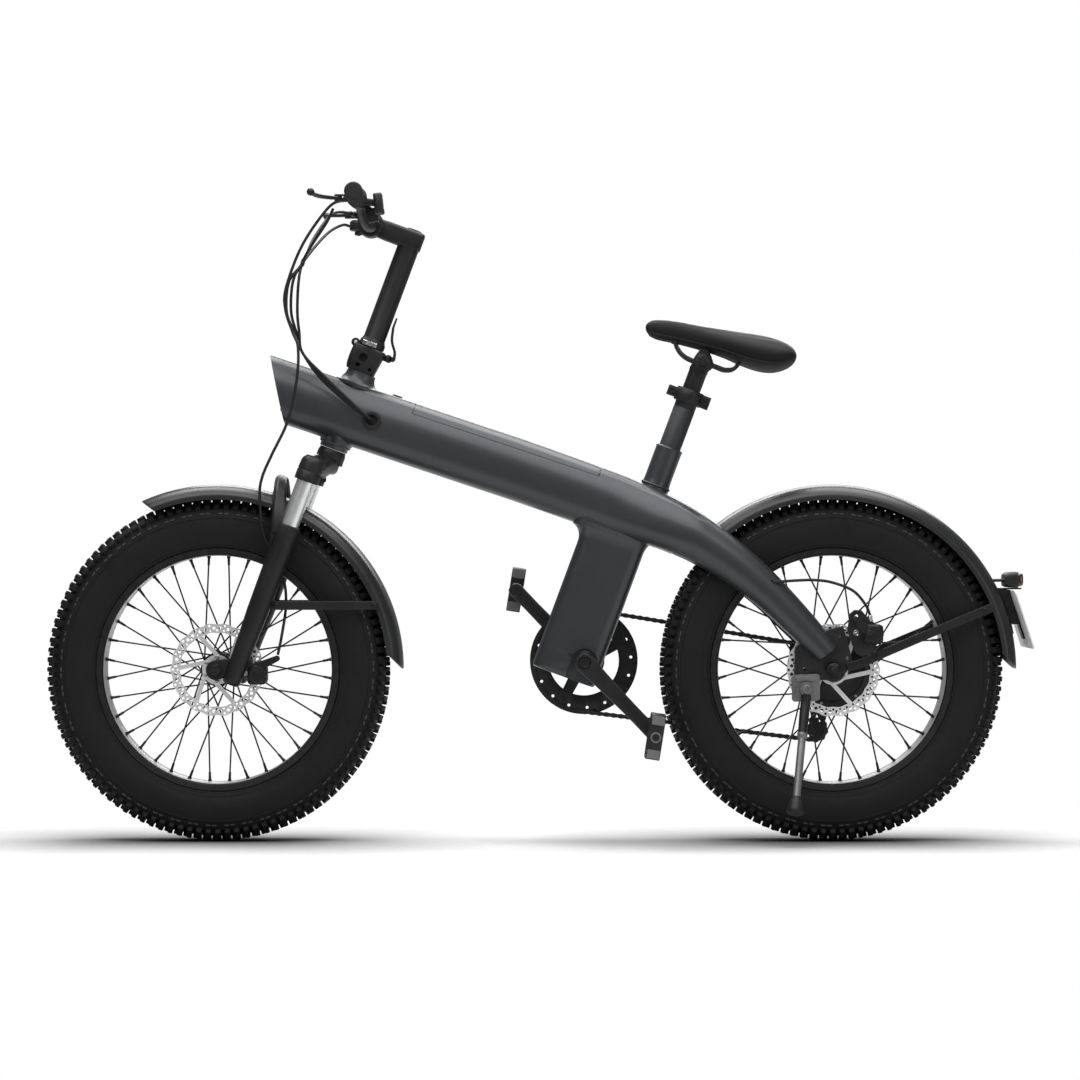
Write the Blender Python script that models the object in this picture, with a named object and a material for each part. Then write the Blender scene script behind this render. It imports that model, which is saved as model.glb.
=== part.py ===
"""Electric bicycle with fat tyres, a one-beam frame, a folding handlepost and a rear hub motor.

Metres, +Z up. The front of the bicycle faces -X, its left side faces -Y, and the drive side
faces +Y. Both tyres stand on the plane Z = 0, and Y = 0 is the plane of the wheels.
"""

import math

import bmesh
import bpy
from mathutils import Matrix, Vector

# Clearances
SEAT = 0.0003  # between two pieces that rest on each other
RUNNING = 0.0001  # radial clearance of a shaft in its bearing

# Sides of round pieces
ROUND = 12
SMALL = 8

# Wheels
AXLE_HEIGHT = 0.2958
FRONT_AXLE_X = -0.5504
WHEELBASE = 1.0562
TYRE_HALF_WIDTH = 0.0490
TYRE_CROWN_HALF = 0.0260
TYRE_WALL = 0.0060
LUG_HEIGHT = 0.0075
LUG_COUNT = 16
RIM_BED_RADIUS = 0.1960
RIM_FLANGE_RADIUS = RIM_BED_RADIUS + 0.0125
RIM_WALL = 0.0045
RIM_HALF_WIDTH = 0.0400
RIM_LIP = 0.0030
RIM_STEPS = 32
SPOKE_COUNT = 36
SPOKE_RADIUS = 0.0012
ROTOR_RADIUS = 0.0800
ROTOR_THICKNESS = 0.0020
ROTOR_BAND = 0.0150
ROTOR_HUB_RADIUS = 0.0240
ROTOR_BORE_RADIUS = 0.0125
ROTOR_ARMS = 6

# Front hub
FRONT_AXLE_RADIUS = 0.0060
FRONT_HUB_RADIUS = 0.0150
FRONT_HUB_FLANGE_RADIUS = 0.0290
FRONT_HUB_HALF = 0.0560
FRONT_FLANGE_Y = 0.0360
FRONT_ROTOR_Y = 0.0500

# Rear hub motor
REAR_AXLE_RADIUS = 0.0070
MOTOR_RADIUS = 0.0680
MOTOR_HALF_WIDTH = 0.0420
MOTOR_FLANGE_Y = 0.0280
MOTOR_CORE_RADIUS = 0.0180
MOTOR_STEPS = 16
REAR_ROTOR_Y = 0.0660
REAR_AXLE_HALF = 0.1080

# Steering axis and fork, in the steering frame: forward of the axis, and up it
STEER_TILT = math.radians(20.4)
LOWER_RACE_X = -0.3556
LOWER_RACE_Z = 0.6696
STEERER_RADIUS = 0.0150
FORK_HALF_WIDTH = 0.0800
LEG_FORWARD = 0.0200
STANCHION_RADIUS = 0.0160
LOWER_LEG_RADIUS = 0.0200
CROWN_TOP = -0.0200
CROWN_BOTTOM = -0.0620
CROWN_CLAMP_RADIUS = 0.0215
LOWERS_TOP = -0.1480
LOWERS_BOTTOM = -0.4330
LUG_PLATE_HALF = 0.0170
LUG_PLATE_THICKNESS = 0.0080
SUSPENSION_DEPTH = 0.1300
ARCH_REACH = 0.0300
ARCH_RISE = 0.0860

# Handlepost and its fold
HEAD_TOP = 0.1340
HEAD_TOP_RADIUS = 0.0280
HEAD_LOWER_RADIUS = 0.0245
HEAD_BOTTOM = 0.0060
HINGE_SPLIT = 0.1930
HINGE_BLOCK_RADIUS = 0.0225
FOLD_PIN_FORWARD = 0.0275
FOLD_PIN_RADIUS = 0.0035
FOLD_KNUCKLE_RADIUS = 0.0075
FOLD_KNUCKLE_HALF = 0.0080
FOLD_EAR_OUTER = 0.0160
POST_RADIUS = 0.0190
POST_FOOT_HEIGHT = 0.0100
STEM_BOTTOM = 0.3753
STEM_TOP = 0.4085
STEM_REAR = -0.0205
STEM_HALF_WIDTH = 0.0190
BAR_FORWARD = 0.0741
BAR_UP = 0.3925
LATCH_BACK = -0.0370
LATCH_UP = 0.1895

# Handlebar
BAR_HALF_LENGTH = 0.3180
BAR_CLAMP_RADIUS = 0.0159
BAR_END_RADIUS = 0.0111
BAR_RISE = 0.0310
BAR_SWEEP = 0.0160
BAR_CLAMP_HALF = 0.0350
GRIP_LENGTH = 0.1250
GRIP_RADIUS = 0.0155
PERCH_Y = BAR_HALF_LENGTH - GRIP_LENGTH - 0.0150
PERCH_HALF = 0.0080
DISPLAY_Y = PERCH_Y - 0.0330
SHIFTER_Y = DISPLAY_Y
LEVER_TIP_Y = PERCH_Y + 0.0780
BAR_BEND_END = DISPLAY_Y - 0.0300
LEVER_REACH = 0.0740

# Frame beam
BEAM_SLOPE = math.radians(18.5)
BEAM_DEPTH = 0.1065
BEAM_HALF_WIDTH = 0.0450
BEAM_CORNER = 0.0340
BEAM_TOP_X = -0.4120
BEAM_TOP_Z = 0.8220
NOSE_TOP_X = -0.4615
NOSE_BOTTOM_X = -0.4360
BAY_FRONT_X = -0.2100
BAY_REAR_X = 0.1120
BAY_HALF_WIDTH = 0.0330
BAY_DEPTH = 0.0850
LID_DEPTH = 0.0200
MOUTH_DEPTH = 0.0300
MOUTH_WALL = 0.0060
PORT_X = -0.2850
PORT_Z = 0.7240
PORT_RADIUS = 0.0120
BUTTON_X = -0.2430
BUTTON_RADIUS = 0.0090
BUTTON_DEPTH = 0.0120
BUTTON_TRAVEL = 0.0015

# Mast and bottom bracket
MAST_TILT = math.radians(20.3)
MAST_WIDTH = 0.1136
MAST_HALF_THICKNESS = 0.0380
MAST_CORNER = 0.0220
MAST_BOTTOM_X = -0.0100
MAST_BOTTOM_Z = 0.3030
MAST_HEIGHT = 0.3000
BRACKET_X = 0.0802
BRACKET_Z = 0.3086
BRACKET_SHELL_RADIUS = 0.0240
BRACKET_SHELL_HALF = 0.0500
BRACKET_CUP_RADIUS = 0.0180
BRACKET_CUP_HALF = 0.0530
SPINDLE_RADIUS = 0.0095

# Rear stays
STAY_INNER_FRONT = 0.0625
STAY_INNER_REAR = 0.0790
STAY_OUTER_FRONT = 0.0880
STAY_OUTER_REAR = 0.0960
CROTCH_STEP = 10
CROTCH_RADIUS = 0.3400
DROPOUT_THICKNESS = 0.0060
DROPOUT_BOSS = 0.0205

# Seat
SEAT_TILT = math.radians(20.5)
SLEEVE_TOP_X = 0.2280
SLEEVE_TOP_Z = 0.6780
SLEEVE_RADIUS = 0.0230
SLEEVE_LENGTH = 0.1050
MID_POST_RADIUS = 0.0190
MID_POST_TOP = 0.0925
MID_POST_DOWN = 0.0450
MID_POST_INSERT = 0.1350
UPPER_POST_RADIUS = 0.0158
UPPER_POST_TOP = 0.1640
UPPER_POST_INSERT = 0.1100
RAIL_RADIUS = 0.0035
SADDLE_HALF_WIDTH = 0.0880

# Drivetrain
CHAIN_LINE = 0.0620
CHAIN_PITCH = 0.0127
CHAIN_HALF_HEIGHT = 0.0043
CHAIN_PLATE_INNER = 0.0019
CHAIN_PLATE_OUTER = 0.0036
CHAINRING_TEETH = 44
SPROCKET_TEETH = 16
JOCKEY_TEETH = 9
TOOTH_HALF_THICKNESS = 0.0012
TOOTH_HEIGHT = 0.0030
TOOTH_DEPTH = 0.0035
JOCKEY_UPPER_X = 0.4970
JOCKEY_UPPER_Z = 0.2385
JOCKEY_LOWER_X = 0.4840
JOCKEY_LOWER_Z = 0.1880
JOCKEY_PIN_RADIUS = 0.0035
GUARD_RADIUS = 0.0945
CRANK_LENGTH = 0.1700
CRANK_ANGLE = math.radians(-45.9)
CRANK_INNER = 0.0715
CRANK_BOSS_RADIUS = 0.0140
GUARD_Y = 0.0664
GUARD_STEPS = 24
CRANK_THICKNESS = 0.0150
PEDAL_LENGTH = 0.0780
PEDAL_BORDER = 0.0130
PEDAL_HEIGHT = 0.0240
PEDAL_INNER = 0.1040
PEDAL_WIDTH = 0.0960
PEDAL_PIN_RADIUS = 0.0055
PEDAL_LEAN = math.radians(81.0)

# Fenders
FENDER_RADIUS = 0.3180
FENDER_SKIRT_RADIUS = 0.2920
FENDER_HALF_WIDTH = 0.0600
FENDER_WALL = 0.0025
FRONT_FENDER_START = math.radians(114.5)
REAR_FENDER_START = math.radians(141.0)
FENDER_STEP = math.radians(10.0)

# Kickstand
KICK_PIVOT_X = 0.4580
KICK_PIVOT_Z = 0.2640
KICK_FOOT_X = 0.4340
KICK_FOOT_Z = 0.0570
KICK_FOOT_Y = -0.1700
KICK_LEG_RADIUS = 0.0065

# Brakes
CALIPER_LENGTH = 0.0480
CALIPER_WIDTH = 0.0340
CALIPER_DEPTH = 0.0340
CALIPER_PIN_RADIUS = 0.0035
CABLE_SPACING = 0.0600

# Tail
PLATE_TOP_X = FRONT_AXLE_X + WHEELBASE + FENDER_RADIUS - 0.0108
PLATE_TOP_Z = 0.4320
PLATE_LENGTH = 0.1050
PLATE_HALF_WIDTH = 0.0950
PLATE_TILT = math.radians(18.3)
PLATE_THICKNESS = 0.0020

Y_AXIS = Vector((0.0, 1.0, 0.0))
FRONT_AXLE = Vector((FRONT_AXLE_X, 0.0, AXLE_HEIGHT))
REAR_AXLE = Vector((FRONT_AXLE_X + WHEELBASE, 0.0, AXLE_HEIGHT))
BRACKET = Vector((BRACKET_X, 0.0, BRACKET_Z))
LOWER_RACE = Vector((LOWER_RACE_X, 0.0, LOWER_RACE_Z))
STEER_UP = Vector((math.sin(STEER_TILT), 0.0, math.cos(STEER_TILT)))
STEER_FORWARD = Vector((-math.cos(STEER_TILT), 0.0, math.sin(STEER_TILT)))
SEAT_UP = Vector((math.sin(SEAT_TILT), 0.0, math.cos(SEAT_TILT)))
SEAT_FORWARD = Vector((-math.cos(SEAT_TILT), 0.0, math.sin(SEAT_TILT)))
SLEEVE_TOP = Vector((SLEEVE_TOP_X, 0.0, SLEEVE_TOP_Z))
BEAM_BACK = Vector((math.cos(BEAM_SLOPE), 0.0, -math.sin(BEAM_SLOPE)))
BEAM_UP = Vector((math.sin(BEAM_SLOPE), 0.0, math.cos(BEAM_SLOPE)))
BEAM_TOP = Vector((BEAM_TOP_X, 0.0, BEAM_TOP_Z))
MAST_UP = Vector((math.sin(MAST_TILT), 0.0, math.cos(MAST_TILT)))
MAST_BACK = Vector((math.cos(MAST_TILT), 0.0, -math.sin(MAST_TILT)))
FRONT_ARM_PIVOT = FRONT_AXLE + Vector((0.0669, -0.0745, 0.0032))
FRONT_ARM_END = FRONT_AXLE + Vector((0.1046, -0.0745, 0.0202))
REAR_ARM_PIVOT = REAR_AXLE + Vector((0.0602, -0.0905, 0.0642))
REAR_ARM_END = REAR_AXLE + Vector((0.0352, -0.0905, 0.0882))


# Shapes

def shape(points, faces):
    """A mesh from points and faces, with its faces turned outwards."""
    mesh = bpy.data.meshes.new("shape")
    mesh.from_pydata([tuple(point) for point in points], [], faces)
    build = bmesh.new()
    build.from_mesh(mesh)
    bmesh.ops.recalc_face_normals(build, faces=build.faces)
    if build.calc_volume(signed=True) < 0.0:
        bmesh.ops.reverse_faces(build, faces=build.faces)
    build.to_mesh(mesh)
    build.free()
    return mesh


def loft(rings, loop=False):
    """Joins rings of equal count in order. The ends are capped, or joined where loop is set."""
    count = len(rings[0])
    last = len(rings) if loop else len(rings) - 1
    faces = []
    for i in range(last):
        j = (i + 1) % len(rings)
        for k in range(count):
            m = (k + 1) % count
            faces.append((i * count + k, i * count + m, j * count + m, j * count + k))
    if not loop:
        faces.append(tuple(range(count)))
        faces.append(tuple(range(last * count, (last + 1) * count)))
    return shape([point for ring in rings for point in ring], faces)


def across(axis):
    """Two unit vectors square to an axis."""
    if abs(axis.y) > 0.9:
        return Vector((1.0, 0.0, 0.0)), Vector((0.0, 0.0, 1.0))
    first = axis.cross(Y_AXIS).normalized()
    return first, Y_AXIS - axis * axis.y


def turned(profile, centre, axis, steps, loop=False, phase=0.0):
    """A solid of revolution. The profile lists radius and distance along the axis."""
    first, second = across(axis)
    rings = []
    for radius, along in profile:
        ring = []
        for i in range(steps):
            angle = phase + 2.0 * math.pi * i / steps
            ring.append(centre + axis * along
                        + first * radius * math.cos(angle) + second * radius * math.sin(angle))
        rings.append(ring)
    return loft(rings, loop)


def rod(start, end, radius, sides=12, end_radius=None):
    """A straight round bar."""
    axis = (end - start).normalized()
    far = radius if end_radius is None else end_radius
    return turned([(radius, 0.0), (far, (end - start).length)], start, axis, sides)


def circle(radius, sides):
    """A round section of a swept bar."""
    return [(radius * math.cos(2.0 * math.pi * i / sides), radius * math.sin(2.0 * math.pi * i / sides))
            for i in range(sides)]


def rounded(width, height, corner, steps=4):
    """A rectangle with round corners, centred on zero."""
    points = []
    for quarter, (sx, sz) in enumerate(((1, 1), (-1, 1), (-1, -1), (1, -1))):
        for i in range(steps + 1):
            angle = math.pi / 2.0 * (quarter + i / steps)
            points.append((sx * (width / 2.0 - corner) + corner * math.cos(angle),
                           sz * (height / 2.0 - corner) + corner * math.sin(angle)))
    return points


def swept(path, section, lateral=Y_AXIS):
    """Carries a section along a path. The section's first coordinate runs along lateral."""
    rings = []
    for i, point in enumerate(path):
        run = (path[min(i + 1, len(path) - 1)] - path[max(i - 1, 0)]).normalized()
        side = (lateral - run * lateral.dot(run)).normalized()
        rise = run.cross(side)
        outline = section(i) if callable(section) else section
        rings.append([point + side * a + rise * b for a, b in outline])
    return loft(rings)


def plate(outline, low, high, holes=(), place=None):
    """A flat plate: an outline in X and Z, its thickness along Y, and holes right through."""
    build = bmesh.new()
    for ring in [outline, *holes]:
        made = [build.verts.new((x, low, z)) for x, z in ring]
        for i, vert in enumerate(made):
            build.edges.new((vert, made[(i + 1) % len(made)]))
    bmesh.ops.triangle_fill(build, use_beauty=True, edges=build.edges[:])
    grown = bmesh.ops.extrude_face_region(build, geom=build.faces[:])
    moved = [item for item in grown["geom"] if isinstance(item, bmesh.types.BMVert)]
    bmesh.ops.translate(build, verts=moved, vec=(0.0, high - low, 0.0))
    bmesh.ops.recalc_face_normals(build, faces=build.faces)
    mesh = bpy.data.meshes.new("plate")
    build.to_mesh(mesh)
    build.free()
    if place is not None:
        mesh.transform(place)
    return mesh


def ring_points(x, z, radius, count, phase=0.0):
    """Points on a circle in X and Z."""
    return [(x + radius * math.cos(phase + 2.0 * math.pi * i / count),
             z + radius * math.sin(phase + 2.0 * math.pi * i / count)) for i in range(count)]


def block(low, high, place=None):
    """A box between two corners."""
    outline = [(low[0], low[2]), (high[0], low[2]), (high[0], high[2]), (low[0], high[2])]
    return plate(outline, low[1], high[1], place=place)


def capsule(start, end, start_radius, end_radius, steps=6):
    """The outline round two circles in X and Z."""
    run = Vector((end[0] - start[0], end[1] - start[1]))
    heading = math.atan2(run.y, run.x)
    lean = math.acos((start_radius - end_radius) / run.length)
    points = []
    for i in range(steps + 1):
        angle = heading - lean + 2.0 * lean * i / steps
        points.append((end[0] + end_radius * math.cos(angle), end[1] + end_radius * math.sin(angle)))
    for i in range(steps + 1):
        angle = heading + lean + (2.0 * math.pi - 2.0 * lean) * i / steps
        points.append((start[0] + start_radius * math.cos(angle),
                       start[1] + start_radius * math.sin(angle)))
    return points


def boolean(first, tools, operation):
    """Unites, cuts or intersects meshes, and returns the new mesh."""
    base = bpy.data.objects.new("base", first)
    helpers = [base]
    for tool in tools:
        helper = bpy.data.objects.new("tool", tool)
        helpers.append(helper)
        step = base.modifiers.new("step", "BOOLEAN")
        step.operation = operation
        step.object = helper
    for helper in helpers:
        bpy.context.scene.collection.objects.link(helper)
    graph = bpy.context.evaluated_depsgraph_get()
    result = bpy.data.meshes.new_from_object(base.evaluated_get(graph))
    for helper in helpers:
        bpy.data.objects.remove(helper)
    return result


def unite(first, *others):
    """One body out of several that overlap."""
    return boolean(first, others, "UNION")


def cut(first, *tools):
    """A body less its cutters."""
    return boolean(first, tools, "DIFFERENCE")


def common(first, *tools):
    """What a body shares with its tools."""
    return boolean(first, tools, "INTERSECT")


def mirrored(mesh):
    """The same mesh on the bicycle's other side."""
    copy = mesh.copy()
    copy.transform(Matrix.Scale(-1.0, 4, Y_AXIS))
    copy.flip_normals()
    return copy


def steer(forward, side, up):
    """A world point from its place in the steering frame."""
    return LOWER_RACE + STEER_FORWARD * forward + Y_AXIS * side + STEER_UP * up


def seat_point(forward, side, up):
    """A world point from its place on the seat tube's axis, measured from the sleeve's top."""
    return SLEEVE_TOP + SEAT_FORWARD * forward + Y_AXIS * side + SEAT_UP * up


def socket_radius(shaft, sides):
    """Radius of a faceted socket that a bar is seated in, whichever way its facets lie."""
    return (shaft + SEAT) / math.cos(math.pi / sides)


def bore_radius(shaft, sides):
    """Radius of a faceted bore that clears a shaft all round."""
    return (shaft + RUNNING) / math.cos(math.pi / sides)


# Objects

def finish(name, colour, roughness, metallic=0.0):
    """A plain material for one piece."""
    material = bpy.data.materials.new(name)
    material.use_nodes = True
    shader = material.node_tree.nodes["Principled BSDF"]
    shader.inputs["Base Color"].default_value = (*colour, 1.0)
    shader.inputs["Roughness"].default_value = roughness
    shader.inputs["Metallic"].default_value = metallic
    return material


FINISHES = {
    "paint": ((0.045, 0.050, 0.056), 0.45, 0.3),
    "black": ((0.020, 0.020, 0.022), 0.55, 0.1),
    "rubber": ((0.018, 0.018, 0.018), 0.85, 0.0),
    "rim": ((0.030, 0.030, 0.032), 0.40, 0.6),
    "steel": ((0.620, 0.620, 0.630), 0.30, 0.9),
    "grey": ((0.160, 0.160, 0.165), 0.50, 0.5),
    "plate": ((0.350, 0.350, 0.350), 0.60, 0.0),
    "lens": ((0.350, 0.020, 0.020), 0.20, 0.0),
    "clear": ((0.700, 0.720, 0.740), 0.15, 0.0),
}


def body(name, origin, parent=None):
    """An empty on a joint's axis, which carries the pieces of one moving body."""
    empty = bpy.data.objects.new(name, None)
    bpy.context.scene.collection.objects.link(empty)
    empty["at"] = tuple(origin)
    if parent is None:
        empty.location = origin
    else:
        empty.parent = parent
        empty.location = origin - Vector(parent["at"])
    return empty


def piece(name, mesh, look, carrier):
    """One named piece on its body, shaded smooth but for its sharp edges."""
    origin = Vector(carrier["at"])
    mesh.transform(Matrix.Translation(-origin))
    mesh.name = name
    mesh.materials.clear()
    mesh.materials.append(finish(name, *FINISHES[look]))
    mesh.shade_smooth()
    mesh.set_sharp_from_angle(angle=math.radians(32.0))
    made = bpy.data.objects.new(name, mesh)
    made.parent = carrier
    bpy.context.scene.collection.objects.link(made)
    return made


# Wheels

def tyre(centre):
    """A fat tyre: an open casing with lugs round its crown and shoulders."""
    outer = AXLE_HEIGHT
    root = outer - LUG_HEIGHT
    step = 2.0 * math.pi / LUG_COUNT
    land = 0.28
    seat = (RIM_BED_RADIUS + RIM_WALL + SEAT) / math.cos(land * step)
    bead = RIM_HALF_WIDTH - RIM_LIP - 3.0 * SEAT
    tip = [(outer, TYRE_CROWN_HALF), (outer - 0.014, 0.0440)]
    low = [(root, TYRE_CROWN_HALF), (root - 0.010, 0.0400)]
    side = [(0.5 * (RIM_FLANGE_RADIUS + root), TYRE_HALF_WIDTH), (seat, bead)]
    rings = []
    for i in range(LUG_COUNT):
        for offset, crown in ((-land, tip), (land, tip), (0.50, low)):
            angle = (i + offset) * step - math.pi / 2.0
            level = 1.0 / math.cos(land * step) if crown is tip else 1.0
            half = [(crown[0][0] * level, crown[0][1]), crown[1], *side]
            profile = half + [(root - TYRE_WALL, 0.0)] + [(radius, -width) for radius,
                                                          width in reversed(half)]
            rings.append([centre + Vector((radius * math.cos(angle), width, radius * math.sin(angle)))
                          for radius, width in profile])
    return loft(rings, loop=True)


def rim(centre):
    """A wide rim: a bed between two flanges."""
    well = RIM_BED_RADIUS + RIM_WALL
    half = [(RIM_BED_RADIUS, RIM_HALF_WIDTH - 0.0005), (RIM_FLANGE_RADIUS, RIM_HALF_WIDTH),
            (well, RIM_HALF_WIDTH - RIM_LIP)]
    profile = half + [(radius, -side) for radius, side in reversed(half)]
    return turned(profile, centre, Y_AXIS, RIM_STEPS, loop=True)


def spokes(centre, hub_radius, flange_y, lean):
    """Groups of spokes that don't cross each other, from the hub's flanges to the rim."""
    slant = 1.4 * SPOKE_RADIUS * math.sin(lean) * hub_radius / RIM_BED_RADIUS
    reach = RIM_BED_RADIUS * math.cos(math.pi / RIM_STEPS) - SEAT - slant
    groups = []
    for side in (-1.0, 1.0):
        for turn in (-1.0, 1.0):
            points, faces = [], []
            for i in range(SPOKE_COUNT // 4):
                slot = 4 * i + (0 if side < 0 else 2) + (0 if turn < 0 else 1)
                rim_angle = 2.0 * math.pi * (slot + 0.5) / SPOKE_COUNT
                hub_angle = rim_angle + turn * lean
                inner = centre + Vector((hub_radius * math.cos(hub_angle), side * flange_y + turn * 0.0018,
                                         hub_radius * math.sin(hub_angle)))
                outer = centre + Vector((reach * math.cos(rim_angle), side * 0.010,
                                         reach * math.sin(rim_angle)))
                bar = rod(inner, outer, SPOKE_RADIUS, 3)
                start = len(points)
                points += [vert.co.copy() for vert in bar.vertices]
                faces += [[start + k for k in face.vertices] for face in bar.polygons]
            groups.append(shape(points, faces))
    return groups


def front_hub(centre):
    """A turned hub with two spoke flanges and its spokes."""
    flange = FRONT_HUB_FLANGE_RADIUS
    bore = bore_radius(FRONT_AXLE_RADIUS, ROUND)
    seat = FRONT_ROTOR_Y - ROTOR_THICKNESS / 2.0 - SEAT
    profile = [(bore, -FRONT_HUB_HALF), (ROTOR_BORE_RADIUS - 2.0 * SEAT, -FRONT_HUB_HALF),
               (ROTOR_BORE_RADIUS - 2.0 * SEAT, -seat), (FRONT_HUB_RADIUS + 0.007, -seat),
               (flange, -FRONT_FLANGE_Y - 0.004), (flange, -FRONT_FLANGE_Y + 0.004), (FRONT_HUB_RADIUS, 0.0),
               (flange, FRONT_FLANGE_Y - 0.004), (flange, FRONT_FLANGE_Y + 0.004),
               (ROTOR_BORE_RADIUS, FRONT_HUB_HALF), (bore, FRONT_HUB_HALF)]
    core = turned(profile, centre, Y_AXIS, ROUND, loop=True)
    return unite(core, *spokes(centre, flange - 0.004, FRONT_FLANGE_Y, math.radians(62.0)))


def motor_hub(centre):
    """The motor's shell with its spoke flanges and its spokes."""
    flange = MOTOR_RADIUS + 0.005
    bore = bore_radius(REAR_AXLE_RADIUS, ROUND)
    seat = REAR_ROTOR_Y - ROTOR_THICKNESS / 2.0 - SEAT
    profile = [(bore, -REAR_ROTOR_Y - 0.006), (ROTOR_BORE_RADIUS - 2.0 * SEAT, -REAR_ROTOR_Y - 0.006),
               (ROTOR_BORE_RADIUS - 2.0 * SEAT, -seat), (MOTOR_CORE_RADIUS + 0.006, -seat),
               (MOTOR_CORE_RADIUS + 0.010, -MOTOR_HALF_WIDTH - 0.004), (MOTOR_RADIUS - 0.012,
                                                                        -MOTOR_HALF_WIDTH),
               (flange, -MOTOR_FLANGE_Y - 0.003), (flange, -MOTOR_FLANGE_Y + 0.003),
               (MOTOR_RADIUS, 0.0),
               (flange, MOTOR_FLANGE_Y - 0.003), (flange, MOTOR_FLANGE_Y + 0.003),
               (MOTOR_RADIUS - 0.012, MOTOR_HALF_WIDTH), (MOTOR_CORE_RADIUS, MOTOR_HALF_WIDTH + 0.006),
               (bore, MOTOR_HALF_WIDTH + 0.006)]
    core = turned(profile, centre, Y_AXIS, MOTOR_STEPS, loop=True)
    return unite(core, *spokes(centre, flange - 0.003, MOTOR_FLANGE_Y, math.radians(48.0)))


def rotor(centre, side):
    """A brake disc: a wavy band on slanting arms round a bored centre."""
    count = 30
    outline = []
    for i in range(count):
        angle = 2.0 * math.pi * i / count
        radius = ROTOR_RADIUS - 0.0010 * (1.0 - math.cos(10.0 * angle))
        outline.append((centre.x + radius * math.cos(angle), centre.z + radius * math.sin(angle)))
    inner = ROTOR_RADIUS - ROTOR_BAND
    holes = [ring_points(centre.x, centre.z, ROTOR_BORE_RADIUS, ROUND)]
    for i in range(ROTOR_ARMS):
        hole = []
        for radius, spread, twist in ((ROTOR_HUB_RADIUS, 0.66, 0.0), (inner, 0.82, 0.35)):
            row = []
            for k in range(3):
                angle = (i + twist + spread * (k / 2.0 - 0.5)) * 2.0 * math.pi / ROTOR_ARMS
                row.append((centre.x + radius * math.cos(angle), centre.z + radius * math.sin(angle)))
            hole += row if radius < inner else row[::-1]
        holes.append(hole)
    middle = centre.y + side
    return plate(outline, middle - ROTOR_THICKNESS / 2.0, middle + ROTOR_THICKNESS / 2.0, holes)


# Fork

def fork_crown():
    """The steerer tube with the crown and its two stanchion clamps."""
    tube = turned([(STEERER_RADIUS, CROWN_BOTTOM + 0.010), (STEERER_RADIUS, HINGE_SPLIT - 0.006)],
                  LOWER_RACE, STEER_UP, ROUND)
    race = turned([(HEAD_LOWER_RADIUS, CROWN_TOP + 0.004), (HEAD_LOWER_RADIUS, 0.0),
                   (HEAD_LOWER_RADIUS - 0.002, HEAD_BOTTOM - SEAT)], LOWER_RACE, STEER_UP, ROUND)
    middle = (CROWN_TOP + CROWN_BOTTOM) / 2.0
    path = [steer(LEG_FORWARD, -FORK_HALF_WIDTH, middle), steer(0.012, -0.045, middle + 0.012),
            steer(0.0, 0.0, middle + 0.018), steer(0.012, 0.045, middle + 0.012),
            steer(LEG_FORWARD, FORK_HALF_WIDTH, middle)]
    arch = swept(path, rounded(0.040, 0.030, 0.010, 1), STEER_FORWARD)
    clamps = [turned([(CROWN_CLAMP_RADIUS, CROWN_BOTTOM), (CROWN_CLAMP_RADIUS, CROWN_TOP)],
                     steer(LEG_FORWARD, side * FORK_HALF_WIDTH, 0.0), STEER_UP, ROUND) for side in (-1.0,
                                                                                                    1.0)]
    sockets = [turned([(STANCHION_RADIUS + SEAT, CROWN_BOTTOM - 0.010),
                       (STANCHION_RADIUS + SEAT, CROWN_TOP - 0.005)],
                      steer(LEG_FORWARD, side * FORK_HALF_WIDTH, 0.0), STEER_UP, ROUND) for side in (-1.0,
                                                                                                     1.0)]
    return cut(unite(tube, race, arch, *clamps), *sockets)


def stanchion(side):
    """A fork leg's inner tube, from the crown down into the lower leg."""
    return turned([(STANCHION_RADIUS, LOWERS_TOP - SUSPENSION_DEPTH),
                   (STANCHION_RADIUS, CROWN_TOP - 0.005 - SEAT)],
                  steer(LEG_FORWARD, side * FORK_HALF_WIDTH, 0.0), STEER_UP, ROUND)


def leg_profile(extra=0.0):
    """A lower leg's turned outline, from its foot to its mouth."""
    axle_up = (FRONT_AXLE - LOWER_RACE).dot(STEER_UP)
    return [(0.0120 + extra, LOWERS_BOTTOM), (0.0155 + extra, LOWERS_BOTTOM + 0.004),
            (0.0160 + extra, axle_up + 0.030), (0.0190 + extra, axle_up + 0.120),
            (LOWER_LEG_RADIUS + extra, LOWERS_TOP - 0.020), (LOWER_LEG_RADIUS + extra, LOWERS_TOP)]


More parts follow.
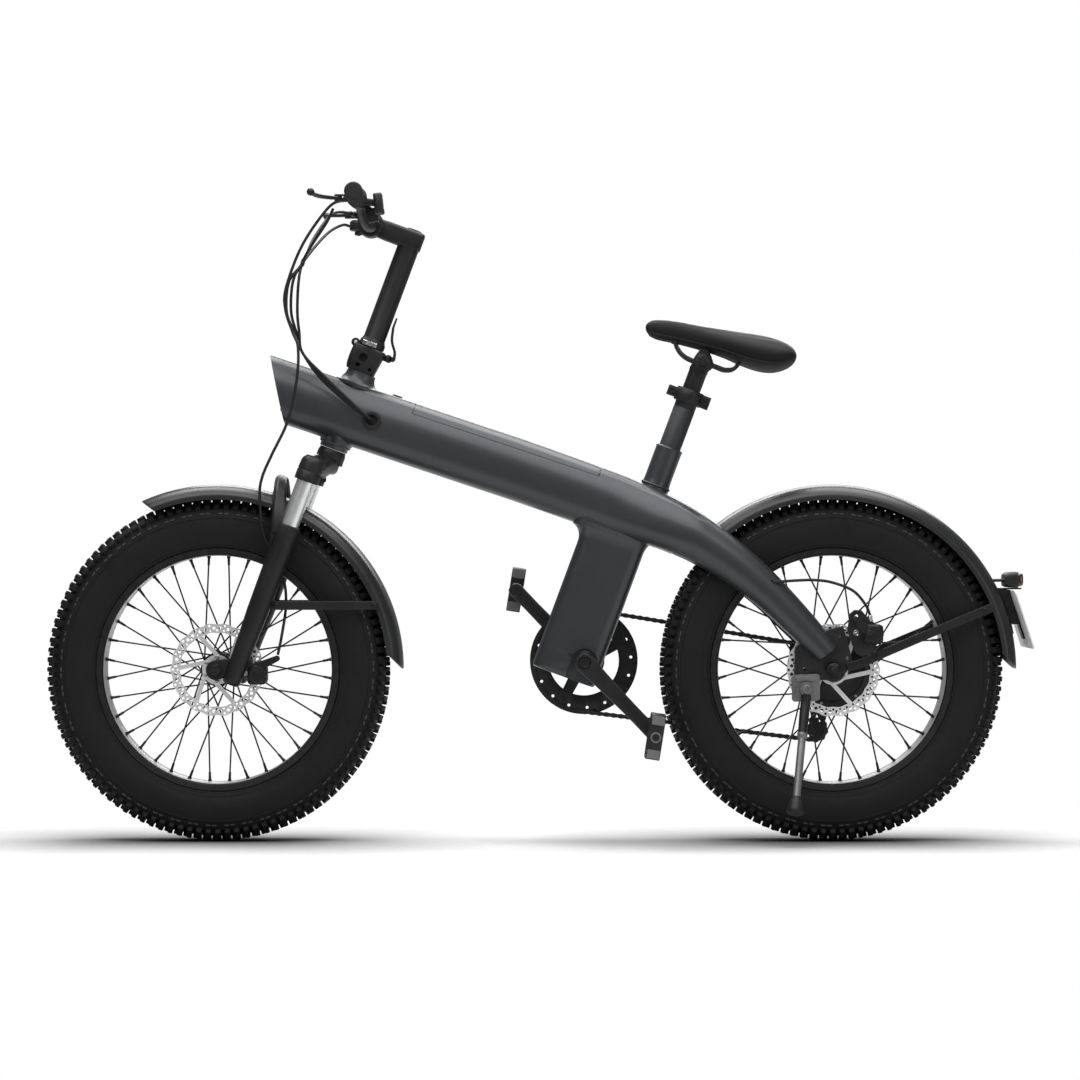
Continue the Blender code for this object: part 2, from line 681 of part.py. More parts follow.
def fork_lowers():
    """Two lower legs joined by an arch in front of the wheel, with axle lugs, axle and nuts."""
    legs, bores = [], []
    axle_up = (FRONT_AXLE - LOWER_RACE).dot(STEER_UP)
    for side in (-1.0, 1.0):
        foot = steer(LEG_FORWARD, side * FORK_HALF_WIDTH, 0.0)
        legs.append(turned(leg_profile(), foot, STEER_UP, ROUND))
        bores.append(turned([(STANCHION_RADIUS + SEAT, LOWERS_TOP - SUSPENSION_DEPTH - 0.045),
                             (STANCHION_RADIUS + SEAT, LOWERS_TOP + 0.050)], foot, STEER_UP, ROUND))
        inner = FORK_HALF_WIDTH - LUG_PLATE_THICKNESS / 2.0
        lug = capsule((FRONT_AXLE.x, FRONT_AXLE.z),
                      tuple(steer(LEG_FORWARD, 0.0, axle_up + 0.020).xz), LUG_PLATE_HALF, 0.0120)
        legs.append(plate(lug, side * inner - LUG_PLATE_THICKNESS / 2.0,
                          side * inner + LUG_PLATE_THICKNESS / 2.0))
        legs.append(rod(FRONT_AXLE + Y_AXIS * side * (inner - 0.0195),
                        FRONT_AXLE + Y_AXIS * side * (inner - 0.001),
                        0.0110, SMALL))
        legs.append(rod(FRONT_AXLE + Y_AXIS * side * inner, FRONT_AXLE + Y_AXIS * side * (inner + 0.012),
                        0.0105, 6))
    path = []
    for i in range(9):
        angle = math.pi * i / 8.0
        path.append(steer(LEG_FORWARD + 0.014 + ARCH_REACH * math.sin(angle),
                          -FORK_HALF_WIDTH * math.cos(angle),
                          LOWERS_TOP - 0.012 + ARCH_RISE * math.sin(angle)))
    arch = swept(path, rounded(0.012, 0.018, 0.004, 1), STEER_FORWARD)
    axle = rod(FRONT_AXLE - Y_AXIS * (FORK_HALF_WIDTH - 0.004),
               FRONT_AXLE + Y_AXIS * (FORK_HALF_WIDTH - 0.004),
               FRONT_AXLE_RADIUS, ROUND)
    return cut(unite(legs[0], *legs[1:], arch, axle), *bores)


# Handlepost and handlebar

def fold_pin_ring(radius, low, high, steps=SMALL):
    """A cylinder round the fold's pin, between two places across the bicycle."""
    centre = steer(FOLD_PIN_FORWARD, 0.0, HINGE_SPLIT)
    return rod(centre + Y_AXIS * low, centre + Y_AXIS * high, radius, steps)


def hinge_base():
    """The block clamped on the steerer, with the fold's ears and pin in front and the latch's lug behind."""
    top = HINGE_SPLIT - SEAT / 2.0
    core = turned([(HINGE_BLOCK_RADIUS - 0.001, HEAD_TOP + SEAT), (HINGE_BLOCK_RADIUS, HEAD_TOP + 0.004),
                   (HINGE_BLOCK_RADIUS, top)], LOWER_RACE, STEER_UP, ROUND)
    bore = turned([(STEERER_RADIUS + SEAT, HEAD_TOP - 0.010),
                   (STEERER_RADIUS + SEAT, HINGE_SPLIT - 0.006 + SEAT)],
                  LOWER_RACE, STEER_UP, ROUND)
    nest = fold_pin_ring(FOLD_KNUCKLE_RADIUS + 0.0006, -FOLD_KNUCKLE_HALF - SEAT, FOLD_KNUCKLE_HALF + SEAT)
    ears = []
    turn = Matrix.Translation(steer(0.0, 0.0, HINGE_SPLIT)) @ Matrix.Rotation(STEER_TILT, 4, Y_AXIS)
    for side in (-1.0, 1.0):
        low, high = sorted((side * (FOLD_KNUCKLE_HALF + SEAT), side * FOLD_EAR_OUTER))
        ears.append(fold_pin_ring(FOLD_KNUCKLE_RADIUS, low, high))
        ears.append(block((-FOLD_PIN_FORWARD, low + 0.0004, -0.0070), (-0.0120, high - 0.0004, -0.0005),
                          turn))
    pin = fold_pin_ring(FOLD_PIN_RADIUS, -FOLD_EAR_OUTER + 0.001, FOLD_EAR_OUTER - 0.001)
    hollow = rod(steer(0.0, -0.030, 0.172), steer(0.0, -0.0185, 0.172), 0.0070, SMALL)
    lug = rod(steer(LATCH_BACK + 0.002, -0.0060, LATCH_UP - 0.004),
              steer(LATCH_BACK + 0.002, 0.0060, LATCH_UP - 0.004),
              0.0068, SMALL)
    arm = block((-0.022, -0.0056, -0.0062), (-0.002, 0.0056, 0.0045),
                Matrix.Translation(steer(LATCH_BACK, 0.0, LATCH_UP - 0.004)) @ Matrix.Rotation(STEER_TILT,
                                                                                               4, Y_AXIS))
    arm = common(arm, turned([(0.0440, LATCH_UP - 0.016), (0.0440, LATCH_UP + 0.003)], LOWER_RACE, STEER_UP,
                             ROUND))
    shell = unite(cut(core, bore, nest, hollow), *ears)
    return unite(shell, pin, unite(lug, arm))


def latch_pivot():
    """Where the latch turns, behind the hinge's block."""
    return steer(LATCH_BACK + 0.002, 0.0, LATCH_UP - 0.004)


def fold_latch():
    """The lever that holds the post down: two cheeks round the lug, a handle and a wire hook."""
    pivot = Vector((LATCH_BACK + 0.002, LATCH_UP - 0.004))
    handle = [steer(pivot.x - 0.0102, 0.0, pivot.y), steer(pivot.x - 0.0072, 0.0, pivot.y + 0.016),
              steer(pivot.x + 0.0030, 0.0, pivot.y + 0.034), steer(pivot.x + 0.0060, 0.0, pivot.y + 0.056)]
    bar = swept(handle, rounded(0.017, 0.0050, 0.0016, 1))
    cheeks = []
    for side in (-1.0, 1.0):
        ring = rod(steer(pivot.x, side * 0.0065, pivot.y), steer(pivot.x, side * 0.0090, pivot.y), 0.0060,
                   SMALL)
        arm = swept([steer(pivot.x, side * 0.00775, pivot.y),
                     steer(pivot.x - 0.0096, side * 0.00775, pivot.y + 0.002)],
                    rounded(0.0025, 0.0080, 0.0008, 1))
        cheeks += [ring, arm]
    hook = []
    for i in range(7):
        angle = math.pi * i / 6.0
        hook.append(steer(pivot.x + 0.0062, -0.0070 * math.cos(angle),
                          pivot.y + 0.052 + 0.020 * math.sin(angle)))
    wire = swept(hook, circle(0.0016, 5), STEER_FORWARD)
    return unite(bar, *cheeks, wire)


def handlepost():
    """The folding post with its foot, the hinge's middle knuckle, the stem box and the bar clamp."""
    foot_bottom = HINGE_SPLIT + SEAT / 2.0
    foot = turned([(HINGE_BLOCK_RADIUS, foot_bottom), (HINGE_BLOCK_RADIUS, foot_bottom + POST_FOOT_HEIGHT),
                   (POST_RADIUS, foot_bottom + POST_FOOT_HEIGHT + 0.006), (POST_RADIUS,
                                                                           STEM_BOTTOM + 0.010)],
                  LOWER_RACE, STEER_UP, ROUND)
    room = [fold_pin_ring(FOLD_KNUCKLE_RADIUS + 0.0006, side * FOLD_KNUCKLE_HALF, side * 0.030)
            for side in (-1.0, 1.0)]
    knuckle = fold_pin_ring(FOLD_KNUCKLE_RADIUS, -FOLD_KNUCKLE_HALF, FOLD_KNUCKLE_HALF)
    bore = fold_pin_ring(bore_radius(FOLD_PIN_RADIUS, SMALL), -0.020, 0.020)
    outline = rounded(2.0 * STEM_HALF_WIDTH, STEM_TOP - STEM_BOTTOM, 0.0050, 2)
    middle = (STEM_TOP + STEM_BOTTOM) / 2.0
    box = swept([steer(STEM_REAR, 0.0, middle), steer(BAR_FORWARD - 0.012, 0.0, middle)], outline)
    clamp = rod(steer(BAR_FORWARD, -0.024, BAR_UP), steer(BAR_FORWARD, 0.024, BAR_UP),
                BAR_CLAMP_RADIUS + 0.0065, ROUND)
    seat = rod(steer(BAR_FORWARD, -0.040, BAR_UP), steer(BAR_FORWARD, 0.040, BAR_UP),
               socket_radius(BAR_CLAMP_RADIUS, ROUND), ROUND)
    return cut(unite(cut(foot, *room), knuckle, box, clamp), bore, seat)


def bar_path(inset=0.0):
    """The handlebar's centre line from left to right: level, risen and swept towards its ends."""
    centre = steer(BAR_FORWARD, 0.0, BAR_UP)
    half = []
    steps = 4
    for i in range(steps + 1):
        share = i / steps
        ease = share * share * (3.0 - 2.0 * share)
        half.append(Vector((centre.x - BAR_SWEEP * ease,
                            BAR_CLAMP_HALF + (BAR_BEND_END - BAR_CLAMP_HALF) * share,
                            centre.z + BAR_RISE * ease)))
    half.append(Vector((centre.x - BAR_SWEEP, BAR_HALF_LENGTH - inset, centre.z + BAR_RISE)))
    return [Vector((point.x, -point.y, point.z)) for point in reversed(half)] + half


def handlebar():
    """One bent tube, thick in its clamp and thin under the grips."""
    path = bar_path()
    count = len(path)

    def section(i):
        near = min(i, count - 1 - i)
        share = max(0.0, min(1.0, (near - 1) / 3.0))
        return circle(BAR_END_RADIUS + (BAR_CLAMP_RADIUS - BAR_END_RADIUS) * share, ROUND)

    return swept(path, section, STEER_UP)


def bar_end(side, across_):
    """A point on the handlebar's straight outer stretch."""
    end = bar_path()[-1]
    return Vector((end.x, side * across_, end.z))


def grip(side):
    """A ribbed rubber sleeve over the bar's end, closed at the tip."""
    inner = BAR_HALF_LENGTH + 0.003 - GRIP_LENGTH
    hole = socket_radius(BAR_END_RADIUS, ROUND)
    profile = [(hole, inner), (GRIP_RADIUS + 0.002, inner), (GRIP_RADIUS + 0.002, inner + 0.004),
               (GRIP_RADIUS, inner + 0.006), (GRIP_RADIUS, BAR_HALF_LENGTH + 0.001),
               (GRIP_RADIUS - 0.003, BAR_HALF_LENGTH + 0.003)]
    sleeve = turned(profile, bar_end(side, 0.0), Y_AXIS * side, ROUND)
    socket = turned([(hole, inner - 0.010), (hole, BAR_HALF_LENGTH + SEAT)], bar_end(side, 0.0),
                    Y_AXIS * side, ROUND)
    return cut(sleeve, socket)


def perch(side):
    """A lever's clamp on the bar, with a fork of two ears for the lever and a barrel for its cable."""
    centre = bar_end(side, PERCH_Y)
    half = Y_AXIS * PERCH_HALF
    band = rod(centre - half, centre + half, BAR_END_RADIUS + 0.0050, ROUND)
    pivot = lever_pivot(side)
    ears = []
    for level in (-1.0, 1.0):
        low, high = (0.0034, 0.0060) if level > 0 else (-0.0060, -0.0034)
        start = Vector((centre.x, centre.y, pivot.z))
        ears.append(swept([start + Vector((-0.010, 0, (low + high) / 2)),
                           pivot + Vector((-0.006, 0, (low + high) / 2))],
                          rounded(0.015, high - low, 0.0008, 1)))
    web = swept([centre + Vector((-0.006, 0.0, 0.0)), centre + Vector((-0.020, 0.0, 0.0))],
                rounded(0.0150, 0.0120, 0.0020, 1))
    barrel = rod(centre + Vector((-0.018, -side * 0.004, 0.0)),
                 centre + Vector((-0.022, -side * 0.026, 0.0)),
                 0.0042, SMALL)
    bore = rod(centre - 2.0 * half, centre + 2.0 * half, socket_radius(BAR_END_RADIUS, ROUND), ROUND)
    pin = rod(pivot - Vector((0.0, 0.0, 0.0055)), pivot + Vector((0.0, 0.0, 0.0055)), 0.0020, SMALL)
    return unite(cut(unite(band, web, barrel, *ears), bore), pin)


def lever_pivot(side):
    """Where a brake lever turns, in front of its clamp."""
    return bar_end(side, PERCH_Y) + Vector((-0.032, side * 0.002, 0.0))


def brake_lever(side):
    """A curved blade that ends in a ball, bored for its pin."""
    pivot = lever_pivot(side)
    tip = Vector((pivot.x - (LEVER_REACH - 0.032), side * LEVER_TIP_Y, pivot.z + 0.004))
    path = [pivot, pivot + Vector((-0.014, side * 0.010, 0.0)),
            pivot + Vector((-0.030, side * 0.026, 0.001)),
            pivot + Vector((-0.039, side * 0.048, 0.003)), tip]
    widths = (0.0130, 0.0120, 0.0110, 0.0095, 0.0080)
    blade = swept(path, lambda i: rounded(widths[i], 0.0058, 0.0020, 1), Vector((1.0, 0.0, 0.0)))
    eye = rod(pivot - Vector((0.0, 0.0, 0.0030)), pivot + Vector((0.0, 0.0, 0.0030)), 0.0068, SMALL)
    ball = turned([(0.0036, -0.0056), (0.0066, 0.0), (0.0036, 0.0056)], tip, Y_AXIS, SMALL)
    bore = rod(pivot - Vector((0.0, 0.0, 0.010)), pivot + Vector((0.0, 0.0, 0.010)),
               bore_radius(0.0020, SMALL), SMALL)
    return cut(unite(blade, eye, ball), bore)


def display():
    """A small control panel behind the bar's left side, on a neck from its band."""
    centre = bar_end(-1.0, DISPLAY_Y)
    band = rod(centre - Y_AXIS * 0.006, centre + Y_AXIS * 0.006, BAR_END_RADIUS + 0.0045, ROUND)
    case = swept([centre + Vector((0.033, -0.004, 0.010)), centre + Vector((0.037, -0.004, -0.025))],
                 rounded(0.046, 0.0150, 0.0050, 2))
    neck = swept([centre + Vector((0.006, 0.0, -0.002)), centre + Vector((0.033, 0.0, -0.006))],
                 rounded(0.010, 0.0120, 0.0030, 1))
    bore = rod(centre - Y_AXIS * 0.020, centre + Y_AXIS * 0.020, socket_radius(BAR_END_RADIUS, ROUND), ROUND)
    return cut(unite(band, case, neck), bore)


def shifter():
    """The gear shifter's housing under the bar's right side, with its lever's pin."""
    centre = bar_end(1.0, SHIFTER_Y)
    band = rod(centre - Y_AXIS * 0.006, centre + Y_AXIS * 0.006, BAR_END_RADIUS + 0.0045, ROUND)
    case = turned([(0.0130, -0.0310), (0.0160, -0.0290), (0.0160, -0.0160), (0.0120, -0.0120)],
                  centre + Vector((-0.012, 0.0, 0.0)), Vector((0.0, 0.0, 1.0)), SMALL)
    neck = swept([centre + Vector((-0.006, 0.0, -0.008)), centre + Vector((-0.010, 0.0, -0.022))],
                 rounded(0.012, 0.0140, 0.0030, 1))
    bore = rod(centre - Y_AXIS * 0.020, centre + Y_AXIS * 0.020, socket_radius(BAR_END_RADIUS, ROUND), ROUND)
    pin = rod(centre + Vector((-0.012, 0.0, -0.0395)), centre + Vector((-0.012, 0.0, -0.0300)), 0.0030,
              SMALL)
    return unite(cut(unite(band, case, neck), bore), pin)


def shift_lever():
    """The thumb lever under the shifter."""
    pivot = bar_end(1.0, SHIFTER_Y) + Vector((-0.012, 0.0, -0.0353))
    eye = rod(pivot - Vector((0.0, 0.0, 0.0030)), pivot + Vector((0.0, 0.0, 0.0030)), 0.0070, SMALL)
    path = [pivot, pivot + Vector((0.014, 0.012, 0.0)), pivot + Vector((0.024, 0.030, -0.001))]
    widths = (0.0100, 0.0110, 0.0150)
    blade = swept(path, lambda i: rounded(widths[i], 0.0050, 0.0018, 1), Vector((1.0, 0.0, 0.0)))
    bore = rod(pivot - Vector((0.0, 0.0, 0.010)), pivot + Vector((0.0, 0.0, 0.010)),
               bore_radius(0.0030, SMALL), SMALL)
    return cut(unite(blade, eye), bore)


# Frame

def beam_stations():
    """Stations from the nose to the dropouts."""
    stations = []
    depth = BEAM_UP * BEAM_DEPTH
    for along in (-0.070, 0.250, 0.480):
        top = BEAM_TOP + BEAM_BACK * along
        low = top - depth
        stations.append((top, low, BEAM_HALF_WIDTH))
    for x_top, z_top, x_low, z_low, half in STAY_STATIONS:
        stations.append((Vector((x_top, 0.0, z_top)), Vector((x_low, 0.0, z_low)), half))
    return stations


# Outline of the beam's bent rear part: top edge, bottom edge, half width
STAY_STATIONS = (
    (0.1350, 0.6350, 0.0980, 0.5370, 0.0500),
    (0.1850, 0.6140, 0.1520, 0.5210, 0.0600),
    (0.2330, 0.5920, 0.2010, 0.5060, 0.0780),
    (0.2720, 0.5700, 0.2370, 0.4920, STAY_OUTER_FRONT),
    (0.3100, 0.5450, 0.2720, 0.4750, 0.0895),
    (0.3610, 0.5050, 0.3250, 0.4430, 0.0910),
    (0.4110, 0.4570, 0.3760, 0.4050, 0.0930),
    (0.4580, 0.4050, 0.4210, 0.3640, 0.0950),
    (0.4880, 0.3690, 0.4520, 0.3350, STAY_OUTER_REAR),
    (0.5120, 0.3370, 0.4780, 0.3120, STAY_OUTER_REAR),
)


def beam_solid():
    """The frame's outer form, from the nose to the ends of the stays, before it is hollowed."""
    rings = []
    for top, low, half in beam_stations():
        middle = (top + low) / 2.0
        rise = (top - low) / 2.0
        height = rise.length
        corner = min(BEAM_CORNER, 0.42 * 2.0 * height)
        outline = rounded(2.0 * half, 2.0 * height, min(corner, 0.8 * half), 3)
        rings.append([middle + Y_AXIS * a + rise.normalized() * b for a, b in outline])
    return loft(rings)


def beam_box(front_x, rear_x, top_gap, bottom_gap, half):
    """A box in the beam's own directions, between two depths below its top edge."""
    start = BEAM_TOP + BEAM_BACK * ((front_x - BEAM_TOP_X) / BEAM_BACK.x)
    end = BEAM_TOP + BEAM_BACK * ((rear_x - BEAM_TOP_X) / BEAM_BACK.x)
    corners = []
    for point in (start, end):
        corners.append([point - BEAM_UP * depth + Y_AXIS * side * half
                        for depth, side in ((top_gap, -1), (top_gap, 1), (bottom_gap, 1), (bottom_gap, -1))])
    return loft(corners)


def mast_solid():
    """The mast from its slanting foot up into the beam."""
    foot = Vector((MAST_BOTTOM_X, 0.0, MAST_BOTTOM_Z)) + MAST_BACK * (MAST_WIDTH / 2.0)
    outline = rounded(2.0 * MAST_HALF_THICKNESS, MAST_WIDTH, MAST_CORNER, 3)
    return swept([foot, foot + MAST_UP * MAST_HEIGHT], outline)


def wheel_slot():
    """The space between the stays: round in front, wider towards the dropouts."""
    parts = []
    points = [(REAR_AXLE.x + CROTCH_RADIUS * math.cos(math.radians(angle)),
               REAR_AXLE.z + CROTCH_RADIUS * math.sin(math.radians(angle))) for angle in range(110, 200,
                                                                                               CROTCH_STEP)]
    points += [(REAR_AXLE.x + 0.08, 0.200), (REAR_AXLE.x + 0.08, 0.500)]
    parts.append(plate(points, -STAY_INNER_FRONT, STAY_INNER_FRONT))
    wide = [(0.300, STAY_INNER_FRONT - 0.002), (0.420, STAY_INNER_REAR), (0.600, STAY_INNER_REAR)]
    rings = []
    for x, half in wide:
        rings.append([Vector((x, -half, 0.18)), Vector((x, half, 0.18)), Vector((x, half, 0.62)),
                      Vector((x, -half, 0.62))])
    parts.append(loft(rings))
    return unite(*parts)


def nose_cut():
    """What the slanting nose plane takes off the beam."""
    top = beam_surface(NOSE_TOP_X)
    low = Vector((NOSE_BOTTOM_X, 0.0, top.z - BEAM_DEPTH / math.cos(BEAM_SLOPE) - 0.010))
    run = (top - low).normalized()
    high, deep = top + run * 0.10, low - run * 0.10
    outline = [(high.x, high.z), (deep.x, deep.z), (deep.x - 0.20, deep.z), (high.x - 0.20, high.z)]
    return plate(outline, -0.20, 0.20)


def mouth():
    """The hollow behind the nose's rim, where the headlight sits."""
    start = BEAM_TOP - BEAM_UP * (BEAM_DEPTH / 2.0) + BEAM_BACK * -0.120
    floor = mouth_floor()
    outline = rounded(2.0 * (BEAM_HALF_WIDTH - MOUTH_WALL), BEAM_DEPTH - 2.0 * MOUTH_WALL,
                      BEAM_CORNER - MOUTH_WALL, 3)
    return swept([start, floor], outline)


def mouth_floor():
    """Centre of the mouth's back wall."""
    centre = BEAM_TOP - BEAM_UP * (BEAM_DEPTH / 2.0)
    return centre + BEAM_BACK * (MOUTH_DEPTH - 0.010)


def head_bore():
    """The steerer's bore through the beam."""
    radius = bore_radius(STEERER_RADIUS, ROUND)
    return turned([(radius, HEAD_BOTTOM - 0.030), (radius, HEAD_TOP + 0.030)], LOWER_RACE, STEER_UP, ROUND)


def head_collars():
    """The rings where the steerer enters and leaves the beam."""
    upper = turned([(HEAD_TOP_RADIUS + 0.008, HEAD_TOP - 0.050), (HEAD_TOP_RADIUS + 0.004, HEAD_TOP - 0.014),
                    (HEAD_TOP_RADIUS, HEAD_TOP - 0.008), (HEAD_TOP_RADIUS,
                                                          HEAD_TOP)], LOWER_RACE, STEER_UP, ROUND)
    lower = turned([(HEAD_LOWER_RADIUS, HEAD_BOTTOM), (HEAD_LOWER_RADIUS + 0.003, HEAD_BOTTOM + 0.008),
                    (HEAD_LOWER_RADIUS + 0.010, HEAD_BOTTOM + 0.030)], LOWER_RACE, STEER_UP, ROUND)
    return [upper, lower]


def port_centre():
    """Centre of the cable port on the beam's left side."""
    return Vector((PORT_X, -BEAM_HALF_WIDTH, PORT_Z))


def sleeve_solid(extra=0.0):
    """The seat sleeve's outer form, flared where it meets the beam."""
    return turned([(SLEEVE_RADIUS + 0.0025 + extra, -SLEEVE_LENGTH - extra),
                   (SLEEVE_RADIUS + 0.0015 + extra, -0.066), (SLEEVE_RADIUS + extra, -0.058),
                   (SLEEVE_RADIUS + extra, extra)], SLEEVE_TOP, SEAT_UP, ROUND)


def seat_bore():
    """The wide seat post's bore through the sleeve and down into the beam."""
    return turned([(MID_POST_RADIUS + RUNNING, -MID_POST_INSERT - MID_POST_DOWN - 0.004),
                   (MID_POST_RADIUS + RUNNING, 0.020)], SLEEVE_TOP, SEAT_UP, ROUND)


def seat_sleeve():
    """The tube that stands in the beam and guides the wide seat post."""
    return cut(sleeve_solid(), seat_bore())


def frame():
    """The beam, mast, collars and bracket shell with its cups in one body, hollowed for what they hold."""
    shell = rod(BRACKET - Y_AXIS * BRACKET_SHELL_HALF, BRACKET + Y_AXIS * BRACKET_SHELL_HALF,
                BRACKET_SHELL_RADIUS, ROUND)
    cups = rod(BRACKET - Y_AXIS * BRACKET_CUP_HALF, BRACKET + Y_AXIS * BRACKET_CUP_HALF,
               BRACKET_CUP_RADIUS, ROUND)
    outer = unite(beam_solid(), mast_solid(), *head_collars(), shell, cups)
    lid_room = beam_box(BAY_FRONT_X - SEAT, BAY_REAR_X + SEAT, -0.030, LID_DEPTH + SEAT, 0.100)
    bay = beam_box(BAY_FRONT_X + 0.008, BAY_REAR_X - 0.008, 0.0, BAY_DEPTH, BAY_HALF_WIDTH)
    bracket_bore = rod(BRACKET - Y_AXIS * 0.080, BRACKET + Y_AXIS * 0.080,
                       bore_radius(SPINDLE_RADIUS, ROUND), ROUND)
    port = port_centre()
    cable_hole = rod(port - Y_AXIS * 0.020, port + Y_AXIS * 0.014, PORT_RADIUS + SEAT, SMALL)
    exit_hole = rod(Vector((0.3980, -0.0870, 0.4470)), Vector((0.4500, -0.0870, 0.4495)), 0.0031, 8)
    button = button_place()
    button_hole = rod(button - BEAM_UP * BUTTON_DEPTH, button + BEAM_UP * 0.020, BUTTON_RADIUS + SEAT, SMALL)
    return cut(outer, wheel_slot(), nose_cut(), mouth(), head_bore(), lid_room, bay, seat_bore(),
               sleeve_solid(SEAT), bracket_bore, cable_hole, exit_hole, button_hole)


def battery_lid():
    """The slice of the beam's top over the battery."""
    slab = beam_box(BAY_FRONT_X, BAY_REAR_X, -0.030, LID_DEPTH, 0.100)
    pocket = beam_box(BAY_FRONT_X + 0.014, BAY_REAR_X - 0.014, 0.0070, LID_DEPTH + 0.010,
                      BAY_HALF_WIDTH - 0.008)
    return cut(common(beam_solid(), slab), pocket)


def battery_pack():
    """The block of cells in the beam, on the bay's floor."""
    return beam_box(BAY_FRONT_X + 0.012, BAY_REAR_X - 0.012, LID_DEPTH + 0.002, BAY_DEPTH - SEAT,
                    BAY_HALF_WIDTH - 0.010)


def beam_surface(x):
    """A point on the straight line of the beam's top edge."""
    return BEAM_TOP + BEAM_BACK * ((x - BEAM_TOP_X) / BEAM_BACK.x)


def button_place():
    """Where the power button sits on the beam's top."""
    return beam_surface(BUTTON_X)


def power_button():
    """A round push button on the beam's top."""
    centre = button_place()
    return turned([(BUTTON_RADIUS, -BUTTON_DEPTH + BUTTON_TRAVEL + SEAT), (BUTTON_RADIUS, 0.0012),
                   (BUTTON_RADIUS - 0.0015, 0.0030)], centre, BEAM_UP, SMALL)


def headlight():
    """A lamp block against the back wall of the mouth."""
    base = mouth_floor() - BEAM_BACK * SEAT
    profile = [(0.0300, 0.0), (0.0330, 0.006), (0.0330, 0.022), (0.0300, 0.026)]
    return turned(profile, base, -BEAM_BACK, ROUND)


def dropout(side):
    """A plate inside the stay's end, round the axle, with a foot for the kickstand's bracket."""
    axle = REAR_AXLE
    boss = [(axle.x + DROPOUT_BOSS * math.cos(math.radians(angle)),
             axle.z + DROPOUT_BOSS * math.sin(math.radians(angle)))
            for angle in range(236, 352, 12)]
    outline = [(axle.x - 0.0658, axle.z + 0.0392), (axle.x - 0.0678, axle.z - 0.0128),
               (axle.x - 0.0240, axle.z - 0.0168),
               *boss, (axle.x + 0.0322, axle.z + 0.0122), (axle.x + 0.0282, axle.z + 0.0322),
               (axle.x + 0.0162, axle.z + 0.0762), (axle.x - 0.0058, axle.z + 0.0702), (axle.x - 0.0358,
                                                                                        axle.z + 0.0562)]
    place = sorted((side * (STAY_INNER_REAR - SEAT), side * (STAY_INNER_REAR - SEAT - DROPOUT_THICKNESS)))
    hole = ring_points(axle.x, axle.z, REAR_AXLE_RADIUS + SEAT, ROUND)
    return plate(outline, place[0], place[1], [hole])


def rear_axle():
    """The motor's fixed axle with its stator disc ends and nuts."""
    axle = rod(REAR_AXLE - Y_AXIS * REAR_AXLE_HALF, REAR_AXLE + Y_AXIS * REAR_AXLE_HALF, REAR_AXLE_RADIUS,
               ROUND)
    nuts = []
    for side in (-1.0, 1.0):
        start = REAR_AXLE + Y_AXIS * side * (STAY_INNER_REAR + SEAT)
        nuts.append(rod(start, start + Y_AXIS * side * 0.0140, 0.0110, 6))
    return unite(axle, *nuts)


# Drivetrain

def pitch_radius(teeth):
    """Radius at which the chain's pins lie on a sprocket."""
    return CHAIN_PITCH / (2.0 * math.sin(math.pi / teeth))


def tooth_outline(centre, teeth):
    """A sprocket's outline: pointed teeth on the root circle."""
    pitch = pitch_radius(teeth)
    points = []
    for i in range(teeth):
        for offset, radius in ((0.0, pitch + TOOTH_HEIGHT), (0.5, pitch - TOOTH_DEPTH)):
            angle = 2.0 * math.pi * (i + offset) / teeth
            points.append((centre.x + radius * math.cos(angle), centre.z + radius * math.sin(angle)))
    return points


def toothed_disc(centre, teeth, holes):
    """A sprocket's plate on the chain line."""
    return plate(tooth_outline(centre, teeth), CHAIN_LINE - TOOTH_HALF_THICKNESS,
                 CHAIN_LINE + TOOTH_HALF_THICKNESS, holes)


def chainring():
    """The toothed ring on a five-armed spider, with its guard."""
    bore = ring_points(BRACKET.x, BRACKET.z, CRANK_BOSS_RADIUS + SEAT, ROUND)
    windows = []
    for i in range(5):
        hole = []
        for radius, spread in ((0.0300, 0.50), (0.0680, 0.80)):
            row = []
            for k in range(3):
                angle = (i + 0.5 + spread * (k / 2.0 - 0.5)) * 2.0 * math.pi / 5.0
                row.append((BRACKET.x + radius * math.cos(angle), BRACKET.z + radius * math.sin(angle)))
            hole += row if not hole else row[::-1]
        windows.append(hole)
    disc = toothed_disc(BRACKET, CHAINRING_TEETH, [bore, *windows])
    guard = plate(ring_points(BRACKET.x, BRACKET.z, GUARD_RADIUS, GUARD_STEPS), GUARD_Y, GUARD_Y + 0.0020,
                  [ring_points(BRACKET.x, BRACKET.z, pitch_radius(CHAINRING_TEETH) - 0.0110, GUARD_STEPS)])
    arms = []
    for i in range(5):
        turn = Matrix.Translation(BRACKET) @ Matrix.Rotation(-2.0 * math.pi * i / 5.0, 4, Y_AXIS)
        reach = pitch_radius(CHAINRING_TEETH) - CHAIN_HALF_HEIGHT - 0.0015
        arms.append(block((CRANK_BOSS_RADIUS + 0.004, CHAIN_LINE, -0.0070),
                          (reach, GUARD_Y + 0.0015, 0.0070), turn))
    return unite(disc, guard, *arms)


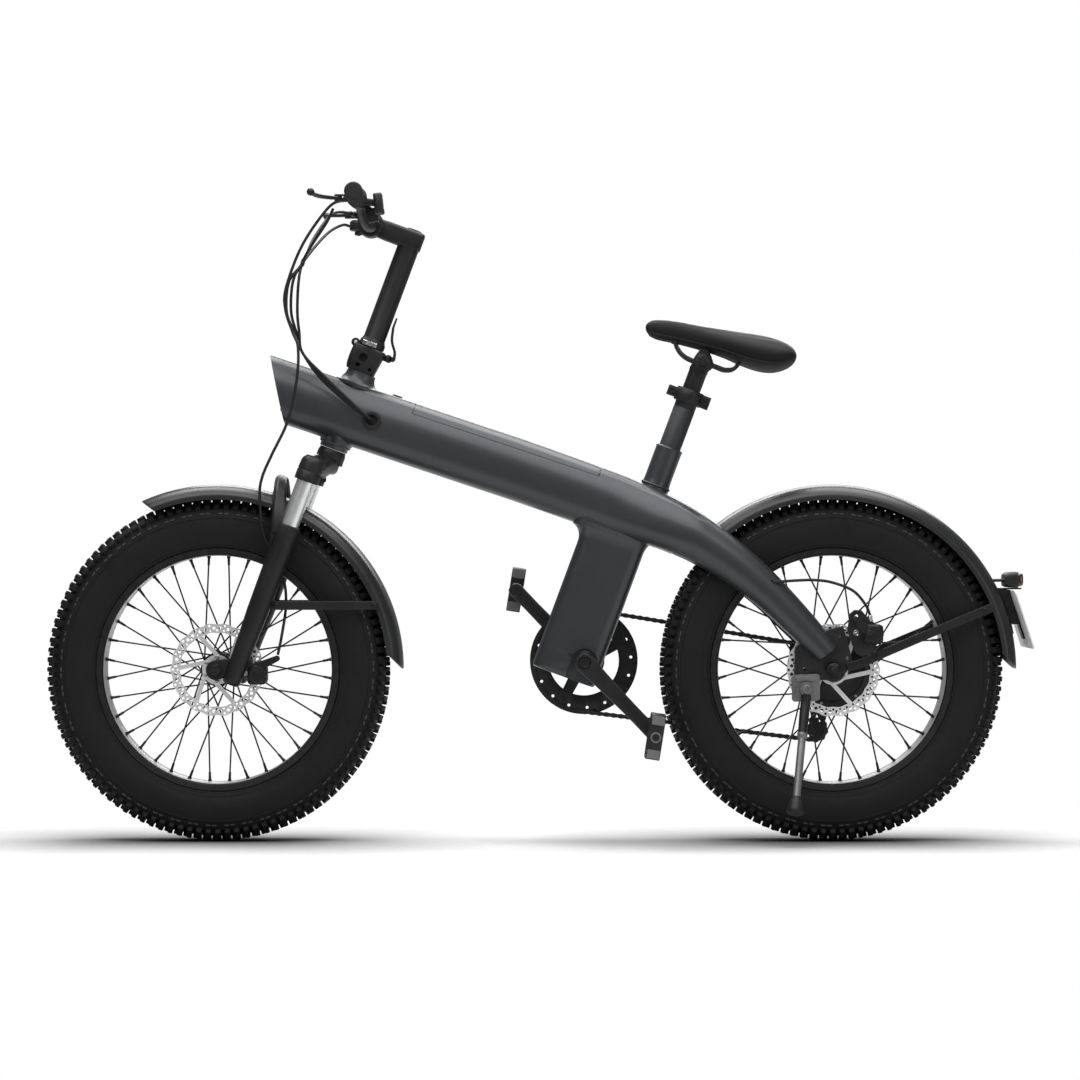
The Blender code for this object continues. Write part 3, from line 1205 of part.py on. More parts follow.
def freewheel():
    """The sprocket cluster on the motor's threaded end."""
    inner = MOTOR_HALF_WIDTH + 0.006 + SEAT
    bore = bore_radius(REAR_AXLE_RADIUS, ROUND)
    core = 0.0190
    profile = [(bore, inner), (core, inner), (core, CHAIN_LINE - 0.0064), (0.0415, CHAIN_LINE - 0.0064),
               (0.0415, CHAIN_LINE - 0.0046), (core, CHAIN_LINE - 0.0046), (core, CHAIN_LINE + 0.0046),
               (0.0290, CHAIN_LINE + 0.0046), (0.0290, CHAIN_LINE + 0.0064), (core, CHAIN_LINE + 0.0075),
               (bore, CHAIN_LINE + 0.0075)]
    cluster = turned(profile, REAR_AXLE, Y_AXIS, ROUND, loop=True)
    hole = [ring_points(REAR_AXLE.x, REAR_AXLE.z, 0.0170, SMALL)]
    return unite(cluster, toothed_disc(REAR_AXLE, SPROCKET_TEETH, hole))


JOCKEYS = {"upper": Vector((JOCKEY_UPPER_X, 0.0, JOCKEY_UPPER_Z)),
           "lower": Vector((JOCKEY_LOWER_X, 0.0, JOCKEY_LOWER_Z))}


def jockey(name):
    """One guide wheel of the derailleur."""
    centre = JOCKEYS[name]
    hole = ring_points(centre.x, centre.z, bore_radius(JOCKEY_PIN_RADIUS, SMALL), SMALL)
    return toothed_disc(centre, JOCKEY_TEETH, [hole])


def derailleur():
    """The cage round the guide wheels, with their pins, and the arm up to the dropout."""
    upper, lower = JOCKEYS["upper"], JOCKEYS["lower"]
    outline = capsule(tuple(upper.xz), tuple(lower.xz), 0.0140, 0.0120)
    cage = [plate(outline, CHAIN_LINE + low, CHAIN_LINE + high)
            for low, high in ((-0.0063, -0.0048), (0.0048, 0.0063))]
    pins = [rod(centre + Y_AXIS * (CHAIN_LINE - 0.0058), centre + Y_AXIS * (CHAIN_LINE + 0.0058),
                JOCKEY_PIN_RADIUS, SMALL) for centre in (upper, lower)]
    face = STAY_INNER_REAR
    boss = rod(upper + Y_AXIS * (CHAIN_LINE + 0.0055), upper + Y_AXIS * (face + 0.004), 0.0105, SMALL)
    arm = plate(capsule((REAR_AXLE.x - 0.008, REAR_AXLE.z - 0.0200), tuple(upper.xz), 0.0080, 0.0125),
                face, face + 0.0070)
    return unite(cage[0], cage[1], *pins, boss, arm)


def chain_route():
    """The closed line of the chain's pins, and its two free runs."""
    wheels = [(BRACKET, pitch_radius(CHAINRING_TEETH), -1.0, 12),
              (REAR_AXLE, pitch_radius(SPROCKET_TEETH), -1.0, 7),
              (JOCKEYS["upper"], pitch_radius(JOCKEY_TEETH), 1.0, 4),
              (JOCKEYS["lower"], pitch_radius(JOCKEY_TEETH), -1.0, 5)]
    leave, arrive = [], []
    for i, (centre, radius, sign, _) in enumerate(wheels):
        far, far_radius, far_sign, _ = wheels[(i + 1) % len(wheels)]
        run = far - centre
        heading = math.atan2(run.z, run.x) - math.asin((far_sign * far_radius - sign * radius) / run.length)
        normal = Vector((-math.sin(heading), 0.0, math.cos(heading)))
        leave.append(centre - normal * sign * radius)
        arrive.append(far - normal * far_sign * far_radius)
    points = []
    for i, (centre, radius, sign, count) in enumerate(wheels):
        first, last = arrive[i - 1] - centre, leave[i] - centre
        start, end = math.atan2(first.z, first.x), math.atan2(last.z, last.x)
        span = (end - start) * sign % (2.0 * math.pi)
        for k in range(count + 1):
            angle = start + sign * span * k / count
            points.append(centre + Vector((radius * math.cos(angle), 0.0, radius * math.sin(angle))))
    return points, [(leave[0], arrive[0]), (leave[3], arrive[3])]


def chain():
    """The chain: two rows of side plates joined by pins on the free runs."""
    points, runs = chain_route()
    inner, outer = [], []
    for i, point in enumerate(points):
        run = (points[(i + 1) % len(points)] - points[i - 1]).normalized()
        normal = Vector((-run.z, 0.0, run.x)) * CHAIN_HALF_HEIGHT
        outer.append(tuple((point + normal).xz))
        inner.append(tuple((point - normal).xz))
    rows = [plate(outer, CHAIN_LINE + low, CHAIN_LINE + high, [inner])
            for low, high in ((-CHAIN_PLATE_OUTER, -CHAIN_PLATE_INNER),
                              (CHAIN_PLATE_INNER, CHAIN_PLATE_OUTER))]
    pins = []
    for k, (start, end) in enumerate(runs):
        near, far = (0.040, 0.028) if k == 0 else (0.024, 0.040)
        run = (end - start).normalized()
        length = (end - start).length - near - far
        for i in range(4):
            place = start + run * (near + length * i / 3.0) + Y_AXIS * CHAIN_LINE
            pins.append(rod(place - Y_AXIS * 0.0026, place + Y_AXIS * 0.0026, 0.0022, 4))
    return unite(rows[0], rows[1], *pins)


def pedal_axle(side):
    """Where a pedal turns: at the end of its crank."""
    angle = CRANK_ANGLE if side < 0 else CRANK_ANGLE + math.pi
    return BRACKET + Vector((math.cos(angle), 0.0, math.sin(angle))) * CRANK_LENGTH


def crank_arm(side):
    """One arm with its boss on the spindle and the pedal's pin."""
    end = pedal_axle(side)
    low, high = sorted((side * CRANK_INNER, side * (CRANK_INNER + CRANK_THICKNESS)))
    arm = plate(capsule(tuple(BRACKET.xz), tuple(end.xz), 0.0165, 0.0120), low, high)
    start = BRACKET_CUP_HALF + SEAT
    boss = rod(BRACKET + Y_AXIS * side * start, BRACKET + Y_AXIS * side * (CRANK_INNER + 0.004),
               CRANK_BOSS_RADIUS, ROUND)
    collar = rod(end + Y_AXIS * side * (CRANK_INNER + 0.002), end + Y_AXIS * side * (PEDAL_INNER - SEAT),
                 PEDAL_PIN_RADIUS + 0.0025, SMALL)
    pin = rod(end + Y_AXIS * side * (CRANK_INNER + 0.004),
              end + Y_AXIS * side * (PEDAL_INNER + PEDAL_WIDTH - 0.008),
              PEDAL_PIN_RADIUS, SMALL)
    return unite(arm, boss, collar, pin)


def crank_left():
    """The left arm, bored for the spindle's end."""
    bore = rod(BRACKET + Y_AXIS * -0.040, BRACKET + Y_AXIS * -(CRANK_INNER + 0.0100 + SEAT),
               SPINDLE_RADIUS + SEAT, ROUND)
    return cut(crank_arm(-1.0), bore)


def crank_right():
    """The right arm with the spindle."""
    spindle = rod(BRACKET + Y_AXIS * -(CRANK_INNER + 0.0100), BRACKET + Y_AXIS * (CRANK_INNER + 0.005),
                  SPINDLE_RADIUS, ROUND)
    return unite(crank_arm(1.0), spindle)


def pedal(side):
    """A platform pedal: a border, a bridge and a bearing tube round the pin."""
    first, last = PEDAL_INNER, PEDAL_INNER + PEDAL_WIDTH
    border = rounded(PEDAL_BORDER, PEDAL_HEIGHT, 0.0040, 1)
    reach, middle = (PEDAL_LENGTH - PEDAL_BORDER) / 2.0, (first + last) / 2.0
    wide = (PEDAL_WIDTH - PEDAL_BORDER) / 2.0
    rings = []
    for end, edge in ((-1.0, -1.0), (1.0, -1.0), (1.0, 1.0), (-1.0, 1.0)):
        rings.append([Vector((end * (reach + across_), middle + edge * (wide + across_), rise))
                      for across_, rise in border])
    bridge = block((-reach, first + 0.030, -0.004), (reach, last - 0.030, 0.004))
    tube = rod(Y_AXIS * (first + 0.0005), Y_AXIS * (last - 0.0005), PEDAL_PIN_RADIUS + 0.0045, SMALL)
    parts = [loft(rings, loop=True), bridge, tube]
    bore = rod(Y_AXIS * (first - 0.020), Y_AXIS * (last - 0.008 + SEAT),
               bore_radius(PEDAL_PIN_RADIUS, SMALL), SMALL)
    mesh = cut(unite(*parts), bore)
    if side < 0:
        mesh = mirrored(mesh)
    mesh.transform(Matrix.Translation(pedal_axle(side)) @ Matrix.Rotation(-PEDAL_LEAN, 4, Y_AXIS))
    return mesh


# Seat

def seat_mid_post():
    """The wide seat tube, bored for the upper post, with its clamp at the top."""
    tube = turned([(MID_POST_RADIUS, -MID_POST_INSERT), (MID_POST_RADIUS, MID_POST_TOP)], SLEEVE_TOP,
                  SEAT_UP, ROUND)
    collar = turned([(MID_POST_RADIUS + 0.0050, MID_POST_TOP - 0.0240),
                     (MID_POST_RADIUS + 0.0050, MID_POST_TOP)],
                    SLEEVE_TOP, SEAT_UP, ROUND)
    ears = []
    for reach, height in ((0.0390, 0.0110), (-0.0380, 0.0140)):
        ears.append(swept([seat_point(0.010 * math.copysign(1.0, reach), 0.0, MID_POST_TOP - 0.012),
                           seat_point(reach, 0.0, MID_POST_TOP - 0.012)], rounded(0.016, height, 0.0030, 1)))
    bore = turned([(UPPER_POST_RADIUS + RUNNING, -0.075),
                   (UPPER_POST_RADIUS + RUNNING, MID_POST_TOP + 0.010)],
                  SLEEVE_TOP, SEAT_UP, ROUND)
    return cut(unite(tube, collar, *ears), bore)


def rail_path(side):
    """One saddle rail: from under the nose, down to the post's head and up at the rear."""
    spread = 0.020
    route = ((0.2370, 0.4, 0.8680), (0.2400, 0.5, 0.8520), (0.2510, 0.8, 0.8370), (0.2710, 1.0, 0.8265),
             (0.3030, 1.1, 0.8190), (0.3230, 1.2, 0.8120), (0.3400, 1.3, 0.8150), (0.3520, 1.4, 0.8320))
    return [Vector((x, side * spread * wide, z)) for x, wide, z in route]


def rails(radius):
    """Both rails as bars of one radius."""
    return [swept(rail_path(side), circle(radius, 6)) for side in (-1.0, 1.0)]


def seat_upper_post():
    """The upper post with its head and the saddle's rails."""
    post = turned([(UPPER_POST_RADIUS, MID_POST_TOP - UPPER_POST_INSERT),
                   (UPPER_POST_RADIUS, UPPER_POST_TOP - 0.012)],
                  SLEEVE_TOP, SEAT_UP, ROUND)
    head = rod(seat_point(-0.002, -0.033, UPPER_POST_TOP - 0.0080),
               seat_point(-0.002, 0.033, UPPER_POST_TOP - 0.0080),
               0.0150, SMALL)
    return unite(post, head, *rails(RAIL_RADIUS))


# The saddle's side view and half width, from nose to tail: x, top, bottom, half width
SADDLE_STATIONS = (
    (0.1860, 0.8900, 0.8820, 0.009), (0.1920, 0.8965, 0.8730, 0.017), (0.2060, 0.8998, 0.8660, 0.020),
    (0.2400, 0.8970, 0.8580, 0.023), (0.2850, 0.8872, 0.8460, 0.032),
    (0.3200, 0.8806, 0.8350, 0.046), (0.3500, 0.8755, 0.8230, 0.064), (0.3800, 0.8705, 0.8135, 0.080),
    (0.4050, 0.8655, 0.8110, SADDLE_HALF_WIDTH), (0.4250, 0.8590, 0.8150, 0.085), (0.4380, 0.8510, 0.8210,
                                                                                   0.074),
    (0.4450, 0.8400, 0.8290, 0.052),
)


def saddle():
    """A crowned cushion: its sides draw in below the seam, and a shallow channel runs along its middle."""
    rings = []
    for x, top, low, half in SADDLE_STATIONS:
        deep = top - low
        channel = 0.06 * deep * min(1.0, half / 0.04)
        outline = [(0.0, top - channel), (0.26 * half, top), (0.68 * half, top - 0.08 * deep),
                   (0.93 * half, top - 0.30 * deep), (half, top - 0.54 * deep), (0.88 * half,
                                                                                 top - 0.78 * deep),
                   (0.52 * half, low + 0.04 * deep), (0.0, low)]
        right = [Vector((x, side, z)) for side, z in outline]
        left = [Vector((x, -side, z)) for side, z in reversed(outline[1:-1])]
        rings.append(right + left)
    return cut(loft(rings), *rails(RAIL_RADIUS + SEAT))


# Fenders and tail

def fender(centre, start):
    """A guard over a tyre: a shell with a skirt on each side, from its front end to the rear axle level."""
    skirt, crown, half = FENDER_SKIRT_RADIUS, FENDER_RADIUS, FENDER_HALF_WIDTH
    outer = [(skirt, half), (crown - 0.007, 0.86 * half), (crown, 0.40 * half)]
    wall = FENDER_WALL
    inner = [(skirt, half - wall), (crown - 0.007 - wall, 0.84 * half), (crown - wall, 0.38 * half)]
    profile = ([(radius, -side) for radius, side in outer] + outer[::-1]
               + inner + [(radius, -side) for radius, side in inner[::-1]])
    count = max(4, round(start / FENDER_STEP))
    rings = []
    for i in range(count + 1):
        angle = start * i / count
        rings.append([centre + Vector((radius * math.cos(angle), side, radius * math.sin(angle)))
                      for radius, side in profile])
    return loft(rings)


def stay_strip(start, end, side):
    """A flat strip from the wheel's axle region to the fender's skirt."""
    return swept([start, end], rounded(0.0030, 0.0150, 0.0008, 1), Y_AXIS * side)


def arc_block(centre, first, last, low, high, half):
    """A block round an axle, between two angles in degrees and two radii."""
    outline = []
    for radius, order in ((low, (0, 1, 2)), (high, (2, 1, 0))):
        for k in order:
            angle = math.radians(first + (last - first) * k / 2.0)
            outline.append((centre.x + radius * math.cos(angle), centre.z + radius * math.sin(angle)))
    return plate(outline, -half, half)


def leg_room():
    """The lower legs, a seat's clearance wider, for what rests against them."""
    return [turned(leg_profile(SEAT), steer(LEG_FORWARD, side * FORK_HALF_WIDTH, 0.0), STEER_UP, ROUND)
            for side in (-1.0, 1.0)]


def front_fender():
    """The front guard with its strips to the legs and its boss under the arch."""
    height = FRONT_AXLE.z + 0.1105
    leg_x = steer(LEG_FORWARD, 0.0, 0.0).x - (LOWER_RACE.z - height) * math.tan(STEER_TILT)
    strips = [stay_strip(Vector((leg_x, side * (FORK_HALF_WIDTH - 0.004), height)),
                         Vector((FRONT_AXLE.x + 0.2780, side * (FENDER_HALF_WIDTH - 0.001), height)), side)
              for side in (-1.0, 1.0)]
    arch_up = LOWERS_TOP - 0.012 + ARCH_RISE
    boss = rod(steer(LEG_FORWARD + 0.014 + ARCH_REACH, 0.0, arch_up - 0.0400),
               steer(LEG_FORWARD + 0.014 + ARCH_REACH, 0.0, arch_up - 0.0110 - SEAT), 0.0080, SMALL)
    return cut(unite(fender(FRONT_AXLE, FRONT_FENDER_START), boss, *strips), *leg_room())


def rear_fender():
    """The rear guard with its boss at the crotch, its strips and the plate's bracket."""
    first = math.degrees(REAR_FENDER_START) - 5.0
    reach = CROTCH_RADIUS * math.cos(math.radians(CROTCH_STEP / 2.0)) - SEAT
    boss = arc_block(REAR_AXLE, first, first + 4.0, FENDER_RADIUS - 0.0015, reach, 0.0160)
    face = STAY_INNER_REAR
    strips = []
    for side in (-1.0, 1.0):
        start = Vector((REAR_AXLE.x + 0.0225, side * (face + 0.0015), REAR_AXLE.z + 0.0050))
        bend = Vector((REAR_AXLE.x + 0.0700, side * (face + 0.0005), REAR_AXLE.z + 0.0225))
        end = Vector((REAR_AXLE.x + 0.2750, side * (FENDER_HALF_WIDTH + 0.0005), REAR_AXLE.z + 0.1080))
        strips += [swept([start, bend, end], rounded(0.0030, 0.0150, 0.0008, 1), Y_AXIS * side)]
    down = Vector((math.sin(PLATE_TILT), 0.0, -math.cos(PLATE_TILT)))
    back = Vector((math.cos(PLATE_TILT), 0.0, math.sin(PLATE_TILT)))
    top = Vector((PLATE_TOP_X, 0.0, PLATE_TOP_Z)) - back * (PLATE_THICKNESS + SEAT)
    low = top + down * (PLATE_LENGTH - 0.010)
    shelf = PLATE_TOP_Z + 0.0040
    outline = [(top.x - 0.0220, shelf), (top.x + 0.0100, shelf), (top.x + 0.0100, shelf - 0.0025),
               (top.x, shelf - 0.0025), (top.x, top.z), (low.x, low.z), (low.x - 0.0240, low.z + 0.0080),
               (top.x - 0.0280, top.z - 0.0200)]
    bracket = plate(outline, -0.0200, 0.0200)
    return unite(fender(REAR_AXLE, REAR_FENDER_START), boss, bracket, *strips)


def number_plate():
    """The bare plate behind the rear wheel."""
    turn = Matrix.Translation(Vector((PLATE_TOP_X, 0.0, PLATE_TOP_Z))) @ Matrix.Rotation(-PLATE_TILT, 4,
                                                                                         Y_AXIS)
    return block((-PLATE_THICKNESS, -PLATE_HALF_WIDTH, -PLATE_LENGTH), (0.0, PLATE_HALF_WIDTH, 0.0), turn)


def tail_light():
    """The lamp on the bracket's shelf."""
    low = PLATE_TOP_Z + 0.0040 + SEAT
    middle = Vector((PLATE_TOP_X - 0.0020, 0.0, low + 0.0135))
    return swept([middle - Vector((0.0120, 0.0, 0.0)), middle + Vector((0.0200, 0.0, 0.0))],
                 rounded(0.0700, 0.0270, 0.0060, 3))


# Kickstand and brakes

def kickstand_bracket():
    """The plate bolted to the left dropout, with the pin that the leg turns on."""
    outline = [(0.4340, 0.2430), (0.4560, 0.2400), (0.4800, 0.2460), (0.4820, 0.2890), (0.4360, 0.2900)]
    face = -STAY_INNER_REAR
    base = plate(outline, face - 0.0070, face)
    pivot = Vector((KICK_PIVOT_X, 0.0, KICK_PIVOT_Z))
    boss = rod(pivot + Y_AXIS * (face - 0.0050), pivot + Y_AXIS * (face - 0.0110), 0.0120, ROUND)
    pin = rod(pivot + Y_AXIS * (face - 0.0100), pivot + Y_AXIS * (face - 0.0270), 0.0045, SMALL)
    return unite(base, boss, pin)


def kickstand_leg():
    """The swinging leg: a bored eye, a splayed rod and a flared foot."""
    face = -STAY_INNER_REAR
    pivot = Vector((KICK_PIVOT_X, 0.0, KICK_PIVOT_Z))
    eye = rod(pivot + Y_AXIS * (face - 0.0110 - SEAT), pivot + Y_AXIS * (face - 0.0250), 0.0115, ROUND)
    room = rod(pivot + Y_AXIS * face, pivot + Y_AXIS * (face - 0.0110 - SEAT), 0.0300, ROUND)
    start = pivot + Y_AXIS * (face - 0.0180)
    foot = Vector((KICK_FOOT_X, KICK_FOOT_Y, KICK_FOOT_Z))
    knee = start + Vector((-0.0040, -0.0080, -0.0400))
    path = [start, knee, foot + (knee - foot) * 0.14, foot + (knee - foot) * 0.02, foot]
    sizes = (KICK_LEG_RADIUS + 0.0020, KICK_LEG_RADIUS + 0.0020, KICK_LEG_RADIUS, 0.0130, 0.0150)
    leg = swept(path, lambda i: circle(sizes[i], SMALL))
    bore = rod(pivot + Y_AXIS * (face - 0.0050), pivot + Y_AXIS * (face - 0.0400),
               bore_radius(0.0045, SMALL), SMALL)
    return cut(unite(eye, leg), bore, room)


def caliper(centre, axle, rotor_y, pivot, adapter, room=()):
    """A brake body straddling the disc, with its adapter, the arm's drum and pin."""
    half = CALIPER_LENGTH / 2.0
    body_ = swept([centre - Vector((0.0, 0.0, half)), centre + Vector((0.0, 0.0, half))],
                  rounded(CALIPER_WIDTH, CALIPER_DEPTH, 0.0080, 2))
    gap = ROTOR_THICKNESS / 2.0 + 0.0012
    slot = rod(axle + Y_AXIS * (rotor_y - gap), axle + Y_AXIS * (rotor_y + gap),
               bore_radius(ROTOR_RADIUS + 0.0010, ROUND), ROUND)
    outer = centre.y - CALIPER_WIDTH / 2.0
    drum = rod(Vector((pivot.x, outer + 0.006, pivot.z)), pivot, 0.0115, SMALL)
    pin = rod(pivot + Y_AXIS * 0.001, pivot - Y_AXIS * 0.0060, CALIPER_PIN_RADIUS, SMALL)
    return unite(cut(unite(body_, adapter), slot, *room), drum, pin)


def caliper_arm(pivot, end):
    """The arm that the brake's cable pulls."""
    blade = plate(capsule(tuple(pivot.xz), tuple(end.xz), 0.0085, 0.0050), pivot.y - 0.0048, pivot.y - SEAT)
    bore = rod(pivot + Y_AXIS * 0.020, pivot - Y_AXIS * 0.020, bore_radius(CALIPER_PIN_RADIUS, SMALL), SMALL)
    return cut(blade, bore)


def front_caliper():
    """The front brake body, against the back of the left lower leg."""
    centre = FRONT_AXLE + Vector((0.0704, -0.0555, -0.0078))
    tab = unite(block((centre.x - 0.036, -FORK_HALF_WIDTH, centre.z - 0.012),
                      (centre.x - 0.0165, -0.0665, centre.z + 0.012)),
                block((centre.x - 0.035, -0.0735, centre.z - 0.011), (centre.x, -0.0600, centre.z + 0.011)))
    return caliper(centre, FRONT_AXLE, -FRONT_ROTOR_Y, FRONT_ARM_PIVOT, tab, leg_room())


def rear_caliper():
    """The rear brake body, on an adapter against the left dropout."""
    centre = REAR_AXLE + Vector((0.0672, -0.0715, 0.0617))
    face = -STAY_INNER_REAR
    tab = plate(capsule((REAR_AXLE.x + 0.0205, REAR_AXLE.z + 0.0440), (centre.x - 0.004, centre.z - 0.006),
                        0.0100, 0.0120),
                face - 0.0050, face)
    return caliper(centre, REAR_AXLE, -REAR_ROTOR_Y, REAR_ARM_PIVOT, tab)


# Cables

def smooth(route, spacing):
    """Points on a smooth curve through a route, about one spacing apart."""
    points = []
    for i in range(len(route) - 1):
        before = route[i - 1] if i else route[0] * 2.0 - route[1]
        after = route[i + 2] if i + 2 < len(route) else route[-1] * 2.0 - route[-2]
        start, end = route[i], route[i + 1]
        count = max(1, round((end - start).length / spacing))
        for k in range(count):
            t = k / count
            points.append(0.5 * (2.0 * start + (end - before) * t
                                 + (2.0 * before - 5.0 * start + 4.0 * end - after) * t * t
                                 + (3.0 * start - before - 3.0 * end + after) * t * t * t))
    points.append(route[-1])
    return points


def cable(route, radius=0.0025, sides=5):
    """A round cable along a route."""
    return tube_mesh(smooth([Vector(point) for point in route], CABLE_SPACING), radius, sides)


def tube_mesh(points, radius, sides):
    """A round tube whose section doesn't twist along its path."""
    rings = []
    lateral = Y_AXIS.copy()
    for i, point in enumerate(points):
        run = (points[min(i + 1, len(points) - 1)] - points[max(i - 1, 0)]).normalized()
        lateral = (lateral - run * lateral.dot(run)).normalized()
        rise = run.cross(lateral)
        rings.append([point + lateral * a + rise * b for a, b in circle(radius, sides)])
    return loft(rings)


def front_brake_cable():
    """The cable from the left lever down the fork to the front brake's arm."""
    start = bar_end(-1.0, PERCH_Y) + Vector((-0.0224, 0.0270, 0.0))
    route = [start, start + Vector((-0.0040, 0.0200, 0.0)), (-0.356, -0.118, 1.0830),
             (-0.400, -0.116, 1.0200),
             (-0.428, -0.1150, 0.947), (-0.429, -0.110, 0.909), (-0.417, -0.100, 0.872), (-0.407, -0.095,
                                                                                          0.845),
             (-0.409, -0.088, 0.790), (-0.4256, -0.082, 0.7206), (-0.454, -0.080, 0.6636), (-0.471, -0.078,
                                                                                            0.6255),
             (-0.4755, -0.076, 0.5927), (-0.470, -0.066, 0.534), (-0.452, -0.0562, 0.492), (-0.435, -0.056,
                                                                                            0.4476),
             (-0.4317, -0.060, 0.404), (-0.4386, -0.070, 0.3520), (-0.4444, -0.0769, 0.3222)]
    return cable(route)


def rear_brake_cable():
    """The cable from the left stay to the rear brake."""
    route = [(0.4010, -0.0870, 0.4470), (0.4200, -0.0870, 0.4478), (0.4400, -0.0870, 0.4492),
             (0.4720, -0.0870, 0.4500),
             (0.5030, -0.0870, 0.4458), (0.5378, -0.0870, 0.4320), (0.5585, -0.0850, 0.4095),
             (0.5670, -0.0800, 0.3920), (0.5690, -0.0780, 0.3828)]
    return cable(route)


def control_cables():
    """Three cables from the handlebar, tied twice and led through the rubber plug in the beam's port."""
    shared = ((-0.4250, -0.0860, 0.9600), (-0.4290, -0.0880, 0.9090), (-0.4160, -0.0800, 0.8726),
              (-0.4020, -0.0730, 0.8380), (-0.3730, -0.0660, 0.7966), (-0.3260, -0.0620, 0.7530),
              (-0.2960, -0.0560, 0.7305), (-0.2850, -0.0440, 0.7240))
    right = bar_end(1.0, PERCH_Y) + Vector((-0.0224, -0.0270, 0.0))
    knot = Vector((-0.4020, -0.0710, 0.9930))
    starts = (
        (right, right + Vector((-0.0050, -0.0200, 0.0)), (-0.3600, 0.0850, 1.0880),
         (-0.3880, 0.0100, 1.0400), knot + Vector((0.0, 0.0058, 0.0))),
        ((-0.3300, 0.1210, 1.0700), (-0.3420, 0.1000, 1.0650), (-0.3700, 0.0300, 1.0320), knot),
        ((-0.3460, -0.1490, 1.0790), (-0.3580, -0.1380, 1.0560), (-0.3850, -0.1040, 1.0200),
         knot - Vector((0.0, 0.0058, 0.0))),
    )
    fan = (0.0, 0.0080, 0.0190)
    spread = (0.90, 1.0, 0.46, 0.0, 0.40, 0.35, 0.10, 0.0)
    tubes = []
    for k, start in enumerate(starts):
        line = list(start)
        for i, point in enumerate(shared):
            line.append(Vector(point) + Vector((fan[k] * spread[i], (1 - k) * 0.0058 * max(0.4, 1.0 - i * 0.09),
                                                fan[k] * spread[i] * (0.3 if i > 3 else 0.0))))
        tubes.append(cable(line))
    ties = []
    for low, high in (((-0.4008, -0.0695, 0.9966), (-0.4034, -0.0727, 0.9892)),
                      ((-0.4110, -0.0778, 0.8600), (-0.4075, -0.0760, 0.8520))):
        ties.append(swept([Vector(low), Vector(high)], rounded(0.0180, 0.0070, 0.0020, 1)))
    port = port_centre()
    plug = rod(port + Y_AXIS * 0.0120, port - Y_AXIS * 0.0015, PORT_RADIUS, SMALL)
    lip = rod(port - Y_AXIS * SEAT, port - Y_AXIS * 0.0030, PORT_RADIUS + 0.0040, SMALL,
              PORT_RADIUS + 0.0025)
    return unite(plug, lip, *tubes, *ties)


# Assembly

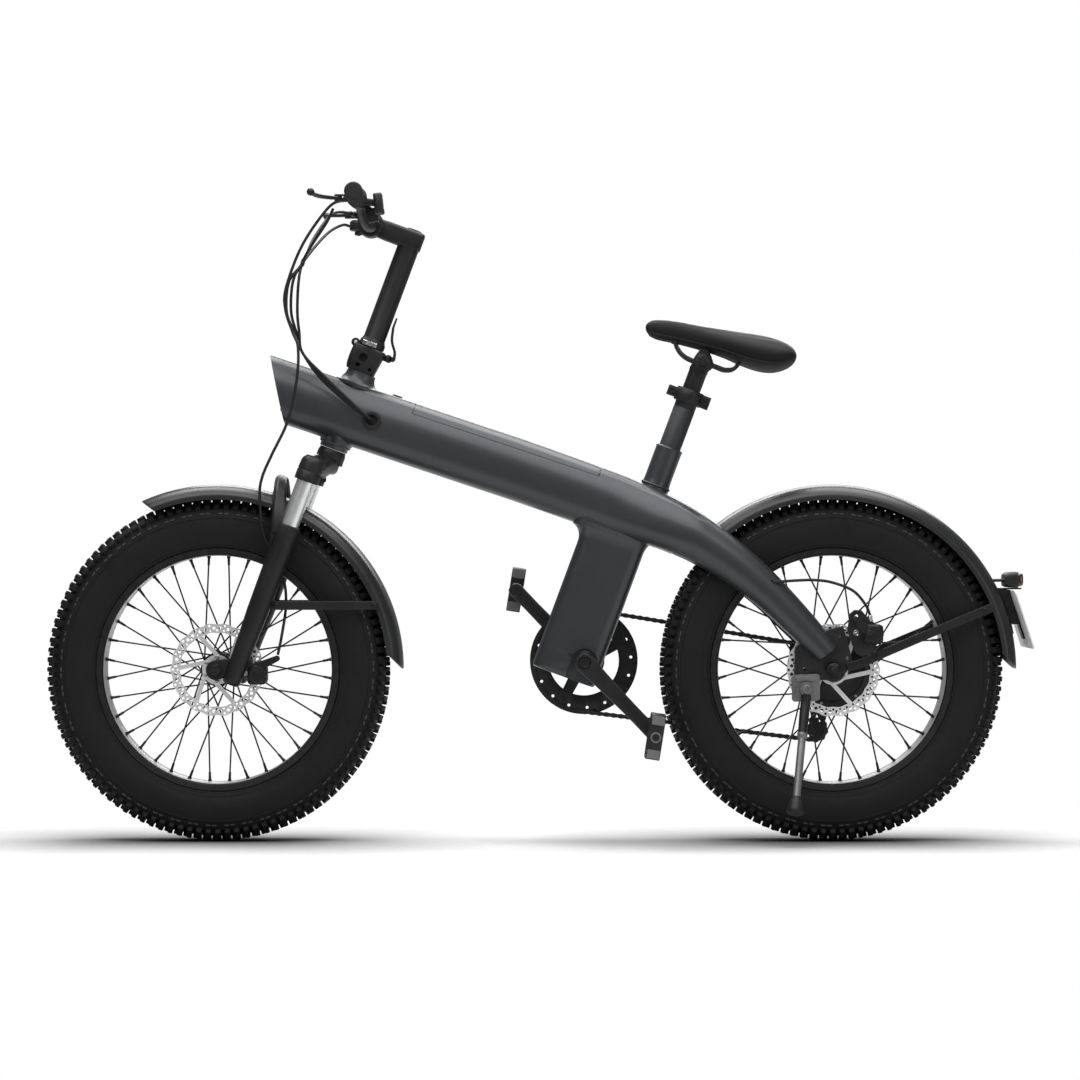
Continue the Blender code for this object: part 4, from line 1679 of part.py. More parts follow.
def build():
    """Makes every piece on its body."""
    for old in list(bpy.data.objects):
        bpy.data.objects.remove(old)

    root = body("frame_body", Vector((0.0, 0.0, 0.0)))
    piece("frame", frame(), "paint", root)
    piece("battery_pack", battery_pack(), "black", root)
    piece("headlight", headlight(), "clear", root)
    piece("seat_sleeve", seat_sleeve(), "paint", root)
    piece("dropout_left", dropout(-1.0), "black", root)
    piece("dropout_right", dropout(1.0), "black", root)
    piece("rear_axle", rear_axle(), "steel", root)
    piece("kickstand_bracket", kickstand_bracket(), "grey", root)
    piece("rear_fender", rear_fender(), "black", root)
    piece("number_plate", number_plate(), "plate", root)
    piece("tail_light", tail_light(), "lens", root)
    piece("rear_caliper", rear_caliper(), "black", root)
    piece("derailleur", derailleur(), "black", root)
    piece("chain", chain(), "grey", root)
    piece("rear_brake_cable", rear_brake_cable(), "rubber", root)

    lid = body("lid_body", beam_surface(BAY_REAR_X), root)
    piece("battery_lid", battery_lid(), "paint", lid)
    button = body("button_body", button_place(), root)
    piece("power_button", power_button(), "rubber", button)

    steering = body("steering_body", LOWER_RACE, root)
    piece("fork_crown", fork_crown(), "black", steering)
    piece("stanchion_left", stanchion(-1.0), "steel", steering)
    piece("stanchion_right", stanchion(1.0), "steel", steering)
    piece("hinge_base", hinge_base(), "black", steering)
    latch = body("latch_body", latch_pivot(), steering)
    piece("fold_latch", fold_latch(), "black", latch)

    lowers = body("lowers_body", steer(LEG_FORWARD, 0.0, LOWERS_TOP), steering)
    piece("fork_lowers", fork_lowers(), "black", lowers)
    piece("front_caliper", front_caliper(), "black", lowers)
    piece("front_fender", front_fender(), "black", lowers)
    front_arm = body("front_arm_body", FRONT_ARM_PIVOT, lowers)
    piece("front_caliper_arm", caliper_arm(FRONT_ARM_PIVOT, FRONT_ARM_END), "grey", front_arm)
    front = body("front_wheel_body", FRONT_AXLE, lowers)
    piece("front_tyre", tyre(FRONT_AXLE), "rubber", front)
    piece("front_rim", rim(FRONT_AXLE), "rim", front)
    piece("front_hub", front_hub(FRONT_AXLE), "black", front)
    piece("front_rotor", rotor(FRONT_AXLE, -FRONT_ROTOR_Y), "steel", front)

    rear = body("rear_wheel_body", REAR_AXLE, root)
    piece("rear_tyre", tyre(REAR_AXLE), "rubber", rear)
    piece("rear_rim", rim(REAR_AXLE), "rim", rear)
    piece("motor_hub", motor_hub(REAR_AXLE), "black", rear)
    piece("rear_rotor", rotor(REAR_AXLE, -REAR_ROTOR_Y), "steel", rear)
    piece("freewheel", freewheel(), "steel", body("freewheel_body", REAR_AXLE, root))
    for name, centre in JOCKEYS.items():
        piece("jockey_" + name, jockey(name), "black", body("jockey_" + name + "_body", centre, root))
    rear_arm = body("rear_arm_body", REAR_ARM_PIVOT, root)
    piece("rear_caliper_arm", caliper_arm(REAR_ARM_PIVOT, REAR_ARM_END), "grey", rear_arm)

    crank = body("crank_body", BRACKET, root)
    piece("chainring", chainring(), "black", crank)
    piece("crank_left", crank_left(), "black", crank)
    piece("crank_right", crank_right(), "black", crank)
    for name, side in (("left", -1.0), ("right", 1.0)):
        piece("pedal_" + name, pedal(side), "black",
              body("pedal_" + name + "_body", pedal_axle(side), crank))
    kick = body("kickstand_body", Vector((KICK_PIVOT_X, 0.0, KICK_PIVOT_Z)), root)
    piece("kickstand_leg", kickstand_leg(), "grey", kick)

    post = body("handlepost_body", steer(FOLD_PIN_FORWARD, 0.0, HINGE_SPLIT), steering)
    piece("handlepost", handlepost(), "black", post)
    piece("handlebar", handlebar(), "black", post)
    piece("display", display(), "black", post)
    piece("shifter", shifter(), "black", post)
    for name, side in (("left", -1.0), ("right", 1.0)):
        piece("grip_" + name, grip(side), "rubber", post)
        piece("brake_perch_" + name, perch(side), "black", post)
        lever = body("brake_lever_" + name + "_body", lever_pivot(side), post)
        piece("brake_lever_" + name, brake_lever(side), "black", lever)
    shift = body("shift_lever_body", bar_end(1.0, SHIFTER_Y) + Vector((-0.012, 0.0, -0.0353)), post)
    piece("shift_lever", shift_lever(), "black", shift)
    piece("front_brake_cable", front_brake_cable(), "rubber", steering)
    piece("control_cables", control_cables(), "rubber", steering)

    mid = body("seat_mid_body", SLEEVE_TOP, root)
    piece("seat_mid_post", seat_mid_post(), "black", mid)
    upper = body("seat_upper_body", seat_point(0.0, 0.0, MID_POST_TOP), mid)
    piece("seat_upper_post", seat_upper_post(), "black", upper)
    piece("saddle", saddle(), "rubber", upper)


build()
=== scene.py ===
"""Finished look of the electric bicycle with fat tyres, a beam frame and a folding handlepost.

Metres, +Z up. The front faces -X, the left side -Y and the drive side +Y.
"""

import logging
import math
from collections.abc import Sequence
from dataclasses import dataclass, field
from enum import Enum

import bmesh
import bpy
import numpy as np
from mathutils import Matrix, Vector


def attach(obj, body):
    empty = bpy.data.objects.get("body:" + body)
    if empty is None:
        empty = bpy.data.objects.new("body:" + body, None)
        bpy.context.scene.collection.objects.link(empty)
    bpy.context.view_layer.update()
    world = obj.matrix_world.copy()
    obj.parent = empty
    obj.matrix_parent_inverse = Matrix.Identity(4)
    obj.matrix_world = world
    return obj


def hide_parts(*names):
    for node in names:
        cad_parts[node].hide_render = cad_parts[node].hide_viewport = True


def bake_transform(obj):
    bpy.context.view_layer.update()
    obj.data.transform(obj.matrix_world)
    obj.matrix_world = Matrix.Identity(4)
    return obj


LOG = logging.getLogger("bicycle")
Array = np.ndarray
Stations = tuple[tuple[float, float, float], ...]

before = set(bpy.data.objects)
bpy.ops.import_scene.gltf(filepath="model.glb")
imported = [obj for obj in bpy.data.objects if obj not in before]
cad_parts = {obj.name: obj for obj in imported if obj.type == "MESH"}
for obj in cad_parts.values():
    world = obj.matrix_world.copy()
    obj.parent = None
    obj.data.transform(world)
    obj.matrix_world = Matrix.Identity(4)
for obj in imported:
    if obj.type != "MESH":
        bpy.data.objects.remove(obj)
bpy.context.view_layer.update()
HANDS = ((-1.0, "left"), (1.0, "right"))


# Places shared by the sub-assemblies

def vec(*values: float) -> Array:
    """A point or a direction."""
    return np.array(values, float)


def unit(vector: Array) -> Array:
    """Vectors scaled to length one along their last axis."""
    return vector / np.linalg.norm(vector, axis=-1, keepdims=True)


def lean(degrees: float) -> tuple[Array, Array]:
    """The upward direction that leans back by an angle, and the forward direction square to it."""
    angle = math.radians(degrees)
    return vec(math.sin(angle), 0, math.cos(angle)), vec(-math.cos(angle), 0, math.sin(angle))


SIDE = vec(0, 1, 0)
UP = vec(0, 0, 1)
FRONT_AXLE = vec(-0.5504, 0, 0.2958)
REAR_AXLE = vec(0.5058, 0, 0.2958)
BRACKET = vec(0.0802, 0, 0.3086)
LOWER_RACE = vec(-0.3556, 0, 0.6696)
STEER_UP, STEER_FORWARD = lean(20.4)
SLEEVE_TOP = vec(0.2280, 0, 0.6780)
SEAT_UP, SEAT_FORWARD = lean(20.5)
BEAM_TOP = vec(-0.4120, 0, 0.8220)
BEAM_UP, BEAM_FORWARD = lean(18.5)
BEAM_BACK = -BEAM_FORWARD
MAST_UP, MAST_FORWARD = lean(20.3)


def steer(forward: float, side: float, up: float) -> Array:
    """A point by its place forward of the steering axis, across and along it."""
    return LOWER_RACE + STEER_FORWARD * forward + SIDE * side + STEER_UP * up


def seat_point(forward: float, side: float, up: float) -> Array:
    """A point by its place forward of the seat post's axis, across and along it."""
    return SLEEVE_TOP + SEAT_FORWARD * forward + SIDE * side + SEAT_UP * up


def polar(centre: Array, radius: float, degrees: float, side: float = 0.0) -> Array:
    """A point round an axle, its angle counted from the rear upwards."""
    angle = math.radians(degrees)
    return centre + vec(radius * math.cos(angle), side, radius * math.sin(angle))


def side_view(point: Array) -> tuple[float, float]:
    """A point's X and Z."""
    return float(point[0]), float(point[2])


BAR_FORWARD = 0.0741
BAR_CENTRE = steer(BAR_FORWARD, 0.0, 0.3925)


# Surfaces

def shaded(mesh: bpy.types.Mesh, sharp: float = 38.0) -> bpy.types.Mesh:
    """The mesh shaded smooth but for edges sharper than an angle in degrees."""
    mesh.shade_smooth()
    mesh.set_sharp_from_angle(angle=math.radians(sharp))
    return mesh


def plain_bar(radius: float) -> Stations:
    """Stations of a round bar with square ends."""
    return (0, 0, radius), (1, 0, radius)


def eased_bar(edge: float, radius: float, ease: float = 0.0006) -> Stations:
    """Stations of a round bar whose ends are eased to a smaller radius."""
    return (0, 0, edge), (0, ease, radius), (1, -ease, radius), (1, 0, edge)


def both_sides(left: Sequence, right: Sequence) -> list[tuple[float, float]]:
    """A profile from its left end to its right end, out of two halves that start at the middle."""
    return [(radius, -side) for radius, side in left[::-1]] + list(right[1:])


def run_lengths(line: Array) -> Array:
    """Distance along a line from its start to each of its points."""
    return np.concatenate([[0.0], np.cumsum(np.linalg.norm(np.diff(line, axis=0), axis=1))])


def corner_turns(steps: int = 11) -> tuple[Array, Array, Array]:
    """Angles of a rounded rectangle's four quarter circles, and the signs of their centres' places."""
    angle = (np.pi / 2.0 * (np.arange(4)[:, None] + np.linspace(0, 1, steps)[None])).ravel()
    return angle, np.repeat([1, -1, -1, 1], steps), np.repeat([1, 1, -1, -1], steps)


class Skin:
    """Gathers closed surfaces, worked out as arrays, for one mesh."""

    def __init__(self) -> None:
        """Starts empty."""
        self.points: list[Array] = []
        self.faces: list[Array] = []
        self.count = 0

    def grids(self, points: Array, ring: bool = False) -> "Skin":
        """Adds copies of a tube whose sections are closed rings.

        Quads join neighbouring rings; the end rings are capped, or the last ring joins the first.
        A copy whose signed volume is negative has its faces turned round.

        Args:
            points: Copies x rings x points of a ring x 3.
            ring: Joins the last ring to the first.

        Returns:
            The skin itself.
        """
        copies, rows, cols = points.shape[:3]
        index = np.arange(rows * cols).reshape(rows, cols)
        here = index if ring else index[:-1]
        ahead = np.roll(index, -1, 0) if ring else index[1:]
        quads = np.stack([here, np.roll(here, -1, 1), np.roll(ahead, -1, 1), ahead], -1).reshape(-1, 4)
        groups = [quads]
        if not ring:
            groups += [index[:1, ::-1], index[-1:]]
        flat = points.reshape(copies, -1, 3)
        corner = flat[:, quads] - flat.mean(1)[:, None, None]
        volume = np.einsum("cqi,cqi->c", corner[:, :, 0], np.cross(corner[:, :, 1], corner[:, :, 2]))
        volume += np.einsum("cqi,cqi->c", corner[:, :, 0], np.cross(corner[:, :, 2], corner[:, :, 3]))
        offset = self.count + np.arange(copies)[:, None, None] * rows * cols
        for group in groups:
            turned = np.where((volume < 0)[:, None, None], group[None, :, ::-1], group[None]) + offset
            self.faces.append(turned.reshape(-1, group.shape[1]))
        self.points.append(flat.reshape(-1, 3))
        self.count += copies * rows * cols
        return self

    def grid(self, points: Array, ring: bool = False) -> "Skin":
        """Adds one tube of rings x points of a ring x 3."""
        return self.grids(points[None], ring)

    def lathe(self, profile: Sequence, centre: Array, axis: Array, steps: int = 48, ring: bool = False,
              sweep: tuple[float, float] | None = None) -> "Skin":
        """Adds a profile turned round an axis.

        A point = centre + axis * along + radius * (cos, sin) across the axis.

        Args:
            profile: Radius and distance along the axis of each profile point.
            centre: Origin of the distances.
            axis: Unit direction of the axis.
            steps: Points round the axis.
            ring: The profile is closed on itself.
            sweep: First and last angle in degrees of a part turn of a closed profile.

        Returns:
            The skin itself.
        """
        outline = np.asarray(profile, float)
        first = vec(1, 0, 0) if abs(axis[1]) > 0.9 else unit(np.cross(axis, SIDE))
        second = vec(0, 0, 1) if abs(axis[1]) > 0.9 else unit(np.cross(axis, first))
        if sweep is None:
            angle = np.arange(steps) * 2.0 * np.pi / steps
        else:
            angle = np.radians(np.linspace(*sweep, steps))
        spin = np.cos(angle)[:, None] * first + np.sin(angle)[:, None] * second
        points = centre + outline[:, None, 1:] * axis + outline[:, None, :1] * spin[None]
        if sweep is not None:
            return self.grid(points.transpose(1, 0, 2))
        return self.grid(points, ring)

    def sweep(self, path: Array, section: Array, lateral: Array = SIDE, ring: bool = False) -> "Skin":
        """Carries a section along a path: point = path + a * side + b * rise, square to the path.

        Args:
            path: Points of the line.
            section: Points of the section, or one section for each point of the path.
            lateral: Direction near which the section's first coordinate stays.
            ring: The path is closed.

        Returns:
            The skin itself.
        """
        run = (np.roll(path, -1, 0) - np.roll(path, 1, 0)) if ring else np.gradient(path, axis=0)
        run = unit(run)
        side = unit(lateral - run * (run @ lateral)[:, None])
        rise = np.cross(run, side)
        outline = np.broadcast_to(section, (len(path), *np.shape(section)[-2:]))
        points = path[:, None] + outline[..., :1] * side[:, None] + outline[..., 1:] * rise[:, None]
        return self.grid(points, ring)

    def rods(self, starts: Array, ends: Array, stations: Sequence, sides: int = 8) -> "Skin":
        """Adds straight round bars.

        Each ring of a bar stands at a share of its length plus an offset, and has its own radius.

        Args:
            starts: First ends of the bars.
            ends: Last ends of the bars.
            stations: Share of the length, offset in metres and radius of each ring.
            sides: Points round a bar.

        Returns:
            The skin itself.
        """
        starts, ends = np.atleast_2d(starts), np.atleast_2d(ends)
        axis = unit(ends - starts)
        spare = np.where(np.abs(axis[:, 1:2]) > 0.9, vec(1, 0, 0), SIDE)
        first = unit(spare - axis * np.sum(axis * spare, -1, keepdims=True))
        second = np.cross(axis, first)
        angle = np.arange(sides) * 2.0 * np.pi / sides
        spin = (np.cos(angle)[None, :, None] * first[:, None] + np.sin(angle)[None, :, None]
                * second[:, None])
        share, offset, radius = np.asarray(stations, float).T
        middle = (starts[:, None] + (ends - starts)[:, None] * share[None, :, None]
                  + axis[:, None] * offset[None, :, None])
        return self.grids(middle[:, :, None] + spin[:, None] * radius[None, :, None, None])

    def slab(self, outline: Array, low: float, high: float, bevel: float = 0.0006) -> "Skin":
        """Adds a plate from an outline in X and Z, its thickness along Y and its edges chamfered.

        Each ring is the outline moved inwards along its normals by the chamfer, at that depth.
        """
        edge = np.roll(outline, -1, 0) - np.roll(outline, 1, 0)
        normal = unit(np.stack([edge[:, 1], -edge[:, 0]], -1))
        (x, z), (next_x, next_z) = outline.T, np.roll(outline, -1, 0).T
        area = np.sum(x * next_z - next_x * z)
        inset = outline - normal * math.copysign(bevel, area)
        rings = []
        for line, depth in ((inset, low), (outline, low + bevel), (outline, high - bevel), (inset, high)):
            rings.append(np.stack([line[:, 0], np.full(len(line), depth), line[:, 1]], -1))
        return self.grid(np.array(rings))

    def raw(self, points: Array, faces: Array) -> "Skin":
        """Adds points and faces as they are."""
        self.points.append(points)
        self.faces.append(faces + self.count)
        self.count += len(points)
        return self

    def mesh(self, name: str, sharp: float = 38.0) -> bpy.types.Mesh:
        """The gathered surfaces as one mesh, smooth but for edges sharper than an angle in degrees."""
        made = bpy.data.meshes.new(name)
        sizes = np.concatenate([np.full(len(group), group.shape[1]) for group in self.faces])
        loops = np.concatenate([group.ravel() for group in self.faces])
        made.vertices.add(self.count)
        made.vertices.foreach_set("co", np.concatenate(self.points).ravel().astype(np.float32))
        made.loops.add(len(loops))
        made.loops.foreach_set("vertex_index", loops.astype(np.int32))
        made.polygons.add(len(sizes))
        made.polygons.foreach_set("loop_start", (np.cumsum(sizes) - sizes).astype(np.int32))
        made.update(calc_edges=True)
        made.validate()
        return shaded(made, sharp)


def circle(radius: float | Array, sides: int = 16) -> Array:
    """Points on a circle, or on one circle for each radius given."""
    angle = np.arange(sides) * 2.0 * np.pi / sides
    ring = np.stack([np.cos(angle), np.sin(angle)], -1)
    return np.multiply.outer(np.asarray(radius, float), ring) if np.ndim(radius) else ring * radius


def rounded(width: float, height: float, corner: float, steps: int = 6) -> Array:
    """A rectangle with round corners: each quarter circle stands at its corner's centre."""
    angle = np.pi / 2.0 * (np.arange(4)[:, None] + np.linspace(0.0, 1.0, steps + 1)[None])
    sx = np.array([1, -1, -1, 1])[:, None] * (width / 2.0 - corner)
    sz = np.array([1, 1, -1, -1])[:, None] * (height / 2.0 - corner)
    return np.stack([sx + corner * np.cos(angle), sz + corner * np.sin(angle)], -1).reshape(-1, 2)


def round_plate(centre: Sequence[float], radius: float, sides: int = 32, phase: float = 0.0) -> Array:
    """Points on a circle in X and Z."""
    angle = phase + np.arange(sides) * 2.0 * np.pi / sides
    return np.stack([centre[0] + radius * np.cos(angle), centre[1] + radius * np.sin(angle)], -1)


def capsule(start: Sequence[float], end: Sequence[float], first: float, last: float,
            steps: int = 16) -> Array:
    """The outline round two circles in X and Z: an arc at each end, joined by straight tangents."""
    run = np.asarray(end, float) - np.asarray(start, float)
    heading = math.atan2(run[1], run[0])
    tilt = math.acos((first - last) / float(np.hypot(*run)))
    near = heading - tilt + 2.0 * tilt * np.linspace(0, 1, steps)
    far = heading + tilt + (2.0 * math.pi - 2.0 * tilt) * np.linspace(0, 1, steps)
    tip = np.asarray(end) + last * np.stack([np.cos(near), np.sin(near)], -1)
    root = np.asarray(start) + first * np.stack([np.cos(far), np.sin(far)], -1)
    return np.concatenate([tip, root])


def smooth(route: Sequence, spacing: float) -> Array:
    """Points on a Catmull-Rom curve through a route, about one spacing apart.

    Between two route points the curve is the cubic whose slopes are half the chord of their neighbours.
    """
    knots = np.asarray(route, float)
    padded = np.concatenate([[2 * knots[0] - knots[1]], knots, [2 * knots[-1] - knots[-2]]])
    parts = []
    for before, start, end, after in zip(padded, padded[1:], padded[2:], padded[3:]):
        steps = max(1, round(float(np.linalg.norm(end - start)) / spacing))
        t = (np.arange(steps) / steps)[:, None]
        parts.append(0.5 * (2 * start + (end - before) * t + (2 * before - 5 * start + 4 * end - after)
                            * t**2 + (3 * start - before - 3 * end + after) * t**3))
    return np.concatenate([*parts, knots[-1:]])


def eased(knots: Sequence, count: int) -> Array:
    """Rows of values spread evenly along a smooth curve through the rows given."""
    line = smooth(knots, 0.004)
    length = run_lengths(line)
    wanted = np.linspace(0.0, length[-1], count)
    return np.stack([np.interp(wanted, length, column) for column in line.T], -1)


def perforated(outline: Array, holes: Sequence[Array], low: float, high: float, name: str) -> bpy.types.Mesh:
    """A flat plate with holes: the outline filled round its holes and drawn out along Y.

    Args:
        outline: Outer line in X and Z.
        holes: Inner lines in X and Z.
        low: One face's place along Y.
        high: The other face's place along Y.
        name: Name of the mesh.

    Returns:
        The closed mesh.
    """
    build = bmesh.new()
    for line in (outline, *holes):
        made = [build.verts.new((x, low, z)) for x, z in line]
        for first, last in zip(made, made[1:] + made[:1]):
            build.edges.new((first, last))
    bmesh.ops.triangle_fill(build, use_beauty=True, edges=build.edges[:])
    grown = bmesh.ops.extrude_face_region(build, geom=build.faces[:])
    moved = [item for item in grown["geom"] if isinstance(item, bmesh.types.BMVert)]
    bmesh.ops.translate(build, verts=moved, vec=(0.0, high - low, 0.0))
    bmesh.ops.recalc_face_normals(build, faces=build.faces)
    mesh = bpy.data.meshes.new(name)
    build.to_mesh(mesh)
    build.free()
    return shaded(mesh)


def joined(name: str, *parts: bpy.types.Mesh) -> bpy.types.Mesh:
    """One mesh out of several."""
    build = bmesh.new()
    for part in parts:
        build.from_mesh(part)
    mesh = bpy.data.meshes.new(name)
    build.to_mesh(mesh)
    build.free()
    return shaded(mesh)


class Cut(Enum):
    """Ways to combine two closed meshes."""

    LESS = "DIFFERENCE"
    PLUS = "UNION"
    SHARED = "INTERSECT"


def in_scene(name: str, mesh: bpy.types.Mesh) -> bpy.types.Object:
    """A new object of a mesh, linked to the scene."""
    made = bpy.data.objects.new(name, mesh)
    bpy.context.scene.collection.objects.link(made)
    return made


def result_of(holder: bpy.types.Object) -> bpy.types.Mesh:
    """The mesh that an object's modifiers give."""
    graph = bpy.context.evaluated_depsgraph_get()
    return bpy.data.meshes.new_from_object(holder.evaluated_get(graph))


def combined(base: bpy.types.Mesh, tools: Sequence[tuple[bpy.types.Mesh, Cut]], bevel: float = 0.0,
             limit: float = 40.0, sharp: float = 38.0) -> bpy.types.Mesh:
    """A mesh combined with tools one after another, then with its sharp edges rounded.

    Args:
        base: The mesh to start from.
        tools: Each tool with its way to combine.
        bevel: Width of the rounding, or 0 for none.
        limit: Angle in degrees over which an edge is rounded.
        sharp: Angle in degrees over which an edge stays sharp in shading.

    Returns:
        The new mesh.
    """
    holder = in_scene("base", base)
    helpers = [holder]
    for mesh, way in tools:
        helper = in_scene("tool", mesh)
        helpers.append(helper)
        step = holder.modifiers.new("step", "BOOLEAN")
        step.operation = way.value
        step.object = helper
    if bevel:
        step = holder.modifiers.new("edge", "BEVEL")
        step.width = bevel
        step.segments = 2
        step.limit_method = "ANGLE"
        step.angle_limit = math.radians(limit)
        step.use_clamp_overlap = True
    result = result_of(holder)
    for helper in helpers:
        bpy.data.objects.remove(helper)
    return shaded(result, sharp)


# Node groups

@dataclass
class Graph:
    """Adds nodes to a tree and joins them."""

    tree: bpy.types.NodeTree

    def add(self, kind: str, values: dict | None = None, **settings: object) -> bpy.types.Node:
        """Adds a node.

        Args:
            kind: The node's type.
            values: Socket name or number to a plain value, or to the socket that feeds it.
            settings: Properties of the node.

        Returns:
            The node.
        """
        node = self.tree.nodes.new(kind)
        for name, value in settings.items():
            setattr(node, name, value)
        for name, value in (values or {}).items():
            if isinstance(value, bpy.types.NodeSocket):
                self.tree.links.new(value, node.inputs[name])
            else:
                node.inputs[name].default_value = value
        return node

    def math(self, operation: str, first: object, second: object = 0.5,
             clamp: bool = False) -> bpy.types.NodeSocket:
        """One step of arithmetic on two values."""
        node = self.add("ShaderNodeMath", {0: first, 1: second}, operation=operation, use_clamp=clamp)
        return node.outputs[0]

    def blend(self, share: object, first: object, second: object) -> bpy.types.NodeSocket:
        """A colour between two colours."""
        node = self.add("ShaderNodeMix", {0: share, 6: first, 7: second}, data_type="RGBA")
        return node.outputs[2]

    def spread(self, value: object, low: float, high: float, to_low: object = 0.0,
               to_high: object = 1.0) -> bpy.types.NodeSocket:
        """A value carried from one range to another, and held inside it."""
        node = self.add("ShaderNodeMapRange", {0: value, 1: low, 2: high, 3: to_low, 4: to_high})
        return node.outputs[0]

    def noise(self, place: object, scale: object, detail: float = 4.0,
              rough: float = 0.6) -> bpy.types.NodeSocket:
        """A noise value round one half."""
        node = self.add("ShaderNodeTexNoise", {"Vector": place, "Scale": scale, "Detail": detail,
                                               "Roughness": rough})
        return node.outputs[0]


def new_group(name: str, inputs: Sequence[tuple], outputs: Sequence[tuple]) -> tuple[Graph, object, object]:
    """An empty node group with its sockets: inputs give name, type and default, outputs name and type."""
    tree = bpy.data.node_groups.new(name, "ShaderNodeTree")
    for label, kind, value in inputs:
        socket = tree.interface.new_socket(label, in_out="INPUT", socket_type=kind)
        socket.default_value = value
    for label, kind in outputs:
        tree.interface.new_socket(label, in_out="OUTPUT", socket_type=kind)
    graph = Graph(tree)
    return graph, graph.add("NodeGroupInput"), graph.add("NodeGroupOutput")


FLOAT, COLOUR, VECTOR = "NodeSocketFloat", "NodeSocketColor", "NodeSocketVector"


def grain_group() -> bpy.types.NodeTree:
    """A moulded or coated skin: fine grain in the bump, soft smudges in colour and roughness."""
    graph, given, out = new_group(
        "skin_grain",
        [("Colour", COLOUR, (0.1, 0.1, 0.1, 1.0)), ("Second Colour", COLOUR, (0.1, 0.1, 0.1, 1.0)),
         ("Scale", FLOAT, 900.0), ("Smudge Scale", FLOAT, 14.0), ("Roughness", FLOAT, 0.5),
         ("Roughness Spread", FLOAT, 0.1), ("Bump", FLOAT, 0.1), ("Depth", FLOAT, 0.0003)],
        [("Colour", COLOUR), ("Roughness", FLOAT), ("Normal", VECTOR)])
    place = graph.add("ShaderNodeTexCoord").outputs["Object"]
    fine = graph.noise(place, given.outputs["Scale"], 3.0, 0.6)
    broad = graph.noise(place, given.outputs["Smudge Scale"], 6.0, 0.62)
    shade = graph.spread(broad, 0.35, 0.68)
    mixed = graph.math("ADD", graph.math("MULTIPLY", shade, 0.7), graph.math("MULTIPLY", fine, 0.3))
    colour = graph.blend(mixed, given.outputs["Colour"], given.outputs["Second Colour"])
    swing = graph.math("MULTIPLY", graph.math("SUBTRACT", mixed, 0.5), given.outputs["Roughness Spread"])
    rough = graph.math("ADD", given.outputs["Roughness"], swing, clamp=True)
    bump = graph.add("ShaderNodeBump", {"Strength": given.outputs["Bump"],
                                        "Distance": given.outputs["Depth"], "Height": fine})
    for name, value in (("Colour", colour), ("Roughness", rough), ("Normal", bump.outputs[0])):
        graph.tree.links.new(value, out.inputs[name])
    return graph.tree


def wear_group() -> bpy.types.NodeTree:
    """Worn edges: where a rounded normal leaves the true one, broken up by noise."""
    graph, given, out = new_group("edge_wear", [("Radius", FLOAT, 0.0012), ("Amount", FLOAT, 0.5),
                                                ("Scale", FLOAT, 120.0)], [("Mask", FLOAT)])
    soft = graph.add("ShaderNodeBevel", {"Radius": given.outputs["Radius"]}, samples=4)
    true = graph.add("ShaderNodeNewGeometry").outputs["Normal"]
    turn = graph.add("ShaderNodeVectorMath", {0: soft.outputs[0], 1: true}, operation="DOT_PRODUCT")
    edge = graph.spread(turn.outputs["Value"], 0.985, 0.80)
    place = graph.add("ShaderNodeTexCoord").outputs["Object"]
    patchy = graph.spread(graph.noise(place, given.outputs["Scale"], 5.0, 0.65), 0.45, 0.62)
    mask = graph.math("MULTIPLY", graph.math("MULTIPLY", edge, patchy), given.outputs["Amount"], clamp=True)
    graph.tree.links.new(mask, out.inputs["Mask"])
    return graph.tree


def dust_group() -> bpy.types.NodeTree:
    """A thin veil of dust: thicker on faces that look up, and patchy."""
    graph, given, out = new_group("dust_veil", [("Amount", FLOAT, 0.2), ("Scale", FLOAT, 35.0)],
                                  [("Mask", FLOAT)])
    normal = graph.add("ShaderNodeNewGeometry").outputs["Normal"]
    upward = graph.add("ShaderNodeSeparateXYZ", {0: normal}).outputs["Z"]
    facing = graph.spread(upward, -0.2, 1.0, 0.15, 1.0)
    place = graph.add("ShaderNodeTexCoord").outputs["Object"]
    patchy = graph.spread(graph.noise(place, given.outputs["Scale"], 8.0, 0.7), 0.30, 0.75)
    mask = graph.math("MULTIPLY", graph.math("MULTIPLY", facing, patchy), given.outputs["Amount"],
                      clamp=True)
    graph.tree.links.new(mask, out.inputs["Mask"])
    return graph.tree


